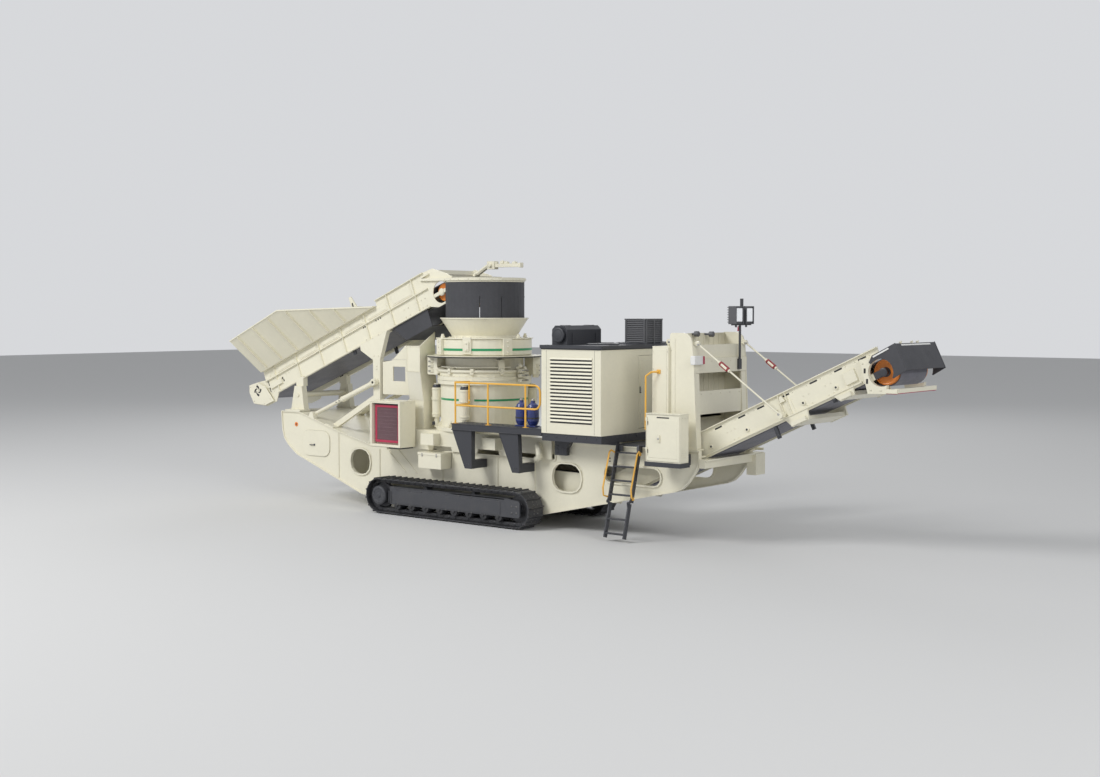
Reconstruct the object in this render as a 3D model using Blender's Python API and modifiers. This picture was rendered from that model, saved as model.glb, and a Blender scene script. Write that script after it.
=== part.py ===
"""Tracked mobile cone crusher plant, in metres, +X to the discharge end, +Z up, ground at Z = 0."""

import math

import bmesh
import bpy
from mathutils import Matrix, Vector

# Clearances
GAP = 0.0003
RUNNING_GAP = 0.006
LAP = 0.005

# Crawler
MACHINE_WIDTH = 3.20
TRACK_LENGTH = 4.95
TRACK_HEIGHT = 0.84
TRACK_CENTRE_X = -0.12
SHOE_WIDTH = 0.50
SHOE_PITCH = 0.19
SHOE_THICKNESS = 0.022
GROUSER_HEIGHT = 0.026
CHAIN_WIDTH = 0.20
CHAIN_DEPTH = 0.085
TRACK_SETBACK = 0.03
TRACK_FRAME_HEIGHT = 0.40
ROLLER_RADIUS = 0.10
ROLLER_COUNT = 8
HUB_RADIUS = 0.22

# Chassis
CHASSIS_HALF_WIDTH = 1.00
SIDE_PLATE = 0.025
RIM_WIDTH = 0.10
RIM_THICKNESS = 0.025
RIB_HEIGHT = 0.018
RIB_WIDTH = 0.04
TOW_PIN_X = -3.05
TOW_PIN_Z = 0.52
TOW_PIN_RADIUS = 0.09
NOSE_FOOT_X = -3.29
CHASSIS_BOTTOM = 0.30
DECK_HEIGHT = 1.50
REAR_DECK_HEIGHT = 1.90
NOSE_X = -6.17
NOSE_TOP = 2.18
TAIL_X = 6.22
REAR_DECK_X = 2.58
AXLE_BEAM_X = 1.25
AXLE_BEAM_SIZE = 0.24
TAIL_BEAM_HEIGHT = 0.175
TAIL_BEAM_DROP = 0.06

# Crusher
CRUSHER_X = -0.30
SUBFRAME_HEIGHT = 0.45
DRUM_TOP = 3.05
FLANGE_HEIGHT = 0.14
BOWL_RADIUS = 1.09
BOWL_BOTTOM = 3.66
BOWL_TOP = 4.05
FUNNEL_TOP = 4.51
SKIRT_TOP = 5.35
SKIRT_THICKNESS = 0.014
SKIRT_RING_HEIGHT = 0.065
CYLINDER_RADIUS = 0.11
CYLINDER_ANGLES = (-141.0, -73.0, 39.0, 107.0)
CLAMP_ANGLES = (-112.0, -22.0, 68.0, 158.0)
SLIT_ANGLES = (-55.5, -24.0, 7.5, 39.0, 70.5)
SLIT_WIDTH = 0.016

# Feed conveyor
FEED_ANGLE = math.radians(22.2)
FEED_TAIL = (-7.30, 2.64)
FEED_LENGTH = 6.80
FEED_HEAD_DROP = 0.12
FEED_HALF_WIDTH = 0.75
FEED_BELT_WIDTH = 1.20
FEED_DRUM_RADIUS = 0.20
FEED_BEAM_BOTTOM = -0.315
FEED_TIER = 0.11
FEED_CREASE = 0.365
FEED_BOARD_TOP = 0.515
BELT_THICKNESS = 0.02
FRAME_PLATE = 0.02
FEED_RIB_COUNT = 7
FEED_RIB_PITCH = 0.88
GUARD_DEPTH = 0.42
TRESTLE_X = -5.72
TRESTLE_TOP = 2.80
SUPPORT_X = -2.97
LIFT_TOP = 2.98
LIFT_FOOT_X = -5.05
HOPPER_FLARE = 0.72
HOPPER_RISE = 0.90
HOPPER_PLATE = 0.02
HOPPER_RIB_COUNT = 6
HOPPER_RIB_PITCH = 0.62
RIM_RADIUS = 0.022

# Discharge conveyor
OUT_ANGLE = math.radians(24.9)
OUT_HEAD = (10.00, 3.55)
OUT_LEVEL = 0.82
OUT_TAIL_X = -1.50
OUT_HALF_WIDTH = 0.75
OUT_BELT_WIDTH = 1.10
OUT_DRUM_RADIUS = 0.24
OUT_BEAM_TOP = 0.48
OUT_BEAM_BOTTOM = -0.05
OUT_RETURN = 0.02
OUT_JOINT_FROM_HEAD = 2.10
OUT_CROSS_HALF = 0.86
OUT_CROSS_BEAMS = ((2.12, 0.38, 0.22), (0.99, 0.30, 0.16))
YOKE_Y = 0.84
HOOD_PLATE = 0.02

# Power pack
PACK_X = 2.68
PACK_LENGTH = 1.55
PACK_BASE_HEIGHT = 0.22
PACK_HEIGHT = 1.75
PACK_FAR_Y = 1.60
ROOF_THICKNESS = 0.09
ROOF_OVERHANG = 0.04
DOOR_WIDTH = 0.86
DOOR_HEIGHT = 1.52
DOOR_Y = -0.28
DOOR_SILL = 0.09
DOOR_THICKNESS = 0.035
MUFFLER_SIZE = 0.40
VENT_SIZE = 0.52
VENT_WIDTH = 0.61

# Portal, tank and cabinets
PORTAL_X = 5.50
PORTAL_LENGTH = 0.56
PORTAL_HEIGHT = 2.33
PORTAL_PLATE = 0.03
LEG_FLANGE = 0.20
TANK_LENGTH = 0.38
TANK_HEIGHT = 2.06
CABINET_X = 5.34
CABINET_WIDTH = 0.81
CABINET_HEIGHT = 0.95
CABINET_DEPTH = 0.30
COOLER_X = -2.42
COOLER_WIDTH = 0.97
COOLER_HEIGHT = 1.06
COOLER_DEPTH = 0.60
BATTERY_X = -1.12
BATTERY_WIDTH = 0.70
BATTERY_DEPTH = 0.34
BOTTLE_X = (1.84, 2.16)
BOTTLE_RADIUS = 0.13
BOTTLE_HEIGHT = 0.56

# Platform and ladder
PLATFORM_X = 0.14
PLATFORM_RISE = 0.70
PLATFORM_THICKNESS = 0.15
RAIL_HEIGHT = 0.90
RAIL_RADIUS = 0.022
LADDER_X = 4.28
LADDER_WIDTH = 0.58
LADDER_LEAN = 0.51
LADDER_FOLD_HEIGHT = 0.78
STRINGER_DEPTH = 0.10
STRINGER_THICKNESS = 0.03
HINGE_OFFSET = 0.014
RUNG_DEPTH = 0.11
RUNG_PITCH = 0.29

# Worked out from the driving dimensions
TRACK_Y = MACHINE_WIDTH / 2 - SHOE_WIDTH / 2
HALF_WIDTH = MACHINE_WIDTH / 2
TRACK_RADIUS = TRACK_HEIGHT / 2 - GROUSER_HEIGHT
TRACK_STRAIGHT = TRACK_LENGTH - TRACK_HEIGHT
CHAIN_INNER = TRACK_RADIUS - SHOE_THICKNESS - CHAIN_DEPTH
RIM_OUT = CHASSIS_HALF_WIDTH + 0.03
RIM_IN = RIM_OUT - RIM_WIDTH
SUBFRAME_TOP = DECK_HEIGHT + SUBFRAME_HEIGHT
DRUM_RADIUS = BOWL_RADIUS - 0.08
UPPER_FRAME_RADIUS = BOWL_RADIUS - 0.19
BOWL_THROAT_RADIUS = BOWL_RADIUS * 0.605
MANTLE_RADIUS = BOWL_RADIUS * 0.477
FUNNEL_TOP_RADIUS = BOWL_RADIUS - 0.09
FUNNEL_BOTTOM_RADIUS = BOWL_RADIUS - 0.33
SKIRT_RADIUS = BOWL_RADIUS - 0.172
PLATFORM_TOP = DECK_HEIGHT + PLATFORM_RISE
PACK_BOTTOM = REAR_DECK_HEIGHT + GAP
PACK_WALL_BOTTOM = PACK_BOTTOM + PACK_BASE_HEIGHT
PACK_WALL_TOP = PACK_WALL_BOTTOM + PACK_HEIGHT
PACK_END_X = PACK_X + PACK_LENGTH
PORTAL_TOP = REAR_DECK_HEIGHT + PORTAL_HEIGHT
TANK_TOP = REAR_DECK_HEIGHT + TANK_HEIGHT
CABINET_BASE = REAR_DECK_HEIGHT - 0.30

FINISHES = {
    "cream": ((0.80, 0.77, 0.64), 0.45, 0.0),
    "black": ((0.03, 0.032, 0.036), 0.5, 0.0),
    "track": ((0.045, 0.046, 0.05), 0.55, 0.6),
    "yellow": ((0.85, 0.48, 0.06), 0.4, 0.0),
    "orange": ((0.80, 0.26, 0.03), 0.45, 0.0),
    "belt": ((0.16, 0.16, 0.18), 0.75, 0.0),
    "rubber": ((0.035, 0.036, 0.04), 0.7, 0.0),
    "red": ((0.30, 0.02, 0.04), 0.4, 0.0),
    "blue": ((0.02, 0.05, 0.16), 0.35, 0.0),
    "iron": ((0.20, 0.19, 0.18), 0.6, 0.8),
}

PIECES = []


def collection(name):
    """The collection of that name, made and linked once."""
    found = bpy.data.collections.get(name)
    if found is None:
        found = bpy.data.collections.new(name)
        bpy.context.scene.collection.children.link(found)
    return found


def clear_scene():
    """Remove what the opened scene holds."""
    for thing in list(bpy.data.objects):
        bpy.data.objects.remove(thing, do_unlink=True)


def paint(name, kind):
    """A Principled material for one piece."""
    colour, roughness, metallic = FINISHES[kind]
    material = bpy.data.materials.new(name + "_" + kind)
    material.use_nodes = True
    shader = material.node_tree.nodes["Principled BSDF"]
    shader.inputs["Base Color"].default_value = (*colour, 1.0)
    shader.inputs["Roughness"].default_value = roughness
    shader.inputs["Metallic"].default_value = metallic
    material.diffuse_color = (*colour, 1.0)
    return material


def finished(shape, smooth=False):
    """Turn a bmesh into a mesh with its faces pointing out."""
    bmesh.ops.recalc_face_normals(shape, faces=shape.faces)
    mesh = bpy.data.meshes.new("shape")
    shape.to_mesh(mesh)
    shape.free()
    if smooth:
        mesh.shade_smooth()
        mesh.set_sharp_from_angle(angle=math.radians(35.0))
    return mesh


def box(low, high):
    """A block between two corners."""
    shape = bmesh.new()
    bmesh.ops.create_cube(shape, size=1.0)
    low = Vector(low)
    high = Vector(high)
    bmesh.ops.scale(shape, vec=high - low, verts=shape.verts)
    bmesh.ops.translate(shape, vec=(low + high) / 2, verts=shape.verts)
    return finished(shape)


def rod(start, end, radius, sides=16, end_radius=None):
    """A round bar, or a cone where the end radius differs."""
    start = Vector(start)
    end = Vector(end)
    shape = bmesh.new()
    last = radius if end_radius is None else end_radius
    bmesh.ops.create_cone(
        shape, cap_ends=True, segments=sides, radius1=radius, radius2=last, depth=(end - start).length
    )
    turn = Vector((0, 0, 1)).rotation_difference(end - start).to_matrix().to_4x4()
    bmesh.ops.transform(shape, matrix=Matrix.Translation((start + end) / 2) @ turn, verts=shape.verts)
    return finished(shape, smooth=True)


def from_modifiers(thing, smooth=False):
    """The evaluated mesh of a helper object, which is removed."""
    bpy.context.view_layer.update()
    mesh = bpy.data.meshes.new_from_object(thing.evaluated_get(bpy.context.evaluated_depsgraph_get()))
    bpy.data.objects.remove(thing, do_unlink=True)
    shape = bmesh.new()
    shape.from_mesh(mesh)
    bmesh.ops.remove_doubles(shape, verts=shape.verts, dist=0.00005)
    bpy.data.meshes.remove(mesh)
    return finished(shape, smooth)


def turned(profile, centre=(0.0, 0.0), sides=40, ring=False):
    """A profile of (radius, height) turned about a vertical axis, run top to bottom on its outer side."""
    mesh = bpy.data.meshes.new("profile")
    points = [(radius, 0.0, height) for radius, height in profile]
    edges = [(i, i + 1) for i in range(len(points) - 1)]
    if ring:
        edges.append((len(points) - 1, 0))
    mesh.from_pydata(points, edges, [])
    thing = bpy.data.objects.new("profile", mesh)
    collection("tools").objects.link(thing)
    screw = thing.modifiers.new("turn", "SCREW")
    screw.steps = sides
    screw.render_steps = sides
    screw.use_merge_vertices = True
    screw.merge_threshold = 0.0001
    result = from_modifiers(thing, smooth=True)
    result.transform(Matrix.Translation((centre[0], centre[1], 0.0)))
    return result


def pipe(points, radius, resolution=2):
    """A round tube along a list of points."""
    curve = bpy.data.curves.new("pipe", "CURVE")
    curve.dimensions = "3D"
    curve.bevel_depth = radius
    curve.bevel_resolution = resolution
    curve.use_fill_caps = True
    spline = curve.splines.new("POLY")
    spline.points.add(len(points) - 1)
    for slot, point in zip(spline.points, points):
        slot.co = (*point, 1.0)
    thing = bpy.data.objects.new("pipe", curve)
    collection("tools").objects.link(thing)
    return from_modifiers(thing, smooth=True)


def arc_points(centre, radius, first, last, steps):
    """Points of an arc in a plane, angles in degrees."""
    points = []
    for i in range(steps + 1):
        angle = math.radians(first + (last - first) * i / steps)
        points.append((centre[0] + radius * math.cos(angle), centre[1] + radius * math.sin(angle)))
    return points


def rounded(corners, step=30.0):
    """An outline from corners (x, z) or (x, z, radius), with round corners as arcs."""
    count = len(corners)
    points = []
    for i, corner in enumerate(corners):
        here = Vector(corner[:2])
        radius = corner[2] if len(corner) > 2 else 0.0
        before = Vector(corners[i - 1][:2]) - here
        after = Vector(corners[(i + 1) % count][:2]) - here
        half = before.angle(after) / 2
        if radius <= 0.0 or abs(half - math.pi / 2) < 0.01:
            points.append(here)
            continue
        reach = radius / math.tan(half)
        first = here + before.normalized() * reach
        last = here + after.normalized() * reach
        centre = here + (before.normalized() + after.normalized()).normalized() * radius / math.sin(half)
        begin = math.atan2(first.y - centre.y, first.x - centre.x)
        sweep = math.atan2(last.y - centre.y, last.x - centre.x) - begin
        sweep = (sweep + math.pi) % (2 * math.pi) - math.pi
        steps = max(2, round(abs(math.degrees(sweep)) / step))
        for k in range(steps + 1):
            angle = begin + sweep * k / steps
            points.append(centre + Vector((math.cos(angle), math.sin(angle))) * radius)
    kept = []
    for point in points:
        if not kept or (point - kept[-1]).length > 0.0005:
            kept.append(point)
    if (kept[0] - kept[-1]).length < 0.0005:
        kept.pop()
    return [tuple(point) for point in kept]


def inset(corners, depth):
    """The corners moved inward by a depth, for an outline that runs anticlockwise."""
    count = len(corners)
    moved = []
    for i, corner in enumerate(corners):
        here = Vector(corner[:2])
        radius = corner[2] if len(corner) > 2 else 0.0
        back = (here - Vector(corners[i - 1][:2])).normalized()
        ahead = (Vector(corners[(i + 1) % count][:2]) - here).normalized()
        turn = back.x * ahead.y - back.y * ahead.x
        left_back = Vector((-back.y, back.x))
        left_ahead = Vector((-ahead.y, ahead.x))
        shift = (left_back + left_ahead) / (1.0 + left_back.dot(left_ahead))
        point = here + shift * depth
        if radius > 0.0:
            radius = max(radius - depth, 0.004) if turn > 0 else radius + depth
        moved.append((point.x, point.y, radius))
    return moved


def slab(outline, low, high, facing="Y", holes=()):
    """A flat outline with holes, made thick from low to high along an axis."""
    curve = bpy.data.curves.new("slab", "CURVE")
    curve.dimensions = "2D"
    curve.fill_mode = "BOTH"
    curve.extrude = (high - low) / 2
    for loop in (outline, *holes):
        spline = curve.splines.new("POLY")
        spline.points.add(len(loop) - 1)
        for slot, point in zip(spline.points, loop):
            slot.co = (point[0], point[1], 0.0, 1.0)
        spline.use_cyclic_u = True
    thing = bpy.data.objects.new("slab", curve)
    collection("tools").objects.link(thing)
    mesh = from_modifiers(thing)
    middle = (low + high) / 2
    turns = {
        "Y": Matrix(((1, 0, 0, 0), (0, 0, -1, middle), (0, 1, 0, 0), (0, 0, 0, 1))),
        "X": Matrix(((0, 0, 1, middle), (1, 0, 0, 0), (0, 1, 0, 0), (0, 0, 0, 1))),
        "Z": Matrix(((1, 0, 0, 0), (0, 1, 0, 0), (0, 0, 1, middle), (0, 0, 0, 1))),
    }
    mesh.transform(turns[facing])
    return mesh


def rectangle(x_low, z_low, x_high, z_high, radius=0.0):
    """Corners of a rectangle, anticlockwise."""
    return [(x_low, z_low, radius), (x_high, z_low, radius), (x_high, z_high, radius), (x_low, z_high, radius)]


def add_tool(name, mesh, group):
    """A hidden helper object for a Boolean."""
    thing = bpy.data.objects.new(name, mesh)
    group.objects.link(thing)
    thing.hide_render = True
    thing.display_type = "WIRE"
    return thing


def boolean(body, operation, shapes, solver="EXACT"):
    """Join shapes to a body, or cut them from it."""
    group = bpy.data.collections.new(body.name + "_" + operation.lower())
    collection("tools").children.link(group)
    for i, mesh in enumerate(shapes):
        add_tool(body.name + "_" + operation.lower() + str(i), mesh, group)
    modifier = body.modifiers.new(operation.lower(), "BOOLEAN")
    modifier.operation = operation
    modifier.solver = solver
    modifier.operand_type = "COLLECTION"
    modifier.collection = group


def piece(name, kind, shapes, cuts=(), origin=None, solver="EXACT"):
    """One named solid, welded from shapes and cut by others, with its origin on its axis if it moves."""
    if origin is not None:
        back = Matrix.Translation(-Vector(origin))
        for mesh in (*shapes, *cuts):
            mesh.transform(back)
    mesh = shapes[0]
    mesh.name = name
    body = bpy.data.objects.new(name, mesh)
    PIECES.append(body)
    body.data.materials.append(paint(name, kind))
    if len(shapes) > 1:
        boolean(body, "UNION", shapes[1:], solver)
    if cuts:
        boolean(body, "DIFFERENCE", cuts)
    if origin is not None:
        body.location = origin
        for modifier in body.modifiers:
            for tool in modifier.collection.objects:
                tool.location = origin
    return body


class Slope:
    """A straight line up a conveyor: u runs along it, w square to it."""

    def __init__(self, start, angle):
        self.start = Vector(start)
        self.along = Vector((math.cos(angle), math.sin(angle)))
        self.up = Vector((-math.sin(angle), math.cos(angle)))

    def at(self, u, w):
        """The (x, z) place of a point on the slope."""
        return tuple(self.start + self.along * u + self.up * w)

    def corner(self, u, w, radius=0.0):
        """A corner for a rounded outline."""
        return (*self.at(u, w), radius)

    def bar(self, u_low, w_low, u_high, w_high):
        """Corners of a bar that lies along the slope."""
        return [
            self.at(u_low, w_low),
            self.at(u_high, w_low),
            self.at(u_high, w_high),
            self.at(u_low, w_high),
        ]


def roller(line, u, w, reach, radius=0.05, sides=8):
    """A round cross bar between two Y limits, with a corner of its outline square to the slope."""
    outline = [line.at(u + radius * math.cos(turn), w + radius * math.sin(turn))
               for turn in (2 * math.pi * i / sides for i in range(sides))]
    return slab(outline, -reach, reach)


def mirrored(low, high, side):
    """A pair of Y limits on the near side (-1) or the far side (+1)."""
    return (low, high) if side > 0 else (-high, -low)


def track_point(distance, offset):
    """A point on the crawler's loop, pushed outward by an offset from the shoe faces."""
    half_turn = math.pi * TRACK_RADIUS
    lap = 2 * TRACK_STRAIGHT + 2 * half_turn
    distance = distance % lap
    radius = TRACK_RADIUS + offset
    left = TRACK_CENTRE_X - TRACK_STRAIGHT / 2
    right = TRACK_CENTRE_X + TRACK_STRAIGHT / 2
    middle = TRACK_HEIGHT / 2
    if distance < TRACK_STRAIGHT:
        return (left + distance, middle - radius)
    distance -= TRACK_STRAIGHT
    if distance < half_turn:
        angle = distance / TRACK_RADIUS - math.pi / 2
        return (right + radius * math.cos(angle), middle + radius * math.sin(angle))
    distance -= half_turn
    if distance < TRACK_STRAIGHT:
        return (right - distance, middle + radius)
    distance -= TRACK_STRAIGHT
    angle = distance / TRACK_RADIUS + math.pi / 2
    return (left + radius * math.cos(angle), middle + radius * math.sin(angle))


def track_loop(offset, steps=10):
    """A plain closed loop of the crawler at an offset from the shoe faces."""
    radius = TRACK_RADIUS + offset
    left = (TRACK_CENTRE_X - TRACK_STRAIGHT / 2, TRACK_HEIGHT / 2)
    right = (TRACK_CENTRE_X + TRACK_STRAIGHT / 2, TRACK_HEIGHT / 2)
    return arc_points(right, radius, -90, 90, steps) + arc_points(left, radius, 90, 270, steps)


def make_tracks():
    """Two crawler chains with their shoes and grousers, and the frames they run on."""
    lap = 2 * TRACK_STRAIGHT + 2 * math.pi * TRACK_RADIUS
    count = round(lap / SHOE_PITCH)
    pitch = lap / count
    shoe = ((0.04, 0.0), (0.08, GROUSER_HEIGHT), (0.20, GROUSER_HEIGHT), (0.24, 0.0), (0.93, 0.0),
            (0.97, -SHOE_THICKNESS * 0.6))
    outline = [track_point((i + share) * pitch, offset) for i in range(count) for share, offset in shoe]
    for side, label in ((-1, "near"), (1, "far")):
        low, high = mirrored(TRACK_Y - SHOE_WIDTH / 2, TRACK_Y + SHOE_WIDTH / 2, side)
        shoes = slab(outline, low, high, holes=[track_loop(-SHOE_THICKNESS)])
        low, high = mirrored(TRACK_Y - CHAIN_WIDTH / 2, TRACK_Y + CHAIN_WIDTH / 2, side)
        chain = slab(track_loop(-SHOE_THICKNESS + LAP), low, high,
                     holes=[track_loop(-SHOE_THICKNESS - CHAIN_DEPTH)])
        piece("track_chain_" + label, "track", [shoes, chain], solver="MANIFOLD")
        make_track_frame(side, label)


def make_track_frame(side, label):
    """The side frame with drive hub, sprocket, idler, rollers and the stubs that meet the chassis."""
    left = TRACK_CENTRE_X - TRACK_STRAIGHT / 2
    right = TRACK_CENTRE_X + TRACK_STRAIGHT / 2
    axle = TRACK_HEIGHT / 2
    wheel = CHAIN_INNER - RUNNING_GAP
    outer = TRACK_Y + SHOE_WIDTH / 2 - TRACK_SETBACK
    inner = TRACK_Y - SHOE_WIDTH / 2 + TRACK_SETBACK
    bottom = axle - TRACK_FRAME_HEIGHT / 2 + TRACK_SETBACK
    top = axle + TRACK_FRAME_HEIGHT / 2 + TRACK_SETBACK
    frame_left = left + HUB_RADIUS + 0.15

    def across(x, z, radius, reach_out, reach_in, sides=20):
        return rod((x, side * reach_out, z), (x, side * reach_in, z), radius, sides)

    low, high = mirrored(inner, outer, side)
    shapes = [
        box((frame_left, low, bottom), (right - wheel + 0.06, high, top)),
        across(right, axle, wheel, TRACK_Y + 0.05, TRACK_Y - 0.05, 28),
        across(right, axle, 0.09, outer - 0.06, inner, 16),
        across(left, axle, wheel, TRACK_Y + 0.05, TRACK_Y - 0.05, 28),
        across(left, axle, HUB_RADIUS, outer, TRACK_Y, 24),
        across(left, axle, HUB_RADIUS * 0.7, TRACK_Y + LAP, inner, 20),
    ]
    low, high = mirrored(outer - 0.05, outer, side)
    shapes.append(slab(rounded([
        (right - wheel, bottom), (right + 0.12, bottom, 0.05), (right + 0.12, top - 0.04, 0.05),
        (right - wheel, top),
    ]), low, high))
    low, high = mirrored(inner, inner + 0.10, side)
    shapes.append(box((left - 0.05, low, axle - 0.14), (frame_left + LAP, high, axle + 0.14)))
    shapes.append(box((right - wheel, low, axle - 0.14), (right + 0.10, high, axle + 0.14)))
    rise = TRACK_HEIGHT / 2 - CHAIN_INNER + GAP
    for i in range(ROLLER_COUNT):
        x = left + wheel + 0.28 + (right - left - 2 * wheel - 0.50) * i / (ROLLER_COUNT - 1)
        shapes.append(across(x, rise + ROLLER_RADIUS, ROLLER_RADIUS, TRACK_Y + 0.17, TRACK_Y - 0.17, 14))
    carrier = axle + CHAIN_INNER - GAP
    for share in (0.33, 0.68):
        x = left + (right - left) * share
        shapes.append(across(x, carrier - 0.05, 0.05, TRACK_Y + 0.09, TRACK_Y - 0.09, 12))
    stub_in = CHASSIS_HALF_WIDTH + GAP
    half = AXLE_BEAM_SIZE / 2
    for x in (-AXLE_BEAM_X, AXLE_BEAM_X):
        low, high = mirrored(stub_in, inner + LAP, side)
        centre = TRACK_CENTRE_X + x
        shapes.append(box((centre - half, low, bottom + 0.11), (centre + half, high, top - 0.02)))
    piece("track_frame_" + label, "black", shapes)


def chassis_corners():
    """The side plate's outline, anticlockwise from the nose's foot."""
    return [
        (NOSE_FOOT_X, CHASSIS_BOTTOM, 0.30),
        (2.29, CHASSIS_BOTTOM, 0.60),
        (TAIL_X - 0.38, CHASSIS_BOTTOM + 0.78, 0.55),
        (TAIL_X, REAR_DECK_HEIGHT - 0.30, 0.35),
        (TAIL_X, REAR_DECK_HEIGHT),
        (REAR_DECK_X, REAR_DECK_HEIGHT),
        (REAR_DECK_X, DECK_HEIGHT, 0.02),
        (NOSE_X + 3.20, DECK_HEIGHT, 0.30),
        (NOSE_X + 2.10, DECK_HEIGHT + 0.26, 0.40),
        (NOSE_X + 0.67, NOSE_TOP, 0.30),
        (NOSE_X, NOSE_TOP, 0.03),
        (NOSE_X + 0.06, NOSE_TOP - 0.70, 0.50),
        (NOSE_X + 0.55, NOSE_TOP - 1.06, 0.35),
    ]


def chassis_holes():
    """Round access holes and the long slot in a side plate."""
    return {
        "nose": rectangle(-3.68, 0.78, -3.02, 1.38, 0.26),
        "middle": rectangle(2.50, 0.84, 3.28, 1.43, 0.26),
        "slot": rectangle(3.88, 1.12, 5.30, 1.48, 0.17),
    }


def make_chassis():
    """Two side plates with rims, hole collars, ribs and a cover, and what ties them together."""
    corners = chassis_corners()
    outer = rounded(corners)
    inner = rounded(inset(corners, RIM_THICKNESS))
    plate = rounded(inset(corners, RIM_THICKNESS / 2))
    holes = chassis_holes()
    cover = rectangle(-5.38, DECK_HEIGHT - 0.38, -4.42, DECK_HEIGHT + 0.24, 0.20)
    rib_foot = CHASSIS_BOTTOM + 0.01
    rib_head = DECK_HEIGHT - 0.01
    ribs = [(-4.12, nose_foot_z(-4.12) + 0.05, nose_z(-4.12) - 0.04)]
    ribs += [(x, rib_foot, rib_head) for x in (-2.72, -0.70, 0.95, 2.00)]
    for side, label in ((-1, "near"), (1, "far")):
        low, high = mirrored(CHASSIS_HALF_WIDTH - SIDE_PLATE, CHASSIS_HALF_WIDTH, side)
        shapes = [slab(plate, low, high, holes=[rounded(loop) for loop in holes.values()])]
        low, high = mirrored(RIM_IN, RIM_OUT, side)
        shapes.append(slab(outer, low, high, holes=[inner]))
        low, high = mirrored(RIM_OUT - 0.08, RIM_OUT, side)
        for loop in holes.values():
            collar = inset(loop, -0.03)
            bore = inset(loop, LAP)
            shapes.append(slab(rounded(collar), low, high, holes=[rounded(bore)]))
        low, high = mirrored(CHASSIS_HALF_WIDTH - LAP, CHASSIS_HALF_WIDTH + 0.025, side)
        shapes.append(slab(rounded(cover), low, high))
        shapes.append(rod((TOW_PIN_X, side * (CHASSIS_HALF_WIDTH - LAP), TOW_PIN_Z),
                          (TOW_PIN_X, side * (RIM_OUT + 0.02), TOW_PIN_Z), TOW_PIN_RADIUS, 16))
        low, high = mirrored(CHASSIS_HALF_WIDTH - LAP, CHASSIS_HALF_WIDTH + RIB_HEIGHT, side)
        for x, foot, head in ribs:
            shapes.append(box((x - RIB_WIDTH / 2, low, foot), (x + RIB_WIDTH / 2, high, head)))
        piece("chassis_side_" + label, "cream", shapes)
    make_nose(corners)
    make_undercarriage()
    make_tail_frame()


def make_nose(corners):
    """The curved sheet that closes the nose between the side plates."""
    inner_y = RIM_IN - GAP
    sheet = 0.022
    web_x = NOSE_X + 2.30
    web = box((web_x, -inner_y, nose_foot_z(web_x) + 0.01), (web_x + 0.03, inner_y, nose_z(web_x) - 0.01))
    ring = slab(rounded(corners), -inner_y, inner_y, holes=[rounded(inset(corners, sheet))])
    behind = box((NOSE_X + 3.05, -HALF_WIDTH, 0.0), (TAIL_X + 1.0, HALF_WIDTH, PORTAL_TOP))
    piece("chassis_nose", "cream", [ring, web], [behind])


def make_undercarriage():
    """Two axle beams and two long rails between the side plates."""
    inner_y = CHASSIS_HALF_WIDTH - SIDE_PLATE - GAP
    low = CHASSIS_BOTTOM + RIM_THICKNESS + 0.01
    high = low + AXLE_BEAM_SIZE - 0.06
    half = AXLE_BEAM_SIZE / 2
    shapes = []
    for x in (-AXLE_BEAM_X, AXLE_BEAM_X):
        centre = TRACK_CENTRE_X + x
        shapes.append(box((centre - half, -inner_y, low), (centre + half, inner_y, high)))
    for side in (-1, 1):
        y_low, y_high = mirrored(RIM_IN - 0.10, RIM_IN - 0.02, side)
        shapes.append(box((TRACK_CENTRE_X - 1.9, y_low, low + 0.01),
                          (TRACK_CENTRE_X + 1.9, y_high, high + 0.05)))
    piece("undercarriage_frame", "cream", shapes)


def make_tail_frame():
    """The cross beam and end box behind the side plates."""
    start = TAIL_X + GAP
    top = OUT_HEAD[1] - (OUT_HEAD[0] - TAIL_X) * math.tan(OUT_ANGLE) - TAIL_BEAM_DROP
    bottom = top - TAIL_BEAM_HEIGHT
    half = CHASSIS_HALF_WIDTH + 0.03
    end = half + 0.12
    shapes = [
        box((start, -half, bottom), (start + 0.14, end, top)),
        box((start, half - 0.25, bottom - 0.28), (start + 0.22, end, top - 0.01)),
        box((start + 0.02, -half, top - 0.03), (start + 0.20, end - 0.02, top + LAP)),
    ]
    piece("chassis_tail_beam", "cream", shapes)


def make_crusher():
    """Subframe, main frame with release cylinders, bowl, mantle, funnel and the skirt above."""
    centre = (CRUSHER_X, 0.0)
    make_subframe()
    make_main_frame(centre)
    make_upper_frame(centre)
    make_bowl(centre)
    make_skirt(centre)


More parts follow.
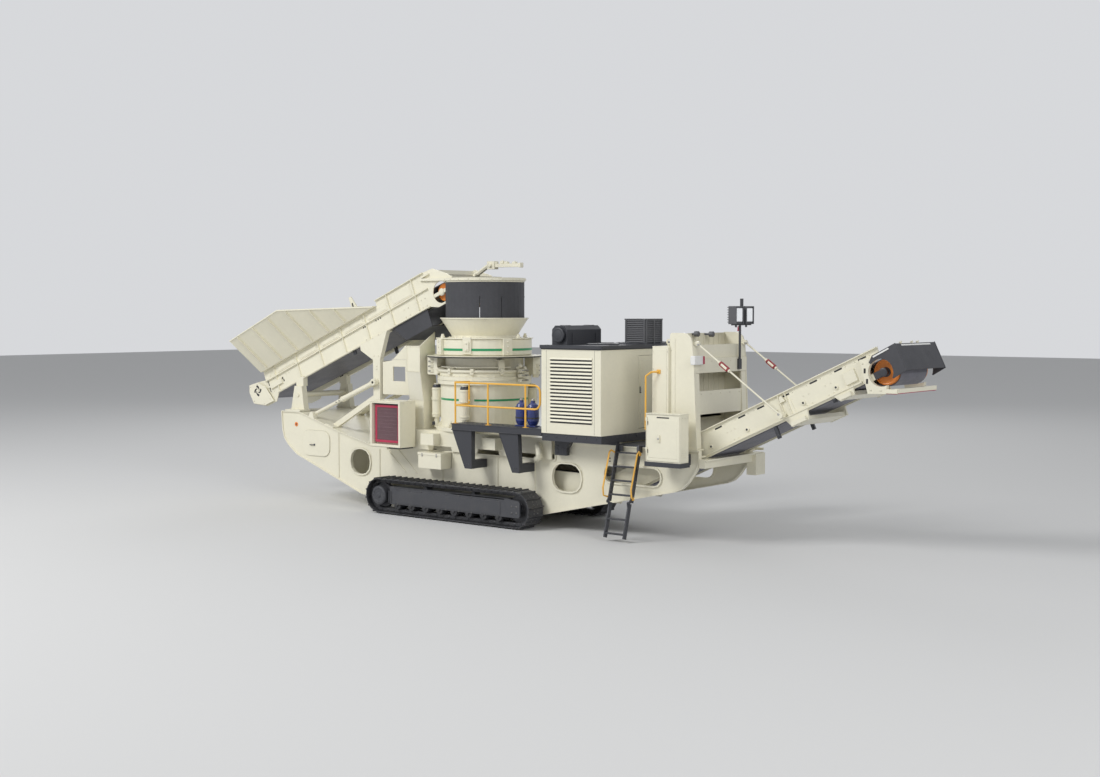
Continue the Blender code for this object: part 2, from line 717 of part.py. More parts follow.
def make_main_frame(centre):
    """The crusher's lower drum with its flanges and the release cylinders round it."""
    base = SUBFRAME_TOP + GAP
    step = UPPER_FRAME_RADIUS - 0.06
    drum = [
        (0.0, DRUM_TOP + 0.02), (step, DRUM_TOP + 0.02), (step, DRUM_TOP + FLANGE_HEIGHT),
        (DRUM_RADIUS + 0.07, DRUM_TOP + FLANGE_HEIGHT), (DRUM_RADIUS + 0.07, DRUM_TOP - 0.04),
        (DRUM_RADIUS, DRUM_TOP - 0.06), (DRUM_RADIUS, base + 0.10), (DRUM_RADIUS + 0.11, base + 0.08),
        (DRUM_RADIUS + 0.11, base), (0.0, base),
    ]
    shapes = [turned(drum, centre)]
    reach = DRUM_RADIUS + CYLINDER_RADIUS - 0.02
    foot = base + 0.28
    head = DRUM_TOP - 0.14
    for angle in CYLINDER_ANGLES:
        turn = math.radians(angle)
        x = centre[0] + reach * math.cos(turn)
        y = centre[1] + reach * math.sin(turn)
        shapes.append(rod((x, y, foot), (x, y, head), CYLINDER_RADIUS, 16))
        shapes.append(rod((x, y, base + 0.04), (x, y, foot + LAP), CYLINDER_RADIUS * 0.55, 12))
        shapes.append(rod((x, y, head - LAP), (x, y, DRUM_TOP - 0.05), CYLINDER_RADIUS * 0.6, 12))
    piece("crusher_main_frame", "cream", shapes)


def make_upper_frame(centre):
    """The flanged neck between drum and bowl, with the two drive housings beside it."""
    neck = UPPER_FRAME_RADIUS
    start = DRUM_TOP + FLANGE_HEIGHT + GAP
    upper = [
        (BOWL_RADIUS + 0.05, BOWL_BOTTOM - GAP), (BOWL_RADIUS + 0.05, BOWL_BOTTOM - 0.04),
        (neck, BOWL_BOTTOM - 0.05),
        (neck, start + 0.10), (neck + 0.14, start + 0.08), (neck + 0.14, start), (neck - 0.08, start),
        (neck - 0.08, BOWL_BOTTOM - GAP),
    ]
    shapes = [turned(upper, centre, ring=True)]
    for angle, size in ((CYLINDER_ANGLES[0], 0.15), (CYLINDER_ANGLES[2], 0.13)):
        turn = math.radians(angle)
        x = centre[0] + (neck + 0.20) * math.cos(turn)
        y = centre[1] + (neck + 0.20) * math.sin(turn)
        shapes.append(box((x - size, y - size, start + 0.02), (x + size, y + size, BOWL_BOTTOM - 0.045)))
    piece("crusher_upper_frame", "cream", shapes)


def make_bowl(centre):
    """The bowl with its clamp blocks, the mantle inside and the funnel on top."""
    throat = BOWL_THROAT_RADIUS
    bowl = [
        (BOWL_RADIUS - 0.03, BOWL_TOP), (BOWL_RADIUS, BOWL_TOP - 0.03), (BOWL_RADIUS, BOWL_BOTTOM + 0.02),
        (BOWL_RADIUS - 0.04, BOWL_BOTTOM), (throat + 0.10, BOWL_BOTTOM), (throat, BOWL_TOP - 0.14),
        (throat, BOWL_TOP),
    ]
    shapes = [turned(bowl, centre, ring=True)]
    for angle in CLAMP_ANGLES:
        block = box((BOWL_RADIUS - 0.04, -0.10, BOWL_BOTTOM + 0.01),
                    (BOWL_RADIUS + 0.05, 0.10, BOWL_TOP - 0.01))
        block.transform(Matrix.Translation((*centre, 0.0)) @ Matrix.Rotation(math.radians(angle), 4, "Z"))
        shapes.append(block)
    piece("crusher_bowl", "cream", shapes)

    foot = DRUM_TOP + 0.02 + GAP
    mantle = [
        (0.0, BOWL_TOP - 0.05), (0.12, BOWL_TOP - 0.05), (0.16, BOWL_TOP - 0.12), (0.24, BOWL_TOP - 0.16),
        (0.30, BOWL_TOP - 0.26), (MANTLE_RADIUS, BOWL_BOTTOM - 0.10),
        (MANTLE_RADIUS + 0.08, BOWL_BOTTOM - 0.25),
        (MANTLE_RADIUS, BOWL_BOTTOM - 0.32), (MANTLE_RADIUS - 0.10, foot), (0.0, foot),
    ]
    piece("crusher_mantle", "iron", [turned(mantle, centre, 32)])

    plate = 0.015
    low = BOWL_TOP + GAP
    foot_radius = FUNNEL_BOTTOM_RADIUS
    funnel = [
        (FUNNEL_TOP_RADIUS, FUNNEL_TOP), (FUNNEL_TOP_RADIUS, FUNNEL_TOP - 0.025), (foot_radius, low + 0.06),
        (foot_radius, low + 0.02), (foot_radius + 0.08, low + 0.018), (foot_radius + 0.08, low),
        (foot_radius - plate * 2, low), (foot_radius - plate * 2, low + 0.06),
        (FUNNEL_TOP_RADIUS - plate * 2, FUNNEL_TOP),
    ]
    piece("crusher_funnel", "cream", [turned(funnel, centre, ring=True)])


def make_subframe():
    """The box frame that carries the crusher on the chassis plates."""
    low = DECK_HEIGHT + GAP
    x_low = CRUSHER_X - 1.60
    x_high = REAR_DECK_X - 0.06
    y_out = RIM_OUT + 0.03
    y_in = RIM_IN
    shapes = [box((x_low, -y_out, SUBFRAME_TOP - 0.03), (x_high, y_out, SUBFRAME_TOP))]
    notches = ((0.95, 1.55), (2.30, 2.95), (3.40, 4.00))
    for side in (-1, 1):
        y_low, y_high = mirrored(y_out - 0.03, y_out, side)
        outline = [(x_low, low)]
        for start, stop in notches:
            outline += [(x_low + start, low), (x_low + start + 0.03, low + 0.10),
                        (x_low + stop - 0.03, low + 0.10), (x_low + stop, low)]
        outline += [(x_high, low), (x_high, SUBFRAME_TOP - 0.01), (x_low, SUBFRAME_TOP - 0.01)]
        shapes.append(slab(outline, y_low, y_high))
        edges = [x_low] + [x_low + value for pair in notches for value in pair] + [x_high]
        y_low, y_high = mirrored(y_in, y_out - 0.02, side)
        for start, stop in zip(edges[0::2], edges[1::2]):
            shapes.append(box((start, y_low, low), (stop, y_high, low + 0.02)))
    for x in (x_low, CRUSHER_X - 0.75, CRUSHER_X + 0.75, x_high - 0.03):
        shapes.append(box((x, -y_out + 0.01, low + 0.11), (x + 0.03, y_out - 0.01, SUBFRAME_TOP - 0.01)))
    near = -y_out - 0.22
    for x in (x_low + 0.78, x_low + 2.62):
        shapes.append(box((x, near, low + 0.13), (x + 0.40, -y_out + LAP, low + 0.39)))
    bend = pipe([
        (x_high - 0.35, -y_out + 0.02, low + 0.30), (x_high - 0.30, -y_out - 0.10, low + 0.29),
        (x_high - 0.24, -y_out - 0.15, low + 0.22), (x_high - 0.22, -y_out - 0.16, low + 0.12),
        (x_high - 0.24, -y_out - 0.13, low + 0.04), (x_high - 0.34, -y_out - 0.10, low + 0.0),
    ], 0.065, 3)
    shapes.append(bend)
    hole = rod((CRUSHER_X, 0, SUBFRAME_TOP - 0.20), (CRUSHER_X, 0, SUBFRAME_TOP + 0.10), 0.60, 32)
    piece("crusher_subframe", "cream", shapes, [hole])


def make_skirt(centre):
    """The ring hung from the feed conveyor's head, the rubber skirt under it and the level arm."""
    mouth = FEED_HALF_WIDTH + 0.012
    ring_low = SKIRT_TOP
    ring_high = SKIRT_TOP + SKIRT_RING_HEIGHT
    ring = turned([
        (SKIRT_RADIUS + 0.035, ring_high), (SKIRT_RADIUS + 0.035, ring_low), (SKIRT_RADIUS - 0.05, ring_low),
        (SKIRT_RADIUS - 0.05, ring_high),
    ], centre, 48, ring=True)
    shapes = [ring]
    back = centre[0] - 2.0
    front = centre[0] - 0.30
    for side in (-1, 1):
        low, high = mirrored(FEED_HALF_WIDTH + GAP, FEED_HALF_WIDTH + 0.06, side)
        shapes.append(box((centre[0] - 1.30, low, ring_low + 0.004), (front - 0.05, high, ring_high - 0.004)))
    between = FEED_HALF_WIDTH + GAP
    head_gap = box((back, -between, ring_low - 1.0), (front, between, ring_high + 1.0))
    piece("skirt_ring", "cream", shapes, [head_gap])

    low = FUNNEL_TOP - 0.02
    high = ring_low - GAP
    rubber = turned([
        (SKIRT_RADIUS, high), (SKIRT_RADIUS, low), (SKIRT_RADIUS - SKIRT_THICKNESS, low),
        (SKIRT_RADIUS - SKIRT_THICKNESS, high),
    ], centre, 48, ring=True)
    cuts = [box((back, -mouth, low - 1.0), (front, mouth, high + 1.0))]
    for angle in SLIT_ANGLES:
        slit = box((SKIRT_RADIUS - 0.10, -SLIT_WIDTH / 2, low - 0.05),
                   (SKIRT_RADIUS + 0.10, SLIT_WIDTH / 2, low + 0.50))
        slit.transform(Matrix.Translation((*centre, 0.0)) @ Matrix.Rotation(math.radians(angle), 4, "Z"))
        cuts.append(slit)
    piece("rubber_skirt", "rubber", [rubber], cuts)

    arm = [
        (centre[0] - 0.28, 0.0, ring_high + 0.07), (centre[0] - 0.16, 0.0, ring_high + 0.12),
        (centre[0] + 0.16, 0.0, ring_high + 0.30), (centre[0] + 0.26, 0.0, ring_high + 0.31),
    ]
    reach = SKIRT_RADIUS - 0.05
    shapes = [
        pipe(arm, 0.055, 2),
        box((centre[0] + 0.18, -0.05, ring_high + 0.24), (centre[0] + 1.10, 0.05, ring_high + 0.32)),
        box((centre[0] + 0.14, -0.07, ring_high + 0.20), (centre[0] + 0.36, 0.07, ring_high + 0.38)),
        box((centre[0] - 0.30, -reach, ring_high + GAP), (centre[0] - 0.22, reach, ring_high + 0.05)),
    ]
    piece("level_arm", "cream", shapes)


def belt_line():
    """The line through the centres of the feed conveyor's two drums, and its length."""
    turn = math.atan(FEED_HEAD_DROP / FEED_LENGTH)
    return Slope(FEED_TAIL, FEED_ANGLE - turn), math.hypot(FEED_LENGTH, FEED_HEAD_DROP)


def make_feed():
    """The inclined feed conveyor with its belt, head drum and hopper."""
    slope = Slope(FEED_TAIL, FEED_ANGLE)
    line, length = belt_line()
    y_in = FEED_HALF_WIDTH - FRAME_PLATE
    radius = FEED_DRUM_RADIUS + RUNNING_GAP
    head_u = FEED_LENGTH
    board_u = head_u - 2.05
    head_drop = FEED_BEAM_BOTTOM - 0.10
    side_corners = [
        slope.corner(-0.31, -0.27, 0.05), slope.corner(0.12, -0.48, 0.04), slope.corner(0.50, -0.49, 0.04),
        slope.corner(0.66, FEED_BEAM_BOTTOM), slope.corner(head_u - 0.42, FEED_BEAM_BOTTOM),
        slope.corner(head_u - 0.20, head_drop), slope.corner(head_u + 0.36, head_drop),
        slope.corner(head_u + 0.42, 0.08, 0.03), slope.corner(head_u + 0.35, 0.18, 0.03),
        slope.corner(head_u - 0.05, FEED_BOARD_TOP - 0.03, 0.03), slope.corner(head_u - 0.35, FEED_BOARD_TOP),
        slope.corner(board_u, FEED_BOARD_TOP), slope.corner(board_u, FEED_CREASE),
        slope.corner(0.31, FEED_CREASE),
        slope.corner(0.31, 0.15), slope.corner(0.06, 0.20), slope.corner(-0.28, 0.25, 0.04),
        slope.corner(-0.36, 0.06, 0.03),
    ]
    head = line.at(length, 0)
    opening = arc_points(head, FEED_DRUM_RADIUS + 0.05, 0, 345, 23)
    shapes = []
    for side in (-1, 1):
        low, high = mirrored(y_in, FEED_HALF_WIDTH, side)
        shapes.append(slab(rounded(side_corners), low, high, holes=[opening]))
        low, high = mirrored(FEED_HALF_WIDTH - LAP, FEED_HALF_WIDTH + 0.05, side)
        shapes.append(slab(slope.bar(0.66, FEED_BEAM_BOTTOM, head_u - 0.42, FEED_BEAM_BOTTOM + 0.02), low,
                           high))
        shapes.append(slab(slope.bar(0.32, FEED_TIER - 0.01, head_u - 0.35, FEED_TIER + 0.01), low, high))
        shapes.append(slab(slope.bar(board_u + 0.01, FEED_BOARD_TOP - 0.02, head_u - 0.36, FEED_BOARD_TOP),
                           low, high))
        low, high = mirrored(FEED_HALF_WIDTH - LAP, FEED_HALF_WIDTH + 0.04, side)
        for i in range(FEED_RIB_COUNT):
            u = 0.75 + FEED_RIB_PITCH * i
            top = FEED_CREASE - 0.012 if u < board_u else FEED_BOARD_TOP - 0.01
            shapes.append(slab(slope.bar(u - 0.008, FEED_BEAM_BOTTOM + 0.01, u + 0.008, top), low, high))
        low, high = mirrored(FEED_HALF_WIDTH - 0.09, FEED_HALF_WIDTH + 0.05, side)
        pad = [(TRESTLE_X - 0.13, TRESTLE_TOP + GAP), (TRESTLE_X + 0.13, TRESTLE_TOP + GAP),
               (TRESTLE_X + 0.13, TRESTLE_TOP + 0.25), (TRESTLE_X - 0.13, TRESTLE_TOP + 0.15)]
        shapes.append(slab(pad, low, high))
        shapes.append(slab(slope.bar(head_u - 0.32, -0.16, head_u + 0.32, -0.08),
                           *mirrored(y_in - 0.05, y_in + LAP, side)))
    carrier = radius - 0.05 - GAP
    for i in range(7):
        shapes.append(roller(line, 0.62 + 0.90 * i, carrier, y_in + LAP))
    for u in (1.5, 3.6, 5.4):
        shapes.append(roller(line, u, -carrier, y_in + LAP))
    for u in (0.62, 2.4, 4.2, 6.0):
        shapes.append(slab(line.bar(u - 0.05, -0.06, u + 0.05, 0.02), -y_in - LAP, y_in + LAP))
    x, z = slope.at(0, 0)
    shapes.append(rod((x, -y_in - LAP, z), (x, y_in + LAP, z), 0.05, 16))
    shapes.append(rod((x, -0.62, z), (x, 0.62, z), FEED_DRUM_RADIUS, 32))
    shapes.append(slab(slope.bar(head_u - 0.18, 0.38, head_u - 0.12, FEED_BOARD_TOP - 0.03), -y_in - LAP,
                       y_in + LAP))
    piece("feed_frame", "cream", shapes)
    make_feed_belt(line, length, radius)
    make_feed_drum(head, y_in)
    make_hopper(slope)


def make_feed_belt(line, length, radius):
    """The feed belt round both drums."""
    outer = radius + BELT_THICKNESS
    loops = []
    for reach in (outer, radius):
        tail = [line.at(reach * math.cos(math.radians(a)), reach * math.sin(math.radians(a)))
                for a in [90 + 180 * i / 12 for i in range(13)]]
        nose = [line.at(length + reach * math.cos(math.radians(a)), reach * math.sin(math.radians(a)))
                for a in [-90 + 180 * i / 12 for i in range(13)]]
        loops.append(tail + nose)
    half = FEED_BELT_WIDTH / 2
    piece("feed_belt", "belt", [slab(loops[0], -half, half, holes=[loops[1]])])


def make_feed_drum(head, y_in):
    """The driven drum at the feed conveyor's head."""
    x, z = head
    half = y_in - 0.05 - GAP
    shapes = [
        rod((x, -half, z), (x, half, z), 0.045, 16),
        rod((x, -FEED_BELT_WIDTH / 2 - 0.03, z), (x, FEED_BELT_WIDTH / 2 + 0.03, z), FEED_DRUM_RADIUS, 32),
    ]
    piece("feed_head_drum", "orange", shapes, origin=(x, 0, z))


def sheet_on(outline, thickness, origin, along, across):
    """A flat sheet laid on a tilted plane through an origin, with two directions in that plane."""
    mesh = slab(outline, 0.0, thickness, facing="Z")
    along = Vector(along).normalized()
    across = Vector(across).normalized()
    normal = along.cross(across)
    origin = Vector(origin)
    columns = (along, across, normal, origin)
    mesh.transform(Matrix([[column[row] for column in columns] for row in range(3)] + [[0, 0, 0, 1]]))
    return mesh


def make_hopper(slope):
    """The flared feed hopper: two wings, a rear plate, ribs and rims."""
    foot_u = 0.36
    back_u = 0.33
    corner_u = 2.29
    front_u = board_front()
    fold_y = FEED_HALF_WIDTH + 0.10
    lip_y = fold_y + HOPPER_FLARE
    along = Vector((slope.along.x, 0.0, slope.along.y)).normalized()
    reach = math.hypot(HOPPER_FLARE, HOPPER_RISE)
    x, z = slope.at(0, FEED_CREASE + GAP)
    shapes = []
    for side in (-1, 1):
        origin = Vector((x, side * fold_y, z))
        across = Vector((slope.up.x * HOPPER_RISE, side * HOPPER_FLARE, slope.up.y * HOPPER_RISE)).normalized()
        wing = [(foot_u, 0.0), (front_u, 0.0), (corner_u, reach), (back_u, reach - 0.03)]
        shapes.append(sheet_on(wing, HOPPER_PLATE, origin, along, across))
        normal = along.cross(across)
        outward = normal if normal.y * side > 0 else -normal
        for i in range(HOPPER_RIB_COUNT):
            u = foot_u + 0.29 + i * HOPPER_RIB_PITCH
            top = reach * 0.985 if u < corner_u else reach * (front_u - u) / (front_u - corner_u)
            rib = slab([(0.0, 0.01), (0.07, 0.05), (0.07, top - 0.03), (0.0, top)], -0.008, 0.008, facing="Z")
            columns = (outward, across, outward.cross(across), origin + along * u)
            rib.transform(Matrix([[column[row] for column in columns] for row in range(3)] + [[0, 0, 0, 1]]))
            shapes.append(rib)
        low, high = mirrored(FEED_HALF_WIDTH - 0.04, fold_y + 0.012, side)
        shapes.append(slab(slope.bar(foot_u - 0.02, FEED_CREASE + GAP, front_u, FEED_CREASE + GAP + 0.02),
                           low, high))
        rim = [tuple(origin + along * u + across * s + normal * (HOPPER_PLATE / 2))
               for u, s in ((foot_u, 0.0), (back_u, reach - 0.03), (corner_u, reach), (front_u, 0.0))]
        shapes.append(pipe(rim, RIM_RADIUS, 1))
    x, z = slope.at(foot_u, FEED_CREASE + GAP)
    x2, z2 = slope.at(back_u, FEED_CREASE + HOPPER_RISE - 0.03)
    height = math.hypot(x2 - x, z2 - z)
    rear = [(-fold_y, 0.0), (fold_y, 0.0), (lip_y, height), (-lip_y, height)]
    shapes.append(sheet_on(rear, HOPPER_PLATE, (x, 0.0, z), (0, 1, 0), (x2 - x, 0.0, z2 - z)))
    shapes.append(pipe([(x2, -lip_y, z2), (x2, lip_y, z2)], RIM_RADIUS, 1))
    piece("feed_hopper", "cream", shapes)


def board_front():
    """Where the hopper ends and the head boards start, along the feed conveyor."""
    return FEED_LENGTH - 2.08


def feed_bottom_z(x):
    """Height of the feed beams' lower edge at a place along the machine."""
    slope = Slope(FEED_TAIL, FEED_ANGLE)
    u = (x - slope.at(0, FEED_BEAM_BOTTOM)[0]) / slope.along.x
    return slope.at(u, FEED_BEAM_BOTTOM)[1]


def make_feed_supports():
    """Trestle, Y-shaped supports with their braces, and the lift cylinders."""
    foot = NOSE_TOP + GAP
    shapes = []
    for side in (-1, 1):
        low, high = mirrored(0.70, 0.86, side)
        shapes.append(slab([(TRESTLE_X - 0.26, foot + 0.03), (TRESTLE_X + 0.22, foot + 0.03),
                            (TRESTLE_X + 0.13, TRESTLE_TOP), (TRESTLE_X - 0.13, TRESTLE_TOP)], low, high))
        low, high = mirrored(0.70, RIM_OUT, side)
        shapes.append(box((TRESTLE_X - 0.29, low, foot), (TRESTLE_X + 0.25, high, foot + 0.04)))
    shapes.append(rod((TRESTLE_X, -0.72, TRESTLE_TOP - 0.22), (TRESTLE_X, 0.72, TRESTLE_TOP - 0.22), 0.07, 16))
    piece("feed_trestle", "cream", shapes)

    deck = DECK_HEIGHT + GAP
    left = SUPPORT_X - 0.55
    right = SUPPORT_X + 0.35
    fork_z = 3.50
    shapes = []
    for side in (-1, 1):
        low, high = mirrored(0.72, 0.84, side)
        shapes.append(slab([
            (SUPPORT_X - 0.11, fork_z), (SUPPORT_X + 0.11, fork_z), (right, feed_bottom_z(right) - GAP),
            (left, feed_bottom_z(left) - GAP), (left + 0.02, fork_z + 0.22),
        ], low, high))
        shapes.append(slab([(SUPPORT_X - 0.09, deck), (SUPPORT_X + 0.11, deck),
                            (SUPPORT_X + 0.12, fork_z + 0.06),
                            (SUPPORT_X - 0.12, fork_z + 0.06)], low, high))
        low, high = mirrored(0.66, 0.84, side)
        shapes.append(slab([(left, feed_bottom_z(left) - 0.03), (right, feed_bottom_z(right) - 0.03),
                            (right, feed_bottom_z(right) - GAP), (left, feed_bottom_z(left) - GAP)], low, high))
        low, high = mirrored(0.72, RIM_OUT - 0.02, side)
        shapes.append(box((SUPPORT_X + 0.03, low, deck), (SUPPORT_X + 0.37, high, deck + 0.05)))
        shapes.append(rod((SUPPORT_X, side * 0.80, LIFT_TOP), (SUPPORT_X, side * 0.98, LIFT_TOP), 0.035, 12))
        low, high = mirrored(0.735, 0.825, side)
        back = SUPPORT_X - 1.55
        front = back + 0.18
        shapes.append(slab([(back, nose_z(back) + LAP), (front, nose_z(front) + LAP),
                            (SUPPORT_X + 0.02, deck + 1.10),
                            (SUPPORT_X - 0.02, deck + 1.22)], low, high))
        low, high = mirrored(0.70, RIM_OUT - 0.01, side)
        back -= 0.04
        front += 0.04
        shapes.append(slab([(back, nose_z(back) + GAP), (front, nose_z(front) + GAP),
                            (front, nose_z(front) + 0.03),
                            (back, nose_z(back) + 0.03)], low, high))
    shapes.append(rod((SUPPORT_X, -0.74, fork_z - 0.08), (SUPPORT_X, 0.74, fork_z - 0.08), 0.06, 16))
    piece("feed_support", "cream", shapes)
    for side, label in ((-1, "near"), (1, "far")):
        make_lift_cylinder(side, label)
    make_chute()


def make_lift_cylinder(side, label):
    """A hydraulic cylinder from the chassis to the feed conveyor's support."""
    y = side * 0.91
    foot_x = LIFT_FOOT_X
    foot_z = nose_z(foot_x) + 0.09
    low, high = mirrored(0.845, 0.975, side)
    eye = arc_points((SUPPORT_X, LIFT_TOP), 0.08, 0, 345, 23)
    bore = arc_points((SUPPORT_X, LIFT_TOP), 0.035 + GAP, 0, 345, 23)
    start = Vector((foot_x, y, foot_z))
    end = Vector((SUPPORT_X - 0.06, y, LIFT_TOP - 0.03))
    joint = start.lerp(end, 0.48)
    lug = [(foot_x - 0.11, nose_z(foot_x - 0.11) + GAP), (foot_x + 0.09, nose_z(foot_x + 0.09) + GAP),
           (foot_x + 0.04, foot_z + 0.05), (foot_x - 0.04, foot_z + 0.06)]
    shapes = [
        slab(eye, low, high, holes=[bore]),
        rod(joint, end, 0.065, 16),
        rod(start, joint + (end - joint) * 0.05, 0.045, 12),
        slab(lug, *mirrored(0.93, RIM_OUT, side)),
        rod((foot_x, y, foot_z), (foot_x, side * RIM_OUT, foot_z), 0.045, 12),
    ]
    piece("lift_cylinder_" + label, "cream", shapes)


def nose_z(x):
    """Height of the chassis plates' sloping top edge at a place along the machine."""
    start = (NOSE_X + 0.67, NOSE_TOP)
    end = (NOSE_X + 2.10, DECK_HEIGHT + 0.26)
    if x > end[0]:
        start, end = end, (NOSE_X + 3.20, DECK_HEIGHT)
    share = (x - start[0]) / (end[0] - start[0])
    return start[1] + (end[1] - start[1]) * share


def nose_foot_z(x):
    """Height of the chassis plates' sloping lower edge ahead of the crawlers."""
    start = (NOSE_X + 0.55, NOSE_TOP - 1.06)
    end = (NOSE_FOOT_X, CHASSIS_BOTTOM)
    share = (x - start[0]) / (end[0] - start[0])
    return start[1] + (end[1] - start[1]) * share


def make_chute():
    """The chute under the feed conveyor's head that sends scrapings down, and its windowed wall."""
    low, high = -0.92, -0.42
    deck = SUBFRAME_TOP + GAP
    shapes = [
        slab([(-1.90, 3.26), (-1.46, 3.26), (-1.46, 3.86), (-1.90, 3.86)], low, high),
        slab([(-1.90, 3.27), (-1.46, 3.27), (-1.36, 2.60), (-1.80, 2.60)], low, high),
        slab([(-1.80, 2.61), (-1.36, 2.61), (-1.36, deck), (-1.80, deck)], low, high),
        slab([(low, 3.80), (high, 3.80), (high, 4.18), (low, 3.86)], -1.49, -1.46, facing="X"),
    ]
    window = [(-2.46, 3.02), (-2.06, 3.02), (-2.06, 3.36), (-2.46, 3.36)]
    wall = [(-2.80, 2.70), (-1.89, 2.70), (-1.89, 3.50), (-2.52, 3.50), (-2.80, 3.46)]
    shapes.append(slab(wall, -0.80, -0.77, holes=[window]))
    shapes.append(slab([(-2.52, 3.48), (-1.89, 3.48), (-1.89, 3.84), (-2.05, 3.86)], -0.80, -0.77))
    piece("scrapings_chute", "cream", shapes)

    slope = Slope(FEED_TAIL, FEED_ANGLE)
    u_low = FEED_LENGTH - 1.75
    u_high = FEED_LENGTH - 0.55
    top = FEED_BEAM_BOTTOM - GAP
    low = top - GUARD_DEPTH
    guard = [slope.at(u_low, top), slope.at(u_low + 0.30, low), slope.at(u_high, low), slope.at(u_high, top)]
    half = FEED_HALF_WIDTH
    shapes = [slab(guard, *mirrored(half - FRAME_PLATE, half, side)) for side in (-1, 1)]
    floor = [slope.at(u_low + 0.28, low + 0.02), slope.at(u_low + 0.30, low), slope.at(u_high, low),
             slope.at(u_high, low + 0.02)]
    shapes.append(slab(floor, -half + 0.01, half - 0.01))
    piece("head_guard", "rubber", shapes)


def out_line():
    """The discharge conveyor's incline, from the bend up to the head drum."""
    rise = OUT_HEAD[1] - OUT_LEVEL
    bend_x = OUT_HEAD[0] - rise / math.tan(OUT_ANGLE)
    return Slope((bend_x, OUT_LEVEL), OUT_ANGLE), rise / math.sin(OUT_ANGLE)


def out_path(offset):
    """A closed loop of the discharge belt at an offset from the drums' centres."""
    slope, length = out_line()
    tail = Slope((OUT_TAIL_X, OUT_LEVEL), 0.0)
    drop = OUT_RETURN + offset - OUT_DRUM_RADIUS - RUNNING_GAP
    snub = 0.50
    lean = 90.0 - math.degrees(math.acos(offset / math.hypot(snub, drop)) + math.atan(drop / snub))
    bend = slope.start
    bulge = math.tan(OUT_ANGLE / 2)
    points = [tail.at(*point) for point in arc_points((0, 0), offset, 90, 270 + lean, 12)]
    points.append(tail.at(snub, -drop))
    points.append((bend.x + drop * bulge, bend.y - drop))
    points.append(slope.at(length - snub, -drop))
    points += [slope.at(length + u, w) for u, w in arc_points((0, 0), offset, -90 - lean, 90, 12)]
    points.append((bend.x - offset * bulge, bend.y + offset))
    return points


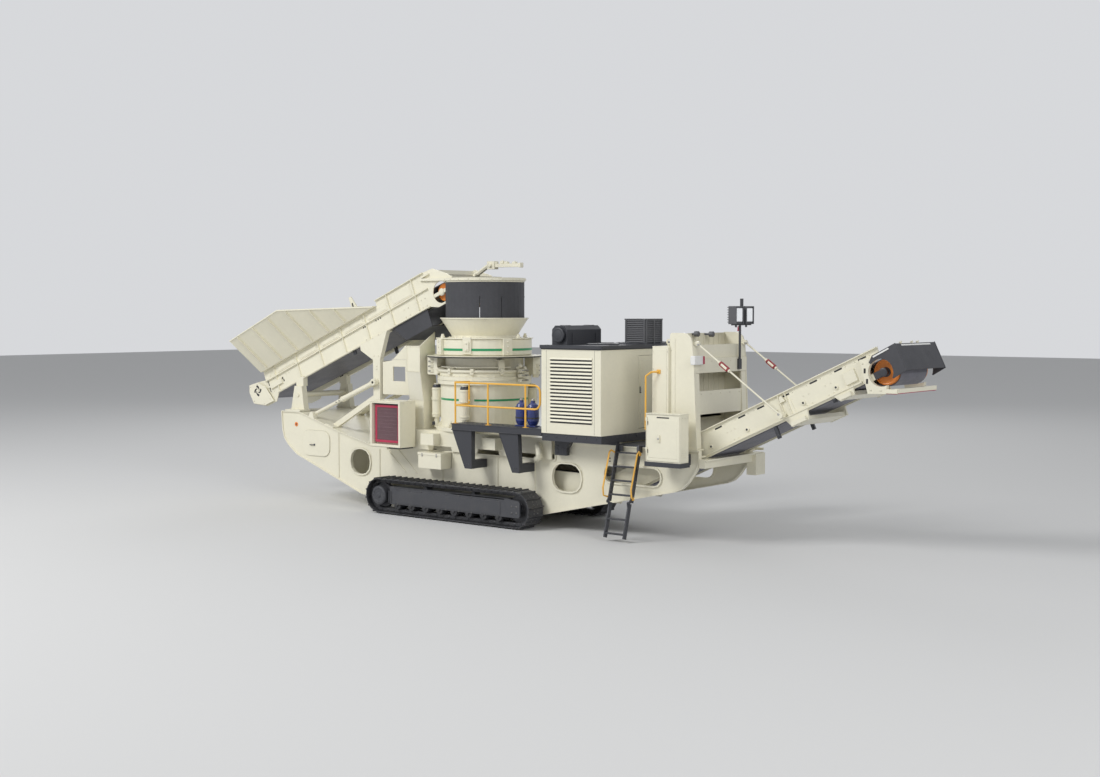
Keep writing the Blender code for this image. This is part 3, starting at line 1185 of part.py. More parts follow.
def make_discharge():
    """The long discharge conveyor that leaves under the crusher and climbs out behind."""
    slope, length = out_line()
    y_in = OUT_HALF_WIDTH - FRAME_PLATE
    half_belt = OUT_BELT_WIDTH / 2
    inner = OUT_DRUM_RADIUS + RUNNING_GAP
    loops = [out_path(inner + BELT_THICKNESS), out_path(inner)]
    piece("discharge_belt", "belt", [slab(loops[0], -half_belt, half_belt, holes=[loops[1]])])
    bend = slope.start
    head = slope.at(length, 0)
    opening = arc_points(head, OUT_DRUM_RADIUS + 0.02, 0, 345, 23)
    bulge = math.tan(OUT_ANGLE / 2)
    side_corners = [
        (OUT_TAIL_X - 0.30, OUT_LEVEL - 0.16), (bend.x, OUT_LEVEL - 0.16), slope.corner(0.12, OUT_BEAM_BOTTOM),
        slope.corner(length - 0.40, OUT_BEAM_BOTTOM), slope.corner(length - 0.24, 0.22),
        slope.corner(length + 0.04, 0.24),
        slope.corner(length + 0.08, OUT_BEAM_TOP), slope.corner(-OUT_BEAM_TOP * bulge, OUT_BEAM_TOP),
        (OUT_TAIL_X - 0.30, OUT_LEVEL + OUT_BEAM_TOP),
    ]
    x, z = head
    yoke = [(x - 0.44, z + 0.22), (x - 0.26, z - 0.40), (x + 0.10, z - 0.39), (x + 0.12, z - 0.21), (x, z),
            (x - 0.10, z + 0.27)]
    shapes = []
    for side in (-1, 1):
        low, high = mirrored(y_in, OUT_HALF_WIDTH, side)
        shapes.append(slab(rounded(side_corners), low, high))
        low, high = mirrored(OUT_HALF_WIDTH - LAP, YOKE_Y, side)
        shapes.append(slab(yoke, low, high))
        shapes.append(box((x + 0.06, low, z - 0.38), (x + 0.32, high - 0.01, z - 0.30)))
        low, high = mirrored(OUT_HALF_WIDTH - LAP, OUT_HALF_WIDTH + 0.045, side)
        shapes.append(slab(slope.bar(0.4, OUT_BEAM_TOP - 0.02, length + 0.06, OUT_BEAM_TOP), low, high))
        shapes.append(slab(slope.bar(0.4, OUT_BEAM_BOTTOM + 0.04, length - 0.45, OUT_BEAM_BOTTOM + 0.06),
                           low, high))
        low, high = mirrored(OUT_HALF_WIDTH - LAP, OUT_HALF_WIDTH + 0.04, side)
        for u in (length - OUT_JOINT_FROM_HEAD - 0.10, length - OUT_JOINT_FROM_HEAD + 0.06):
            shapes.append(slab(slope.bar(u, OUT_BEAM_BOTTOM + 0.05, u + 0.014, OUT_BEAM_TOP - 0.01), low, high))
        low, high = mirrored(OUT_HALF_WIDTH - LAP, CHASSIS_HALF_WIDTH - SIDE_PLATE - GAP, side)
        for hanger in (-0.95, 2.10):
            shapes.append(box((hanger, low, OUT_LEVEL + 0.10), (hanger + 0.20, high, OUT_LEVEL + 0.22)))
        low, high = mirrored(y_in + 0.005, OUT_HALF_WIDTH + 0.03, side)
        for back, wide, deep in OUT_CROSS_BEAMS:
            u = length - back
            shapes.append(slab([slope.at(u, -deep), slope.at(u + wide, -deep), slope.at(u + wide + 0.05, 0.02),
                                slope.at(u - 0.12, 0.0)], low, high))
    for back, wide, deep in OUT_CROSS_BEAMS:
        u = length - back
        beam = slope.bar(u + 0.02, -deep + 0.01, u + wide - 0.02, -deep + 0.09)
        shapes.append(slab(beam, -OUT_CROSS_HALF, OUT_CROSS_HALF))
    shapes.append(box((x + 0.26, -YOKE_Y + 0.02, z - 0.37), (x + 0.34, YOKE_Y - 0.02, z - 0.29)))
    carrier = inner - 0.05 - GAP
    for i in range(7):
        shapes.append(roller(slope, 0.35 + (length - 0.9) * i / 6, carrier, y_in + LAP))
    level = Slope((OUT_TAIL_X, OUT_LEVEL), 0.0)
    for i in range(3):
        shapes.append(roller(level, 0.4 + 1.6 * i, carrier, y_in + LAP))
    for u in (2.4, length - 0.50):
        shapes.append(roller(slope, u, 0.05 + GAP - OUT_RETURN, y_in + LAP))
    shapes.append(rod((OUT_TAIL_X, -y_in - LAP, OUT_LEVEL), (OUT_TAIL_X, y_in + LAP, OUT_LEVEL), 0.05, 16))
    shapes.append(rod((OUT_TAIL_X, -half_belt - 0.02, OUT_LEVEL), (OUT_TAIL_X, half_belt + 0.02, OUT_LEVEL),
                      OUT_DRUM_RADIUS, 28))
    for u in (0.9, 3.1, 4.2):
        shapes.append(slab(slope.bar(u - 0.04, 0.03, u + 0.04, 0.11), -y_in - LAP, y_in + LAP))
    body = piece("discharge_frame", "cream", shapes, [slab(opening, -HALF_WIDTH, HALF_WIDTH)])
    bearing = slope.bar(length - 0.42, -0.06, length + 0.06, 0.06)
    boolean(body, "UNION", [slab(bearing, *mirrored(y_in - 0.05, y_in + LAP * 2, side)) for side in (-1, 1)])
    half = y_in - 0.05 - GAP
    shapes = [
        rod((x, -half, z), (x, half, z), 0.045, 16),
        rod((x, -half_belt - 0.08, z), (x, half_belt + 0.08, z), OUT_DRUM_RADIUS, 32),
    ]
    piece("discharge_head_drum", "orange", shapes, origin=(x, 0, z))
    make_discharge_hood(head)
    for side, label in ((-1, "near"), (1, "far")):
        make_tie_rod(side, label)


def make_discharge_hood(head):
    """The spoil hood over the discharge head, cut round the drum."""
    x, z = head
    half = YOKE_Y + GAP
    side_plate = [(x - 0.24, z + 0.17), (x + 0.25, z - 0.10), (x + 0.50, z + 0.05), (x + 0.27, z + 0.54),
                  (x - 0.18, z + 0.30)]
    round_cut = slab(arc_points(head, OUT_DRUM_RADIUS + 0.01, 0, 345, 23), -1.0, 1.0)
    shapes = []
    for side in (-1, 1):
        shapes.append(slab(side_plate, *mirrored(half, half + HOOD_PLATE, side)))
    wide = half + HOOD_PLATE / 2
    front = [(x + 0.491, z + 0.058), (x + 0.270, z + 0.528), (x + 0.254, z + 0.520), (x + 0.475, z + 0.050)]
    top = [(x + 0.262, z + 0.530), (x - 0.04, z + 0.368), (x - 0.03, z + 0.350), (x + 0.262, z + 0.508)]
    shapes.append(slab(front, -wide, wide))
    shapes.append(slab(top, -wide, wide))
    piece("discharge_hood", "rubber", shapes, [round_cut])


def make_tie_rod(side, label):
    """A rod with a turnbuckle from the portal to the discharge conveyor."""
    y = side * 0.90
    top = Vector((PORTAL_X + PORTAL_LENGTH + 0.03, y, PORTAL_TOP - 0.21))
    foot = Vector((OUT_HEAD[0] - 2.03, y, OUT_HEAD[1] - 0.87))
    joint = top.lerp(foot, 0.33)
    reach = (top - foot).normalized() * 0.16
    low, high = mirrored(0.87, 0.93, side)
    shapes = [
        rod(top, foot, 0.018, 10),
        rod(joint + reach, joint - reach, 0.035, 12),
        slab(arc_points((top.x, top.z), 0.05, 0, 330, 11), low, high),
    ]
    low, high = mirrored(OUT_HALF_WIDTH + 0.045 + GAP, 0.94, side)
    shapes.append(slab(arc_points((foot.x, foot.z), 0.06, 0, 330, 11), low, high))
    piece("tie_rod_" + label, "cream", shapes)


def make_power_pack():
    """Base, housing with an end door, roof, muffler and vent."""
    near = -HALF_WIDTH
    far = PACK_FAR_Y
    start = PACK_BOTTOM
    shapes = [box((PACK_X, near + 0.02, start + 0.06), (PACK_END_X, far - 0.02, PACK_WALL_BOTTOM - GAP))]
    for side in (-1, 1):
        low, high = mirrored(RIM_IN, RIM_OUT, side)
        shapes.append(box((PACK_X + 0.02, low, start), (PACK_END_X - 0.02, high, start + 0.07)))
    arm_y = -RIM_OUT - GAP
    arm_foot = start - 0.28
    shapes.append(slab([(PACK_X, start + 0.07), (PACK_X, arm_foot), (PACK_X + 0.20, arm_foot),
                        (PACK_X + 0.46, start + 0.07)],
                       arm_y - 0.12, arm_y))
    piece("power_pack_base", "black", shapes)

    low_z = PACK_WALL_BOTTOM
    high_z = PACK_WALL_TOP
    door_low = DOOR_Y
    door_high = DOOR_Y + DOOR_WIDTH
    sill = low_z + DOOR_SILL
    head = sill + DOOR_HEIGHT
    front = PACK_END_X
    shapes = [box((PACK_X, near, low_z), (front, far, high_z))]
    pocket = box((front - 0.30, door_low + 0.02, sill + 0.02), (front + 0.10, door_high - 0.02, head - 0.02))
    rebate = box((front - DOOR_THICKNESS - 0.012, door_low - RUNNING_GAP, sill - RUNNING_GAP),
                 (front + 0.10, door_high + RUNNING_GAP, head + RUNNING_GAP))
    hinge = (front + 0.012, door_high - 0.012)
    heights = (sill + 0.22, head - 0.30)
    leaves = []
    for z in heights:
        leaves.append(box((hinge[0] - 0.006, hinge[1], z + 0.08 + GAP),
                          (hinge[0] + 0.006, hinge[1] + 0.05, z + 0.15)))
        leaves.append(box((front - LAP, hinge[1] + 0.022, z + 0.081),
                          (hinge[0] + 0.005, hinge[1] + 0.049, z + 0.149)))
        leaves.append(rod((hinge[0], hinge[1], z + 0.08 + GAP), (hinge[0], hinge[1], z + 0.15), 0.009, 12))
    body = piece("power_pack_housing", "cream", shapes, [pocket, rebate])
    boolean(body, "UNION", leaves)
    shapes = [
        box((front - DOOR_THICKNESS, door_low, sill), (front, door_high, head)),
        box((front - LAP, door_low + 0.06, sill + 0.80), (front + 0.02, door_low + 0.10, sill + 0.96)),
    ]
    for z in heights:
        shapes.append(rod((hinge[0], hinge[1], z), (hinge[0], hinge[1], z + 0.08), 0.014, 12))
    piece("power_pack_door", "cream", shapes, origin=(hinge[0], hinge[1], (sill + head) / 2))
    make_pack_roof(near, far, high_z + GAP)


def make_pack_roof(near, far, roof_low):
    """The roof with the muffler and the vent on it."""
    over = ROOF_OVERHANG
    roof = rectangle(PACK_X - over, near - over, PACK_END_X + over, far + over, 0.04)
    shapes = [slab(rounded(roof), roof_low + 0.02, roof_low + ROOF_THICKNESS, facing="Z"),
              box((PACK_X - 0.01, near - 0.01, roof_low), (PACK_END_X + 0.01, far + 0.01, roof_low + 0.03))]
    piece("power_pack_roof", "black", shapes)

    roof_top = roof_low + ROOF_THICKNESS + GAP
    half = MUFFLER_SIZE / 2
    cut = half * 0.42
    x = PACK_X + 0.27
    top = roof_top + MUFFLER_SIZE
    octagon = [
        (x - half, roof_top), (x + half, roof_top), (x + half, top - cut), (x + half - cut, top),
        (x - half + cut, top),
        (x - half, top - cut),
    ]
    centre = roof_top + half
    shapes = [slab(octagon, near + 0.27, near + 1.45),
              rod((x, near + 0.20, centre), (x, near + 0.28, centre), 0.14, 24)]
    bore = rod((x, near + 0.10, centre), (x, near + 0.36, centre), 0.11, 24)
    piece("muffler", "black", shapes, [bore])
    vent_x = PACK_X + 0.82
    piece("vent_box", "black",
          [box((vent_x, 0.26, roof_top), (vent_x + VENT_SIZE, 0.26 + VENT_WIDTH, roof_top + VENT_SIZE))])


def make_portal():
    """The portal frame over the discharge conveyor, and what stands on and beside it."""
    base = REAR_DECK_HEIGHT + GAP
    right = PORTAL_X + PORTAL_LENGTH
    foot = base + 0.01
    top = PORTAL_TOP
    side_corners = [(PORTAL_X, foot), (right + 0.09, foot), (right, top - 0.50), (right - 0.06, top, 0.20),
                    (PORTAL_X, top, 0.05)]
    half = CHASSIS_HALF_WIDTH
    shapes = []
    for side in (-1, 1):
        low, high = mirrored(half - PORTAL_PLATE, half, side)
        shapes.append(slab(rounded(side_corners), low, high))
        low, high = mirrored(half - LEG_FLANGE, half - LAP, side)
        shapes.append(slab([(right + 0.03, foot + 0.01), (right + 0.07, foot + 0.01),
                            (right - 0.02, top - 0.25),
                            (right - 0.06, top - 0.25)], low, high))
        shapes.append(box((PORTAL_X + 0.01, low, foot + 0.01), (PORTAL_X + 0.04, high, top - 0.03)))
        low, high = mirrored(half - LEG_FLANGE - 0.01, half + 0.02, side)
        shapes.append(box((PORTAL_X, low, base), (right + 0.12, high, base + 0.03)))
    wide = half - 0.01
    shapes.append(box((right - 0.10, -wide, top - 0.80), (right + 0.02, wide, top - 0.51)))
    shapes.append(box((right - 0.08, -wide + 0.004, top - 0.53), (right - 0.055, wide - 0.004, top - 0.24)))
    shapes.append(box((right - 0.025, -wide + 0.002, top - 1.63), (right + 0.005, wide - 0.002, top - 1.16)))
    shapes.append(box((PORTAL_X + 0.02, -wide + 0.006, top - 1.75),
                      (PORTAL_X + 0.05, wide - 0.006, top - 0.015)))
    shapes.append(box((PORTAL_X + 0.03, -wide + 0.008, top - 0.78), (right - 0.05, wide - 0.008, top - 0.75)))
    piece("portal_frame", "cream", shapes)
    make_work_lights(right)
    make_side_tank(base)
    make_cabinet()
    make_cooler()


def make_work_lights(right):
    """The lamp mast at the portal's far leg."""
    x = right + 0.02 + GAP
    y = 0.66
    top = PORTAL_TOP
    shapes = [
        box((x, y - 0.05, top - 0.76), (x + 0.05, y + 0.05, top - 0.55)),
        rod((x + 0.03, y, top - 0.73), (x + 0.03, y, top + 0.17), 0.025, 12),
        box((x, 0.36, top + 0.14), (x + 0.05, 1.08, top + 0.18)),
        rod((x + 0.02, 0.74, top + 0.17), (x + 0.02, 0.74, top + 0.69), 0.035, 12),
    ]
    for centre in (0.52, 0.92):
        shapes.append(box((x - 0.06, centre - 0.15, top + 0.17), (x + 0.10, centre + 0.15, top + 0.53)))
    piece("work_lights", "black", shapes)


def make_side_tank(base):
    """The tank beside the portal with its grab rail, and the landing at the ladder's head."""
    tank_low = base + 0.20
    tank_high = PORTAL_X - GAP
    tank_x = tank_high - TANK_LENGTH
    near = -1.06
    middle = (tank_x + tank_high) / 2
    shapes = [
        box((tank_x, near, tank_low), (tank_high, -0.45, TANK_TOP)),
        box((tank_x + 0.02, -1.02, base), (tank_high - 0.02, -0.80, tank_low + LAP)),
        rod((middle, -0.76, TANK_TOP - LAP), (middle, -0.76, TANK_TOP + 0.05), 0.03, 10),
    ]
    piece("side_tank", "cream", shapes)

    foot_x = tank_x + 0.16
    low = tank_low + 0.10
    high = tank_low + 1.35
    rail_x = tank_x - 0.04
    shapes = [pipe([
        (foot_x, near - 0.023, high), (foot_x - 0.10, near - 0.14, high - 0.01),
        (rail_x, near - 0.18, high - 0.09),
        (rail_x, near - 0.18, low + 0.10), (foot_x - 0.10, near - 0.14, low + 0.01),
        (foot_x, near - 0.023, low),
    ], 0.02, 2)]
    for z in (low, high):
        shapes.append(box((foot_x - 0.04, near - 0.026, z - 0.04), (foot_x + 0.04, near - GAP, z + 0.04)))
    piece("tank_grab_rail", "yellow", shapes)
    piece("service_landing", "black", [box((LADDER_X, -RIM_OUT, base), (tank_x - GAP, RIM_OUT, base + 0.04))])


def make_cabinet():
    """The electrical cabinet with its hinged door, on its plinth."""
    low_y = -HALF_WIDTH
    high_y = low_y + CABINET_DEPTH
    x_low = CABINET_X
    x_high = CABINET_X + CABINET_WIDTH
    bottom = CABINET_BASE + 0.09
    top = bottom + CABINET_HEIGHT
    wall = 0.04
    shapes = [
        box((x_low - 0.02, low_y - 0.02, CABINET_BASE), (x_high + 0.02, high_y + 0.02, bottom - GAP)),
        box((x_low + 0.08, high_y + GAP, CABINET_BASE + 0.01),
            (x_high - 0.14, -CHASSIS_HALF_WIDTH - GAP, bottom + 0.14)),
    ]
    piece("cabinet_plinth", "black", shapes)

    pocket = box((x_low + wall, low_y - 0.10, bottom + wall), (x_high - wall, high_y - 0.02, top - wall))
    edge = 0.015
    rebate = box((x_low + edge, low_y - 0.10, bottom + edge),
                 (x_high - edge, low_y + DOOR_THICKNESS + 0.006, top - edge))
    hinge = (x_low + 0.032, low_y - 0.010)
    heights = (bottom + 0.14, top - 0.22)
    leaves = []
    for z in heights:
        leaves.append(box((x_low + 0.001, hinge[1] - 0.006, z + 0.08 + GAP),
                          (hinge[0], hinge[1] + 0.004, z + 0.15)))
        leaves.append(box((x_low, hinge[1] - 0.005, z + 0.081), (x_low + 0.010, low_y + LAP, z + 0.149)))
        leaves.append(rod((hinge[0], hinge[1], z + 0.08 + GAP), (hinge[0], hinge[1], z + 0.15), 0.009, 12))
    shell = box((x_low, low_y, bottom), (x_high, high_y, top))
    body = piece("electrical_cabinet", "cream", [shell], [pocket, rebate])
    boolean(body, "UNION", leaves)
    inner = edge + RUNNING_GAP
    shapes = [
        box((x_low + inner, low_y, bottom + inner), (x_high - inner, low_y + DOOR_THICKNESS, top - inner)),
        box((x_low + 0.30, low_y - 0.03, bottom + 0.40), (x_low + 0.34, low_y + LAP, bottom + 0.54)),
    ]
    for z in heights:
        shapes.append(rod((hinge[0], hinge[1], z), (hinge[0], hinge[1], z + 0.08), 0.013, 12))
    piece("electrical_cabinet_door", "cream", shapes, origin=(hinge[0], hinge[1], (bottom + top) / 2))


def make_cooler():
    """The oil cooler's hood with its core, and the lidded box beside the chassis."""
    low_y = -HALF_WIDTH
    x_low = COOLER_X
    x_high = COOLER_X + COOLER_WIDTH
    bottom = DECK_HEIGHT + GAP + 0.05
    top = bottom + COOLER_HEIGHT
    shapes = [
        box((x_low, low_y, bottom), (x_high, low_y + COOLER_DEPTH - 0.10, top)),
        box((x_low + 0.01, low_y + 0.02, bottom - 0.05),
            (CRUSHER_X - 1.602, -CHASSIS_HALF_WIDTH + 0.05, bottom + LAP)),
    ]
    recess = box((x_low + 0.06, low_y - 0.10, bottom + 0.06), (x_high - 0.06, low_y + 0.15, top - 0.06))
    piece("oil_cooler_hood", "cream", shapes, [recess])
    back = low_y + 0.15 - GAP
    frame = rectangle(x_low + 0.10, bottom + 0.10, x_high - 0.10, top - 0.10)
    core = rectangle(x_low + 0.16, bottom + 0.16, x_high - 0.16, top - 0.16)
    shapes = [slab([corner[:2] for corner in frame], back - 0.05, back),
              slab([corner[:2] for corner in core], back - 0.06, back - 0.04)]
    piece("oil_cooler_core", "red", shapes)

    back = -CHASSIS_HALF_WIDTH - RIB_HEIGHT - GAP
    front = back - BATTERY_DEPTH
    lid = DECK_HEIGHT - 0.08
    shapes = [
        box((BATTERY_X, front, lid - 0.31), (BATTERY_X + BATTERY_WIDTH, back, lid)),
        box((BATTERY_X - 0.01, front - 0.01, lid - 0.005),
            (BATTERY_X + BATTERY_WIDTH + 0.01, back, lid + 0.05)),
    ]
    piece("battery_box", "cream", shapes)


def make_platform():
    """The service platform on its brackets, with handrail and accumulators."""
    low_y = -HALF_WIDTH
    high_y = -1.08
    right = PACK_X - GAP
    top = PLATFORM_TOP
    bottom = top - PLATFORM_THICKNESS
    foot = DECK_HEIGHT - 0.28
    back = -RIM_OUT - GAP
    shapes = [box((PLATFORM_X, low_y, bottom), (right, high_y, top))]
    for x_low, x_high, foot_low, foot_high in ((0.12, 0.69, 0.49, 0.69), (1.47, 2.01, 1.85, 2.05)):
        outline = [(foot_low, foot), (foot_high, foot), (x_high, bottom + LAP), (x_low, bottom + LAP)]
        shapes.append(slab(outline, low_y + 0.03, low_y + 0.15))
        shapes.append(box((foot_low + 0.02, low_y + 0.10, foot), (foot_high - 0.02, back, foot + 0.18)))
    piece("platform_deck", "black", shapes)

    y = low_y + 0.03
    base = top + GAP
    rail_z = top + RAIL_HEIGHT
    mid_z = top + 0.40
    right_x = PACK_X - 0.06
    left_x = PLATFORM_X + 0.04
    bend = 0.14
    corner = arc_points((right_x - bend, rail_z - bend), bend, 90, 0, 4)
    lower = arc_points((right_x - bend, mid_z + bend), bend, 0, -90, 4)
    loop = [(left_x, y + 0.50, mid_z), (left_x, y + 0.50, rail_z), (left_x, y + 0.04, rail_z),
            (left_x + 0.04, y, rail_z)]
    loop += [(x, y, z) for x, z in corner]
    loop += [(x, y, z) for x, z in lower]
    loop += [(left_x + 0.04, y, mid_z), (left_x, y + 0.04, mid_z), (left_x, y + 0.46, mid_z)]
    shapes = [pipe(loop, RAIL_RADIUS, 1)]
    for x in (left_x + 0.04, 1.17, 2.22):
        shapes.append(rod((x, y, base), (x, y, rail_z), RAIL_RADIUS * 0.96, 10))
        shapes.append(box((x - 0.05, y - 0.03, base), (x + 0.05, y + 0.06, base + 0.012)))
    piece("platform_handrail", "yellow", shapes)

    radius = BOTTLE_RADIUS
    bottle = [
        (0.0, base + BOTTLE_HEIGHT), (radius * 0.35, base + BOTTLE_HEIGHT),
        (radius * 0.4, base + BOTTLE_HEIGHT - 0.05),
        (radius * 0.8, base + BOTTLE_HEIGHT - 0.09), (radius, base + BOTTLE_HEIGHT - 0.17),
        (radius, base + 0.12),
        (radius * 0.8, base + 0.05), (radius * 0.5, base + 0.012), (0.0, base + 0.012),
    ]
    y = high_y - radius - 0.03
    shapes = [turned(bottle, (x, y), 20) for x in BOTTLE_X]
    shapes.append(box((BOTTLE_X[0] - 0.05, y + radius * 0.6, base + 0.22),
                      (BOTTLE_X[-1] + 0.05, y + radius + 0.01, base + 0.30)))
    shapes.append(box((BOTTLE_X[0] - 0.12, y - 0.08, base), (BOTTLE_X[-1] + 0.12, y + 0.08, base + 0.025)))
    piece("accumulators", "blue", shapes)


def make_ladder():
    """The access ladder with its handrails and its folding lower part, hinged in front of the stringers."""
    foot = Vector((-HALF_WIDTH, 0.03))
    head = Vector((-HALF_WIDTH + LADDER_LEAN, REAR_DECK_HEIGHT + 0.03))
    along = (head - foot).normalized()
    square = Vector((-along.y, along.x))
    half = square * (STRINGER_DEPTH / 2)
    fold = foot + along * ((LADDER_FOLD_HEIGHT - foot.y) / along.y)
    hinge = fold + square * (STRINGER_DEPTH / 2 + HINGE_OFFSET)
    x_left = LADDER_X
    x_right = LADDER_X + LADDER_WIDTH
    thick = STRINGER_THICKNESS

    def stringer(x, start, stop):
        corners = [start - half, start + half, stop + half, stop - half]
        return slab([tuple(corner) for corner in corners], x, x + thick, facing="X")

    def lug(x, sign):
        corners = [fold + along * 0.03 * sign + square * 0.02, hinge - along * 0.03 * sign + square * 0.005,
                   hinge + square * 0.03, fold + along * 0.15 * sign + square * 0.02]
        return slab([tuple(corner) for corner in corners], x + 0.002, x + thick - 0.002, facing="X")

    def rung(point, x_low, x_high):
        y, z = point
        return box((x_low, y - RUNG_DEPTH / 2, z - 0.012), (x_high, y + RUNG_DEPTH / 2, z + 0.012))

    start = fold + along * 0.02
    shapes = [stringer(x_left, start, head), stringer(x_right - thick, start, head)]
    for i in range(4):
        shapes.append(rung(fold + along * (0.16 + i * RUNG_PITCH), x_left + 0.01, x_right - 0.01))
    for x in (x_left, x_right - thick):
        shapes.append(box((x + 0.003, head.x - 0.03, REAR_DECK_HEIGHT - 0.12),
                          (x + thick - 0.003, -RIM_OUT - GAP, REAR_DECK_HEIGHT - 0.003)))
        shapes.append(lug(x, 1))
    piece("ladder_upper", "black", shapes)

    low = fold + along * 0.10
    high = fold + along * 1.02
    shapes = []
    for x, sign in ((x_left, -1), (x_right, 1)):
        out = x + sign * 0.06
        face = x + sign * 0.022
        shapes.append(pipe([
            (face, low.x, low.y), (out, low.x - 0.12, low.y + 0.04), (out, low.x - 0.14, low.y + 0.20),
            (out, high.x - 0.16, high.y + 0.02), (out, high.x - 0.10, high.y + 0.06), (face, high.x, high.y),
        ], 0.018, 1))
        x_low, x_high = sorted((x + sign * GAP, x + sign * 0.025))
        for end in (low, high):
            shapes.append(box((x_low, end.x - 0.03, end.y - 0.03), (x_high, end.x + 0.03, end.y + 0.03)))
    rails = (shapes[:3], shapes[3:])
    piece("ladder_rail_left", "yellow", rails[0])
    piece("ladder_rail_right", "yellow", rails[1])

    pin = RUNNING_GAP + 0.002 - GAP
    inner_left = x_left + thick + RUNNING_GAP
    inner_right = x_right - thick - RUNNING_GAP
    shapes = []
    for x in (inner_left, inner_right - thick):
        shapes.append(stringer(x, foot + along * 0.05, fold - along * 0.004))
        shapes.append(lug(x, -1))
    for distance in (0.14, 0.44):
        shapes.append(rung(foot + along * distance, inner_left + 0.01, inner_right - 0.01))
    for x_low, x_high in ((inner_left - pin, inner_left + 0.02), (inner_right - 0.02, inner_right + pin)):
        shapes.append(rod((x_low, hinge.x, hinge.y), (x_high, hinge.x, hinge.y), 0.012, 10))
    piece("ladder_lower", "black", shapes, origin=((x_left + x_right) / 2, hinge.x, hinge.y))


def centre_pieces():
    """Link the pieces and move everything along X until the plant stands centred on the origin."""
    for body in PIECES:
        collection("tracked_cone_crusher").objects.link(body)
    bpy.context.view_layer.update()
    graph = bpy.context.evaluated_depsgraph_get()
    reach = [(body.matrix_world @ Vector(corner)).x for body in PIECES for corner in body.evaluated_get(graph).bound_box]
    middle = (min(reach) + max(reach)) / 2
    for thing in bpy.data.objects:
        thing.location.x -= middle


def main():
    """Build every piece of the plant."""
    clear_scene()
    make_tracks()
    make_chassis()
    make_crusher()
    make_feed()
    make_feed_supports()
    make_discharge()
    make_power_pack()
    make_portal()
    make_platform()
    make_ladder()
    centre_pieces()


main()
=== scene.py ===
"""Looks of the tracked mobile cone crusher plant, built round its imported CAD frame.

Lengths are in metres. Detail is laid out in the plant's own frame, with X = 0 near the middle of the
crawlers, and is moved onto the frame's X when it is placed.
"""

from __future__ import annotations

import logging
import math
from dataclasses import dataclass
from enum import Enum

import bmesh
import bpy
from mathutils import Matrix, Vector

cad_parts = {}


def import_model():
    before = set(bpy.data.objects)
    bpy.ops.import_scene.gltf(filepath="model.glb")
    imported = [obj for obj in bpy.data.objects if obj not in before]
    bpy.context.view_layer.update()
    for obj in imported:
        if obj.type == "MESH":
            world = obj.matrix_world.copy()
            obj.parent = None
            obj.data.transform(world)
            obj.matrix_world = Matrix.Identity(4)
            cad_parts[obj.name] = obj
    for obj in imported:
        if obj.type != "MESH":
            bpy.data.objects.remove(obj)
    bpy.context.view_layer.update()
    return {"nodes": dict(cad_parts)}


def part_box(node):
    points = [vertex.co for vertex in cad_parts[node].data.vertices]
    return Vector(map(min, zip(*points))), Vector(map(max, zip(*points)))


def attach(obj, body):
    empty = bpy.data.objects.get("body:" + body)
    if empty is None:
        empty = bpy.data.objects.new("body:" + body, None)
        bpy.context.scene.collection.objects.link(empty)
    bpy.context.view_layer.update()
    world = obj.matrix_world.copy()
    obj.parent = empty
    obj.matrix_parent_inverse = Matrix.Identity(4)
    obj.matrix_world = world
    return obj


LOG = logging.getLogger("cone_crusher")
Point = tuple[float, float, float]
Colour = tuple[float, float, float]
Pair = tuple[float, float]
Outline = list[Pair]
PLANT_BODY = "plant"
CRUSHER_X = -0.30

# How deep bolts and discs sit in what carries them, and thin plates in a wall.
SEAT = 0.004
SINK = 0.002

# Ways out of the near side, up, and along the plant to its discharge end; the two sides by their sign.
NEAR = (0.0, -1.0, 0.0)
UP = (0.0, 0.0, 1.0)
AHEAD = (1.0, 0.0, 0.0)
SIDES = {-1: "near", 1: "far"}

# Edges above this angle stay sharp. No turned profile comes nearer to its axis than this radius.
SHARP_ANGLE = math.radians(32.0)
LEAST_RADIUS = 0.0004

# What all finishes share: the width of a softened edge, the strength and reach of the grain, how much
# dust adds to the roughness, and the gloss of a clear coat.
EDGE_WIDTH = 0.008
BUMP_STRENGTH = 0.35
BUMP_REACH = 0.1
DUST_DULLING = 0.4
COAT_ROUGHNESS = 0.12


class Slot(Enum):
    """Material slot names; each finish carries one."""

    CREAM = "cream_paint"
    BLACK = "black_paint"
    TRACK = "track_steel"
    YELLOW = "yellow_paint"
    ORANGE = "orange_paint"
    BELT = "belt_rubber"
    RUBBER = "black_rubber"
    RED = "red_paint"
    BLUE = "blue_paint"
    IRON = "manganese_steel"
    LAMP = "lamp_body"


class Axis(Enum):
    """A direction that a flat outline faces."""

    X = 0
    Y = 1
    Z = 2


def noise_node(tree: bpy.types.NodeTree, scale: float, detail: float,
               roughness: float = 0.5) -> bpy.types.Node:
    """A noise texture on object coordinates.

    Args:
        tree: The node tree to add to.
        scale: Features per metre.
        detail: Octaves of the noise.
        roughness: Share of the fine octaves.

    Returns:
        The noise node, already wired to the coordinates.
    """
    place = tree.nodes.new("ShaderNodeTexCoord")
    noise = tree.nodes.new("ShaderNodeTexNoise")
    noise.inputs["Scale"].default_value = scale
    noise.inputs["Detail"].default_value = detail
    noise.inputs["Roughness"].default_value = roughness
    tree.links.new(place.outputs["Object"], noise.inputs["Vector"])
    return noise


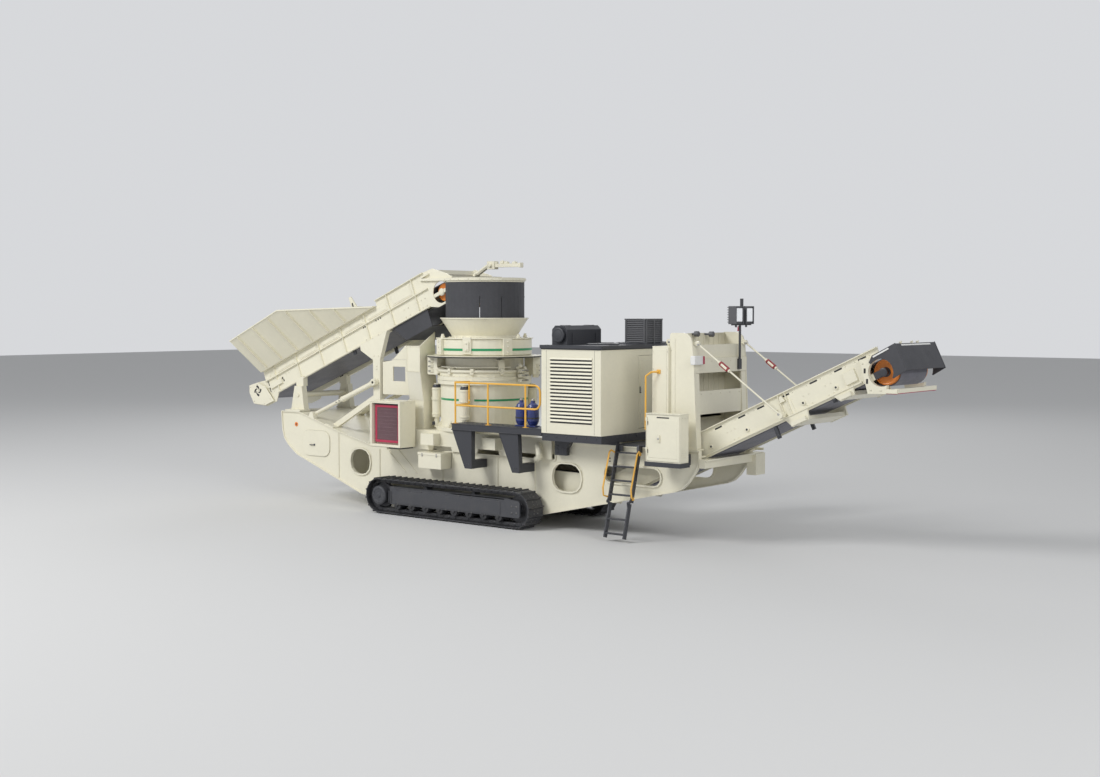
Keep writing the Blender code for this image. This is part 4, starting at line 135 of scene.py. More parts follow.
def ramp(tree: bpy.types.NodeTree, source: bpy.types.NodeSocket, low: float, high: float,
         to_low: float = 0.0, to_high: float = 1.0) -> bpy.types.NodeSocket:
    """Spread a value from one range to another, clamped.

    Args:
        tree: The node tree to add to.
        source: The value socket.
        low: Value that becomes to_low.
        high: Value that becomes to_high.
        to_low: Result at the low end.
        to_high: Result at the high end.

    Returns:
        The mapped value's socket.
    """
    node = tree.nodes.new("ShaderNodeMapRange")
    tree.links.new(source, node.inputs["Value"])
    for name, value in (("From Min", low), ("From Max", high), ("To Min", to_low), ("To Max", to_high)):
        node.inputs[name].default_value = value
    return node.outputs["Result"]


def arithmetic(tree: bpy.types.NodeTree, operation: str, first: bpy.types.NodeSocket | float,
               second: bpy.types.NodeSocket | float) -> bpy.types.NodeSocket:
    """A Math node on two sockets or numbers.

    Args:
        tree: The node tree to add to.
        operation: The Math node's operation.
        first: First operand.
        second: Second operand.

    Returns:
        The result's socket.
    """
    node = tree.nodes.new("ShaderNodeMath")
    node.operation = operation
    for slot, value in zip(node.inputs, (first, second)):
        if isinstance(value, (int, float)):
            slot.default_value = value
        else:
            tree.links.new(value, slot)
    return node.outputs["Value"]


def blended(tree: bpy.types.NodeTree, share: bpy.types.NodeSocket, first: bpy.types.NodeSocket,
            second: bpy.types.NodeSocket) -> bpy.types.NodeSocket:
    """Mix two colour sockets by a mask.

    Args:
        tree: The node tree to add to.
        share: Mask, 0 for the first colour and 1 for the second.
        first: First colour.
        second: Second colour.

    Returns:
        The mixed colour's socket.
    """
    node = tree.nodes.new("ShaderNodeMix")
    node.data_type = "RGBA"
    tree.links.new(share, node.inputs["Factor"])
    tree.links.new(first, node.inputs["A"])
    tree.links.new(second, node.inputs["B"])
    return node.outputs["Result"]


class EffectGroup:
    """A shader node group with named sockets, built once and shared by the finishes."""

    def __init__(self, name: str, inputs: dict[str, tuple[str, object]], outputs: dict[str, str]) -> None:
        """Make the group and its sockets.

        Args:
            name: The group's name.
            inputs: Socket name to (socket type, default value).
            outputs: Socket name to socket type.
        """
        self.tree = bpy.data.node_groups.new(name, "ShaderNodeTree")
        for label, (kind, value) in inputs.items():
            socket = self.tree.interface.new_socket(label, in_out="INPUT", socket_type=kind)
            socket.default_value = value
        for label, kind in outputs.items():
            self.tree.interface.new_socket(label, in_out="OUTPUT", socket_type=kind)
        self.source = self.tree.nodes.new("NodeGroupInput")
        self.target = self.tree.nodes.new("NodeGroupOutput")

    def given(self, name: str) -> bpy.types.NodeSocket:
        """The group's input socket of that name, as a source inside the group."""
        return self.source.outputs[name]

    def give(self, name: str, value: bpy.types.NodeSocket) -> None:
        """Wire a socket to the group's output of that name."""
        self.tree.links.new(value, self.target.inputs[name])


FLOAT = "NodeSocketFloat"
COLOUR = "NodeSocketColor"
VECTOR = "NodeSocketVector"


class Effects:
    """The node groups that the finishes share."""

    def __init__(self) -> None:
        """Build every group once."""
        self.coat = self.weathered_coat()
        self.wear = self.edge_wear()
        self.grain = self.surface_grain()

    def weathered_coat(self) -> bpy.types.NodeTree:
        """Colour of a coat that varies in broad patches, with dust that settles on top faces and low down.

        Returns:
            The node group, with the outputs Colour and Dust.
        """
        group = EffectGroup(
            "weathered_coat",
            {"Base": (COLOUR, (0.8, 0.8, 0.8, 1.0)), "Variation": (FLOAT, 0.06),
             "Dust Colour": (COLOUR, (0.4, 0.36, 0.3, 1.0)),
             "Dust": (FLOAT, 0.2), "Top Dust": (FLOAT, 0.3)},
            {"Colour": COLOUR, "Dust": FLOAT},
        )
        tree = group.tree
        broad = noise_node(tree, 0.9, 4.0, 0.55)
        fine = noise_node(tree, 14.0, 3.0, 0.6)
        patches = ramp(tree, broad.outputs["Fac"], 0.32, 0.68, -1.0, 1.0)
        specks = ramp(tree, fine.outputs["Fac"], 0.3, 0.7, -0.5, 0.5)
        shift = arithmetic(tree, "MULTIPLY", arithmetic(tree, "ADD", patches, specks),
                           group.given("Variation"))
        tone = arithmetic(tree, "ADD", shift, 1.0)
        scaled = tree.nodes.new("ShaderNodeVectorMath")
        scaled.operation = "SCALE"
        tree.links.new(group.given("Base"), scaled.inputs[0])
        tree.links.new(tone, scaled.inputs["Scale"])
        geometry = tree.nodes.new("ShaderNodeNewGeometry")
        parts = tree.nodes.new("ShaderNodeSeparateXYZ")
        tree.links.new(geometry.outputs["Normal"], parts.inputs[0])
        place = tree.nodes.new("ShaderNodeSeparateXYZ")
        tree.links.new(geometry.outputs["Position"], place.inputs[0])
        upward = ramp(tree, parts.outputs["Z"], 0.35, 0.95)
        low = ramp(tree, place.outputs["Z"], 1.5, 0.0)
        mottled = ramp(tree, noise_node(tree, 3.2, 8.0, 0.65).outputs["Fac"], 0.42, 0.74)
        settled = arithmetic(tree, "MULTIPLY", upward, group.given("Top Dust"))
        splashed = arithmetic(tree, "MULTIPLY", low, group.given("Dust"))
        dust = arithmetic(tree, "MULTIPLY", arithmetic(tree, "ADD", settled, splashed), mottled)
        group.give("Colour", blended(tree, dust, scaled.outputs[0], group.given("Dust Colour")))
        group.give("Dust", dust)
        return tree

    def edge_wear(self) -> bpy.types.NodeTree:
        """A mask that is 1 along sharp edges, broken up by noise, and the normal of the softened edge.

        Returns:
            The node group, with the outputs Mask and Normal.
        """
        group = EffectGroup("edge_wear", {"Amount": (FLOAT, 0.5), "Break Up": (FLOAT, 9.0)},
                            {"Mask": FLOAT, "Normal": VECTOR})
        tree = group.tree
        bevel = tree.nodes.new("ShaderNodeBevel")
        bevel.samples = 4
        bevel.inputs["Radius"].default_value = EDGE_WIDTH
        geometry = tree.nodes.new("ShaderNodeNewGeometry")
        dot = tree.nodes.new("ShaderNodeVectorMath")
        dot.operation = "DOT_PRODUCT"
        tree.links.new(bevel.outputs["Normal"], dot.inputs[0])
        tree.links.new(geometry.outputs["True Normal"], dot.inputs[1])
        edge = ramp(tree, dot.outputs["Value"], 0.985, 0.86)
        noise = noise_node(tree, 9.0, 6.0, 0.7)
        tree.links.new(group.given("Break Up"), noise.inputs["Scale"])
        broken = ramp(tree, noise.outputs["Fac"], 0.50, 0.62)
        group.give("Mask", arithmetic(tree, "MULTIPLY", arithmetic(tree, "MULTIPLY", edge, broken),
                                      group.given("Amount")))
        group.give("Normal", bevel.outputs["Normal"])
        return tree

    def surface_grain(self) -> bpy.types.NodeTree:
        """A height for orange-peel paint, cast skin or rubber grain, and a roughness that varies with it.

        Returns:
            The node group, with the outputs Height and Roughness.
        """
        group = EffectGroup("surface_grain", {"Scale": (FLOAT, 60.0), "Roughness": (FLOAT, 0.45),
                                              "Spread": (FLOAT, 0.12)},
                            {"Height": FLOAT, "Roughness": FLOAT})
        tree = group.tree
        noise = noise_node(tree, 60.0, 5.0, 0.6)
        tree.links.new(group.given("Scale"), noise.inputs["Scale"])
        smudge = noise_node(tree, 2.3, 5.0, 0.6)
        spread = ramp(tree, smudge.outputs["Fac"], 0.3, 0.7, -1.0, 1.0)
        shift = arithmetic(tree, "MULTIPLY", spread, group.given("Spread"))
        group.give("Height", noise.outputs["Fac"])
        group.give("Roughness", arithmetic(tree, "ADD", group.given("Roughness"), shift))
        return tree


@dataclass(frozen=True)
class Finish:
    """One finish: a coat's colour, its gloss, grain, wear and dust."""

    name: str
    slot: Slot
    colour: Colour
    roughness: float = 0.42
    metallic: float = 0.0
    spread: float = 0.08
    variation: float = 0.03
    worn: Colour = (0.30, 0.29, 0.27)
    wear: float = 0.5
    dust: float = 0.18
    top_dust: float = 0.16
    dust_colour: Colour = (0.50, 0.45, 0.36)
    grain: float = 70.0
    bump: float = 0.02
    coat: float = 0.0
    glow: float = 0.0

    def build(self, effects: Effects) -> bpy.types.Material:
        """Make the material from the shared effect groups.

        Args:
            effects: The shared node groups.

        Returns:
            The finished material.
        """
        material = bpy.data.materials.new(self.name)
        material.use_nodes = True
        material.diffuse_color = (*self.colour, 1.0)
        tree = material.node_tree
        shader = tree.nodes["Principled BSDF"]
        coat = self.placed(tree, effects.coat, {
            "Base": (*self.colour, 1.0), "Variation": self.variation, "Dust": self.dust,
            "Top Dust": self.top_dust,
            "Dust Colour": (*self.dust_colour, 1.0)})
        wear = self.placed(tree, effects.wear, {"Amount": self.wear})
        grain = self.placed(tree, effects.grain, {"Scale": self.grain, "Roughness": self.roughness,
                                                  "Spread": self.spread})
        bare = tree.nodes.new("ShaderNodeRGB")
        bare.outputs[0].default_value = (*self.worn, 1.0)
        colour = blended(tree, wear.outputs["Mask"], coat.outputs["Colour"], bare.outputs[0])
        tree.links.new(colour, shader.inputs["Base Color"])
        dulled = arithmetic(tree, "MULTIPLY", coat.outputs["Dust"], DUST_DULLING)
        tree.links.new(arithmetic(tree, "ADD", grain.outputs["Roughness"], dulled),
                       shader.inputs["Roughness"])
        bump = tree.nodes.new("ShaderNodeBump")
        bump.inputs["Strength"].default_value = BUMP_STRENGTH
        bump.inputs["Distance"].default_value = self.bump * BUMP_REACH
        tree.links.new(grain.outputs["Height"], bump.inputs["Height"])
        tree.links.new(wear.outputs["Normal"], bump.inputs["Normal"])
        tree.links.new(bump.outputs["Normal"], shader.inputs["Normal"])
        shader.inputs["Metallic"].default_value = self.metallic
        shader.inputs["Coat Weight"].default_value = self.coat
        shader.inputs["Coat Roughness"].default_value = COAT_ROUGHNESS
        if self.glow > 0.0:
            shader.inputs["Emission Color"].default_value = (*self.colour, 1.0)
            shader.inputs["Emission Strength"].default_value = self.glow
        return material

    @staticmethod
    def placed(tree: bpy.types.NodeTree, group: bpy.types.NodeTree,
               values: dict[str, object]) -> bpy.types.Node:
        """Place a shared group in a material with its own values."""
        node = tree.nodes.new("ShaderNodeGroup")
        node.node_tree = group
        for label, value in values.items():
            node.inputs[label].default_value = value
        return node


FINISHES = {
    "cream": Finish("cream_enamel", Slot.CREAM, (0.80, 0.765, 0.615), roughness=0.38, coat=0.15),
    # A darker copy of the cream that paints shade: on the bead round the nose cover, the chute's lower panel
    # and a groove line.
    "cream_painted_shade": Finish("cream_enamel_painted_shade", Slot.CREAM, (0.70, 0.675, 0.565), roughness=0.42),
    "black": Finish("anthracite_enamel", Slot.BLACK, (0.040, 0.042, 0.050), roughness=0.42,
                    worn=(0.16, 0.16, 0.16), top_dust=0.12, dust=0.12, dust_colour=(0.20, 0.19, 0.18)),
    # The crawler steel's lighter worn edges are partly real wear and partly a painted highlight for the pads'
    # sheen.
    "track": Finish("crawler_steel", Slot.TRACK, (0.062, 0.063, 0.069), roughness=0.5, metallic=0.55,
                    spread=0.15, variation=0.22, worn=(0.27, 0.27, 0.28), wear=0.9, dust=0.25,
                    top_dust=0.15, dust_colour=(0.16, 0.15, 0.14), grain=38.0, bump=0.05),
    "track_frame": Finish("crawler_frame_enamel", Slot.BLACK, (0.055, 0.057, 0.065), roughness=0.5,
                          worn=(0.18, 0.18, 0.18), dust=0.20, dust_colour=(0.17, 0.16, 0.15)),
    "yellow": Finish("safety_yellow", Slot.YELLOW, (0.86, 0.47, 0.06), roughness=0.36, coat=0.2, wear=0.35),
    "orange": Finish("drive_orange", Slot.ORANGE, (0.80, 0.25, 0.035), roughness=0.40, coat=0.1),
    "belt": Finish("conveyor_rubber", Slot.BELT, (0.165, 0.165, 0.195), roughness=0.55, spread=0.1,
                   variation=0.14, wear=0.2, worn=(0.26, 0.25, 0.25), grain=120.0, bump=0.05,
                   dust_colour=(0.25, 0.23, 0.20)),
    "rubber": Finish("sheet_rubber", Slot.RUBBER, (0.050, 0.051, 0.058), roughness=0.62, variation=0.12,
                     wear=0.15, worn=(0.12, 0.12, 0.12), grain=140.0, bump=0.04,
                     dust_colour=(0.18, 0.17, 0.15)),
    "red": Finish("cooler_red", Slot.RED, (0.45, 0.025, 0.075), roughness=0.38, coat=0.2, wear=0.3),
    "blue": Finish("bottle_blue", Slot.BLUE, (0.022, 0.040, 0.20), roughness=0.28, coat=0.5, wear=0.25),
    "iron": Finish("cast_manganese", Slot.IRON, (0.17, 0.16, 0.155), roughness=0.6, metallic=0.7,
                   variation=0.2, wear=0.8, worn=(0.42, 0.41, 0.40), grain=26.0, bump=0.09,
                   dust=0.0, top_dust=0.3),
    "lamp_body": Finish("lamp_casting", Slot.LAMP, (0.055, 0.056, 0.062), roughness=0.45,
                        worn=(0.2, 0.2, 0.2)),
    "lens": Finish("lamp_lens", Slot.LAMP, (0.86, 0.88, 0.90), roughness=0.12, variation=0.05, wear=0.0,
                   dust=0.0, top_dust=0.0, coat=0.6, glow=0.25, grain=30.0, bump=0.06),
    "zinc": Finish("zinc_plate", Slot.TRACK, (0.48, 0.47, 0.44), roughness=0.34, metallic=0.85,
                   variation=0.12, wear=0.2, grain=90.0),
    "green": Finish("stripe_green", Slot.CREAM, (0.015, 0.30, 0.115), roughness=0.36, coat=0.2, wear=0.15),
    "fin": Finish("cooler_fin_grey", Slot.RED, (0.30, 0.19, 0.21), roughness=0.5, metallic=0.2,
                  variation=0.1, wear=0.1),
    # Black rubber for the seal ring, pins, bolts and cable chain; the same black also fills slots, openings
    # and recesses as painted shade.
    "black_rubber_and_shade": Finish("dark_rubber_and_painted_shade", Slot.RUBBER, (0.018, 0.018, 0.020), roughness=0.45, grain=160.0,
                   dust_colour=(0.15, 0.14, 0.13)),
    "zinc_dark": Finish("blackened_fastener", Slot.TRACK, (0.11, 0.11, 0.115), roughness=0.42, metallic=0.6,
                        variation=0.15, worn=(0.34, 0.33, 0.32), wear=0.6),
    "orange_mark": Finish("mark_orange", Slot.ORANGE, (0.80, 0.22, 0.03), roughness=0.42, wear=0.2),
    "white_strip": Finish("white_enamel", Slot.CREAM, (0.80, 0.80, 0.78), roughness=0.38, wear=0.2),
    "red_frame": Finish("turnbuckle_red", Slot.RED, (0.30, 0.022, 0.030), roughness=0.38,
                        coat=0.2, wear=0.3),
    "black_light": Finish("anthracite_casting", Slot.BLACK, (0.105, 0.107, 0.115), roughness=0.48,
                          worn=(0.22, 0.22, 0.22), dust_colour=(0.22, 0.21, 0.20)),
    "seam": Finish("panel_joint", Slot.CREAM, (0.23, 0.22, 0.19), roughness=0.6, wear=0.0),
}

NODE_FINISHES = {
    "cream": (
        "battery_box", "chassis_nose", "chassis_side_far", "chassis_side_near", "chassis_tail_beam",
        "crusher_bowl", "crusher_funnel", "crusher_main_frame", "crusher_subframe", "crusher_upper_frame",
        "discharge_frame", "electrical_cabinet", "electrical_cabinet_door", "feed_frame", "feed_hopper",
        "feed_support", "feed_trestle", "level_arm", "lift_cylinder_far", "lift_cylinder_near",
        "oil_cooler_hood", "portal_frame", "power_pack_door", "power_pack_housing", "scrapings_chute",
        "side_tank", "skirt_ring", "tie_rod_far", "tie_rod_near", "undercarriage_frame",
    ),
    "black": (
        "cabinet_plinth", "ladder_lower", "ladder_upper", "muffler", "platform_deck", "power_pack_base",
        "power_pack_roof", "service_landing", "vent_box",
    ),
    "track": ("track_chain_far", "track_chain_near"),
    "track_frame": ("track_frame_far", "track_frame_near"),
    "yellow": ("ladder_rail_left", "ladder_rail_right", "platform_handrail", "tank_grab_rail"),
    "orange": ("discharge_head_drum", "feed_head_drum"),
    "belt": ("discharge_belt", "feed_belt"),
    "rubber": ("discharge_hood", "head_guard", "rubber_skirt"),
    "red": ("oil_cooler_core",),
    "blue": ("accumulators",),
    "iron": ("crusher_mantle",),
    "lamp_body": ("work_lights",),
}


def facing(side: int) -> Point:
    """The direction out of the near side, -1, or the far side, 1."""
    return (0.0, float(side), 0.0)


def spun(place: Point, degrees: float, axis: str = "Z") -> Matrix:
    """A turn about an axis, then a move to a place."""
    return Matrix.Translation(place) @ Matrix.Rotation(math.radians(degrees), 4, axis)


def spread(first: float, last: float, count: int) -> list[float]:
    """Evenly spaced numbers from the first to the last, both included."""
    return [first + (last - first) * i / (count - 1) for i in range(count)]


def polar(centre: Pair, radius: float, degrees: float) -> Pair:
    """A point on a circle in a plane."""
    turn = math.radians(degrees)
    return (centre[0] + radius * math.cos(turn), centre[1] + radius * math.sin(turn))


def arc(centre: Pair, radius: float, first: float, last: float, steps: int) -> Outline:
    """Points of an arc in a plane, of that many chords, between two angles in degrees."""
    return [polar(centre, radius, angle) for angle in spread(first, last, steps + 1)]


def around(centre: Pair, y: float, radius: float, count: int, first: float = 0.0) -> list[Point]:
    """Evenly spaced places on a circle that faces sideways.

    Args:
        centre: The circle's (x, z) centre.
        y: Where the circle stands.
        radius: Its radius.
        count: Number of places.
        first: Angle of the first place in degrees.

    Returns:
        The places.
    """
    turns = (polar(centre, radius, first + 360.0 * i / count) for i in range(count))
    return [(x, y, z) for x, z in turns]


def rectangle(low: Pair, high: Pair) -> Outline:
    """Corners of an upright rectangle, anticlockwise."""
    return [low, (high[0], low[1]), high, (low[0], high[1])]


@dataclass(frozen=True)
class Slope:
    """A conveyor's line: u runs up along it, w stands square to it, both in the XZ plane."""

    start: Pair
    angle: float

    def at(self, u: float, w: float) -> Pair:
        """The (x, z) place of a point on the line's own axes."""
        cosine, sine = math.cos(self.angle), math.sin(self.angle)
        return (self.start[0] + u * cosine - w * sine, self.start[1] + u * sine + w * cosine)

    def on(self, u: float, w: float, y: float) -> Point:
        """A point in space beside the line."""
        x, z = self.at(u, w)
        return (x, y, z)

    def trace(self, outline: Outline) -> Outline:
        """An outline drawn on the line's own axes, in the XZ plane."""
        return [self.at(u, w) for u, w in outline]

    def bar(self, low: Pair, high: Pair) -> Outline:
        """Corners of a bar that lies along the line."""
        return self.trace(rectangle(low, high))

    def out(self) -> Point:
        """The direction square to the line, upward."""
        return (-math.sin(self.angle), 0.0, math.cos(self.angle))


# The feed conveyor's line starts at its tail drum.
FEED_LINE = Slope((-7.30, 2.64), math.radians(22.2))


class Shape:
    """Geometry of one piece, gathered in the plant's own frame before it is placed."""

    def __init__(self, name: str, finish: str, body: str = PLANT_BODY) -> None:
        """Start an empty piece.

        Args:
            name: The piece's name.
            finish: Key of its finish.
            body: The CAD body that it moves with.
        """
        self.name = name
        self.finish = finish
        self.body = body
        self.mesh = bmesh.new()

    def block(self, low: Point, high: Point, soft: float = 0.004, turn: Matrix | None = None) -> None:
        """A block with softened edges.

        Args:
            low: A corner.
            high: The corner across the block from it.
            soft: Width of the bevel.
            turn: Transform applied to the block.
        """
        corner = Vector([min(pair) for pair in zip(low, high)])
        far = Vector([max(pair) for pair in zip(low, high)])
        verts = bmesh.ops.create_cube(self.mesh, size=1.0)["verts"]
        bmesh.ops.scale(self.mesh, vec=far - corner, verts=verts)
        bmesh.ops.translate(self.mesh, vec=(corner + far) / 2, verts=verts)
        if turn is not None:
            bmesh.ops.transform(self.mesh, matrix=turn, verts=verts)
        if soft > 0.0:
            edges = list({edge for vert in verts for edge in vert.link_edges})
            bmesh.ops.bevel(self.mesh, geom=edges, offset=min(soft, min(far - corner) * 0.4),
                            segments=1, affect="EDGES")

    def loft(self, loops: list[list[Vector]], closed: bool = False) -> None:
        """Skin a row of loops that have the same number of points.

        Args:
            loops: The loops, in order.
            closed: True where the last loop joins the first, which leaves no caps.
        """
        rings = [[self.mesh.verts.new(point) for point in loop] for loop in loops]
        pairs = list(zip(rings, rings[1:] + rings[:1])) if closed else list(zip(rings, rings[1:]))
        for ring, after in pairs:
            for i in range(len(ring)):
                k = (i + 1) % len(ring)
                self.mesh.faces.new((ring[i], ring[k], after[k], after[i]))
        if not closed:
            self.mesh.faces.new(rings[0])
            self.mesh.faces.new(rings[-1])

    def turned(self, profile: Outline, start: Point, direction: Point = UP, sides: int = 16,
               closed: bool = False) -> None:
        """Turn a profile of (radius, distance) about an axis.

        Args:
            profile: The profile's points along the axis.
            start: Where distance is 0.
            direction: The axis.
            sides: Number of facets round it.
            closed: True for a ring whose profile closes on itself.
        """
        axis = Vector(direction).normalized()
        aside = axis.orthogonal().normalized()
        square = axis.cross(aside)
        turns = [polar((0.0, 0.0), 1.0, 360.0 * i / sides) for i in range(sides)]
        spokes = [aside * cosine + square * sine for cosine, sine in turns]
        origin = Vector(start)
        self.loft([[origin + axis * distance + spoke * max(radius, LEAST_RADIUS) for spoke in spokes]
                   for radius, distance in profile], closed)

    def rod(self, start: Point, end: Point, radius: float, sides: int = 16, soft: float = 0.12) -> None:
        """A round bar with chamfered ends.

        Args:
            start: Centre of one end.
            end: Centre of the other.
            radius: The bar's radius.
            sides: Number of facets.
            soft: Chamfer as a share of the radius.
        """
        run = Vector(end) - Vector(start)
        cut = min(radius * soft, run.length * 0.3)
        profile = [(radius - cut, 0.0), (radius, cut), (radius, run.length - cut),
                   (radius - cut, run.length)]
        self.turned(profile, start, run, sides)

    def bolt(self, place: Point, outward: Point, size: float = 0.018) -> None:
        """A hexagon bolt head on its washer.

        Args:
            place: Where the washer meets the surface.
            outward: The direction that the head points to.
            size: Radius of the head.
        """
        axis = Vector(outward).normalized()
        base = Vector(place) - axis * SEAT
        self.turned([(size * 1.45, 0.0), (size * 1.45, SEAT + size * 0.18),
                     (size * 1.3, SEAT + size * 0.25)], base, outward, 12)
        self.turned([(size, 0.0), (size, SEAT + size * 0.75), (size * 0.8, SEAT + size * 0.95)],
                    base, outward, 6)

    def bolts(self, places: list[Point], outward: Point, size: float = 0.018) -> None:
        """A row of like bolts."""
        for place in places:
            self.bolt(place, outward, size)

    def plate(self, outline: Outline, axis: Axis, low: float, high: float, slant: float = 0.0) -> None:
        """A flat outline made thick along an axis, with its high side drawn in by a slant.

        Args:
            outline: Corners in the plane, convex where a slant is given.
            axis: The direction that the outline faces.
            low: The seated side's place on the axis.
            high: The open side's place on the axis.
            slant: How far the open side's edge is drawn in.
        """
        middle = (sum(point[0] for point in outline) / len(outline),
                  sum(point[1] for point in outline) / len(outline))
        loops = []
        for place, drawn in ((low, 0.0), (high, slant)):
            loop = []
            for first, second in outline:
                away = Vector((middle[0] - first, middle[1] - second))
                moved = Vector((first, second)) + away.normalized() * drawn
                point = list(moved)
                point.insert(axis.value, place)
                loop.append(Vector(point))
            loops.append(loop)
        self.loft(loops)

    def raised(self, outline: Outline, side: int, face: float, height: float, slant: float = 0.0) -> None:
        """A plate on a side wall, sunk into it by SINK.

        Args:
            outline: Corners in the XZ plane.
            side: -1 for a wall that faces the near side and 1 for one that faces the far side.
            face: The wall's Y.
            height: How far the plate stands proud.
            slant: How far its outer edge is drawn in.
        """
        self.plate(outline, Axis.Y, face - side * SINK, face + side * height, slant)

    def tube(self, points: list[Point], radius: float, sides: int = 8, smooth: int = 4) -> None:
        """A round tube through points, on a smooth line.

        Args:
            points: The points that it passes.
            radius: The tube's radius.
            sides: Number of facets round it.
            smooth: Steps between two points; 1 keeps the corners.
        """
        line = smooth_line([Vector(point) for point in points], smooth)
        aside = (line[1] - line[0]).orthogonal().normalized()
        turns = [polar((0.0, 0.0), radius, 360.0 * i / sides) for i in range(sides)]
        loops = []
        for i, point in enumerate(line):
            ahead = line[min(i + 1, len(line) - 1)] - line[max(i - 1, 0)]
            along = ahead.normalized()
            aside = (aside - along * aside.dot(along)).normalized()
            square = along.cross(aside)
            loops.append([point + aside * cosine + square * sine for cosine, sine in turns])
        self.loft(loops)


def smooth_line(points: list[Vector], steps: int) -> list[Vector]:
    """A Catmull-Rom line through points.

    Args:
        points: The points that it passes.
        steps: Steps between two points; 1 returns the points.

    Returns:
        The line's points.
    """
    if steps < 2 or len(points) < 3:
        return points
    padded = [points[0] * 2 - points[1], *points, points[-1] * 2 - points[-2]]
    line = []
    for before, here, after, beyond in zip(padded, padded[1:], padded[2:], padded[3:]):
        for i in range(steps):
            t = i / steps
            bend = 2 * before - 5 * here + 4 * after - beyond
            twist = 3 * here - before - 3 * after + beyond
            line.append(0.5 * (2 * here + (after - before) * t + bend * t ** 2 + twist * t ** 3))
    return [*line, points[-1]]


class Workshop:
    """Places finished pieces on the frame and answers where the CAD nodes are."""

    def __init__(self, materials: dict[str, bpy.types.Material]) -> None:
        """Measure how far the frame's X is from the plant's own X.

        Args:
            materials: The finishes by name.
        """
        self.materials = materials
        low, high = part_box("crusher_funnel")
        self.shift = CRUSHER_X - (low.x + high.x) / 2
        self.count = 0
        self.started: list[Shape] = []

    def start(self, name: str, finish: str, body: str = PLANT_BODY) -> Shape:
        """Start a piece that place_started puts on its body."""
        self.started.append(Shape(name, finish, body))
        return self.started[-1]

    def place_started(self) -> None:
        """Place every piece that was started since the last call."""
        while self.started:
            self.place(self.started.pop(0))

    def box(self, node: str) -> tuple[Vector, Vector]:
        """Lowest and highest corner of a CAD node in the plant's own frame."""
        low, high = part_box(node)
        move = Vector((self.shift, 0.0, 0.0))
        return low + move, high + move

    def place(self, shape: Shape) -> None:
        """Turn a shape into an object that rides on its body.

        Args:
            shape: The gathered geometry.
        """
        bmesh.ops.recalc_face_normals(shape.mesh, faces=shape.mesh.faces)
        bmesh.ops.translate(shape.mesh, vec=(-self.shift, 0.0, 0.0), verts=shape.mesh.verts)
        mesh = bpy.data.meshes.new(shape.name)
        shape.mesh.to_mesh(mesh)
        shape.mesh.free()
        mesh.shade_smooth()
        mesh.set_sharp_from_angle(angle=SHARP_ANGLE)
        mesh.materials.append(self.materials[shape.finish])
        piece = bpy.data.objects.new(shape.name, mesh)
        bpy.context.scene.collection.objects.link(piece)
        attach(piece, shape.body)
        self.count += len(mesh.polygons)
        LOG.info("%s: %d faces on %s", shape.name, len(mesh.polygons), shape.body)


@dataclass(frozen=True)
class Detail:
    """The dressing of one sub-assembly, whose pieces start in the workshop."""

    shop: Workshop

    def build(self) -> None:
        """Make every piece of the sub-assembly."""
        raise NotImplementedError

    def piece(self, name: str, finish: str, body: str = PLANT_BODY) -> Shape:
        """Start a piece of this sub-assembly."""
        return self.shop.start(name, finish, body)

    def box(self, node: str) -> tuple[Vector, Vector]:
        """Lowest and highest corner of a CAD node in the plant's own frame."""
        return self.shop.box(node)


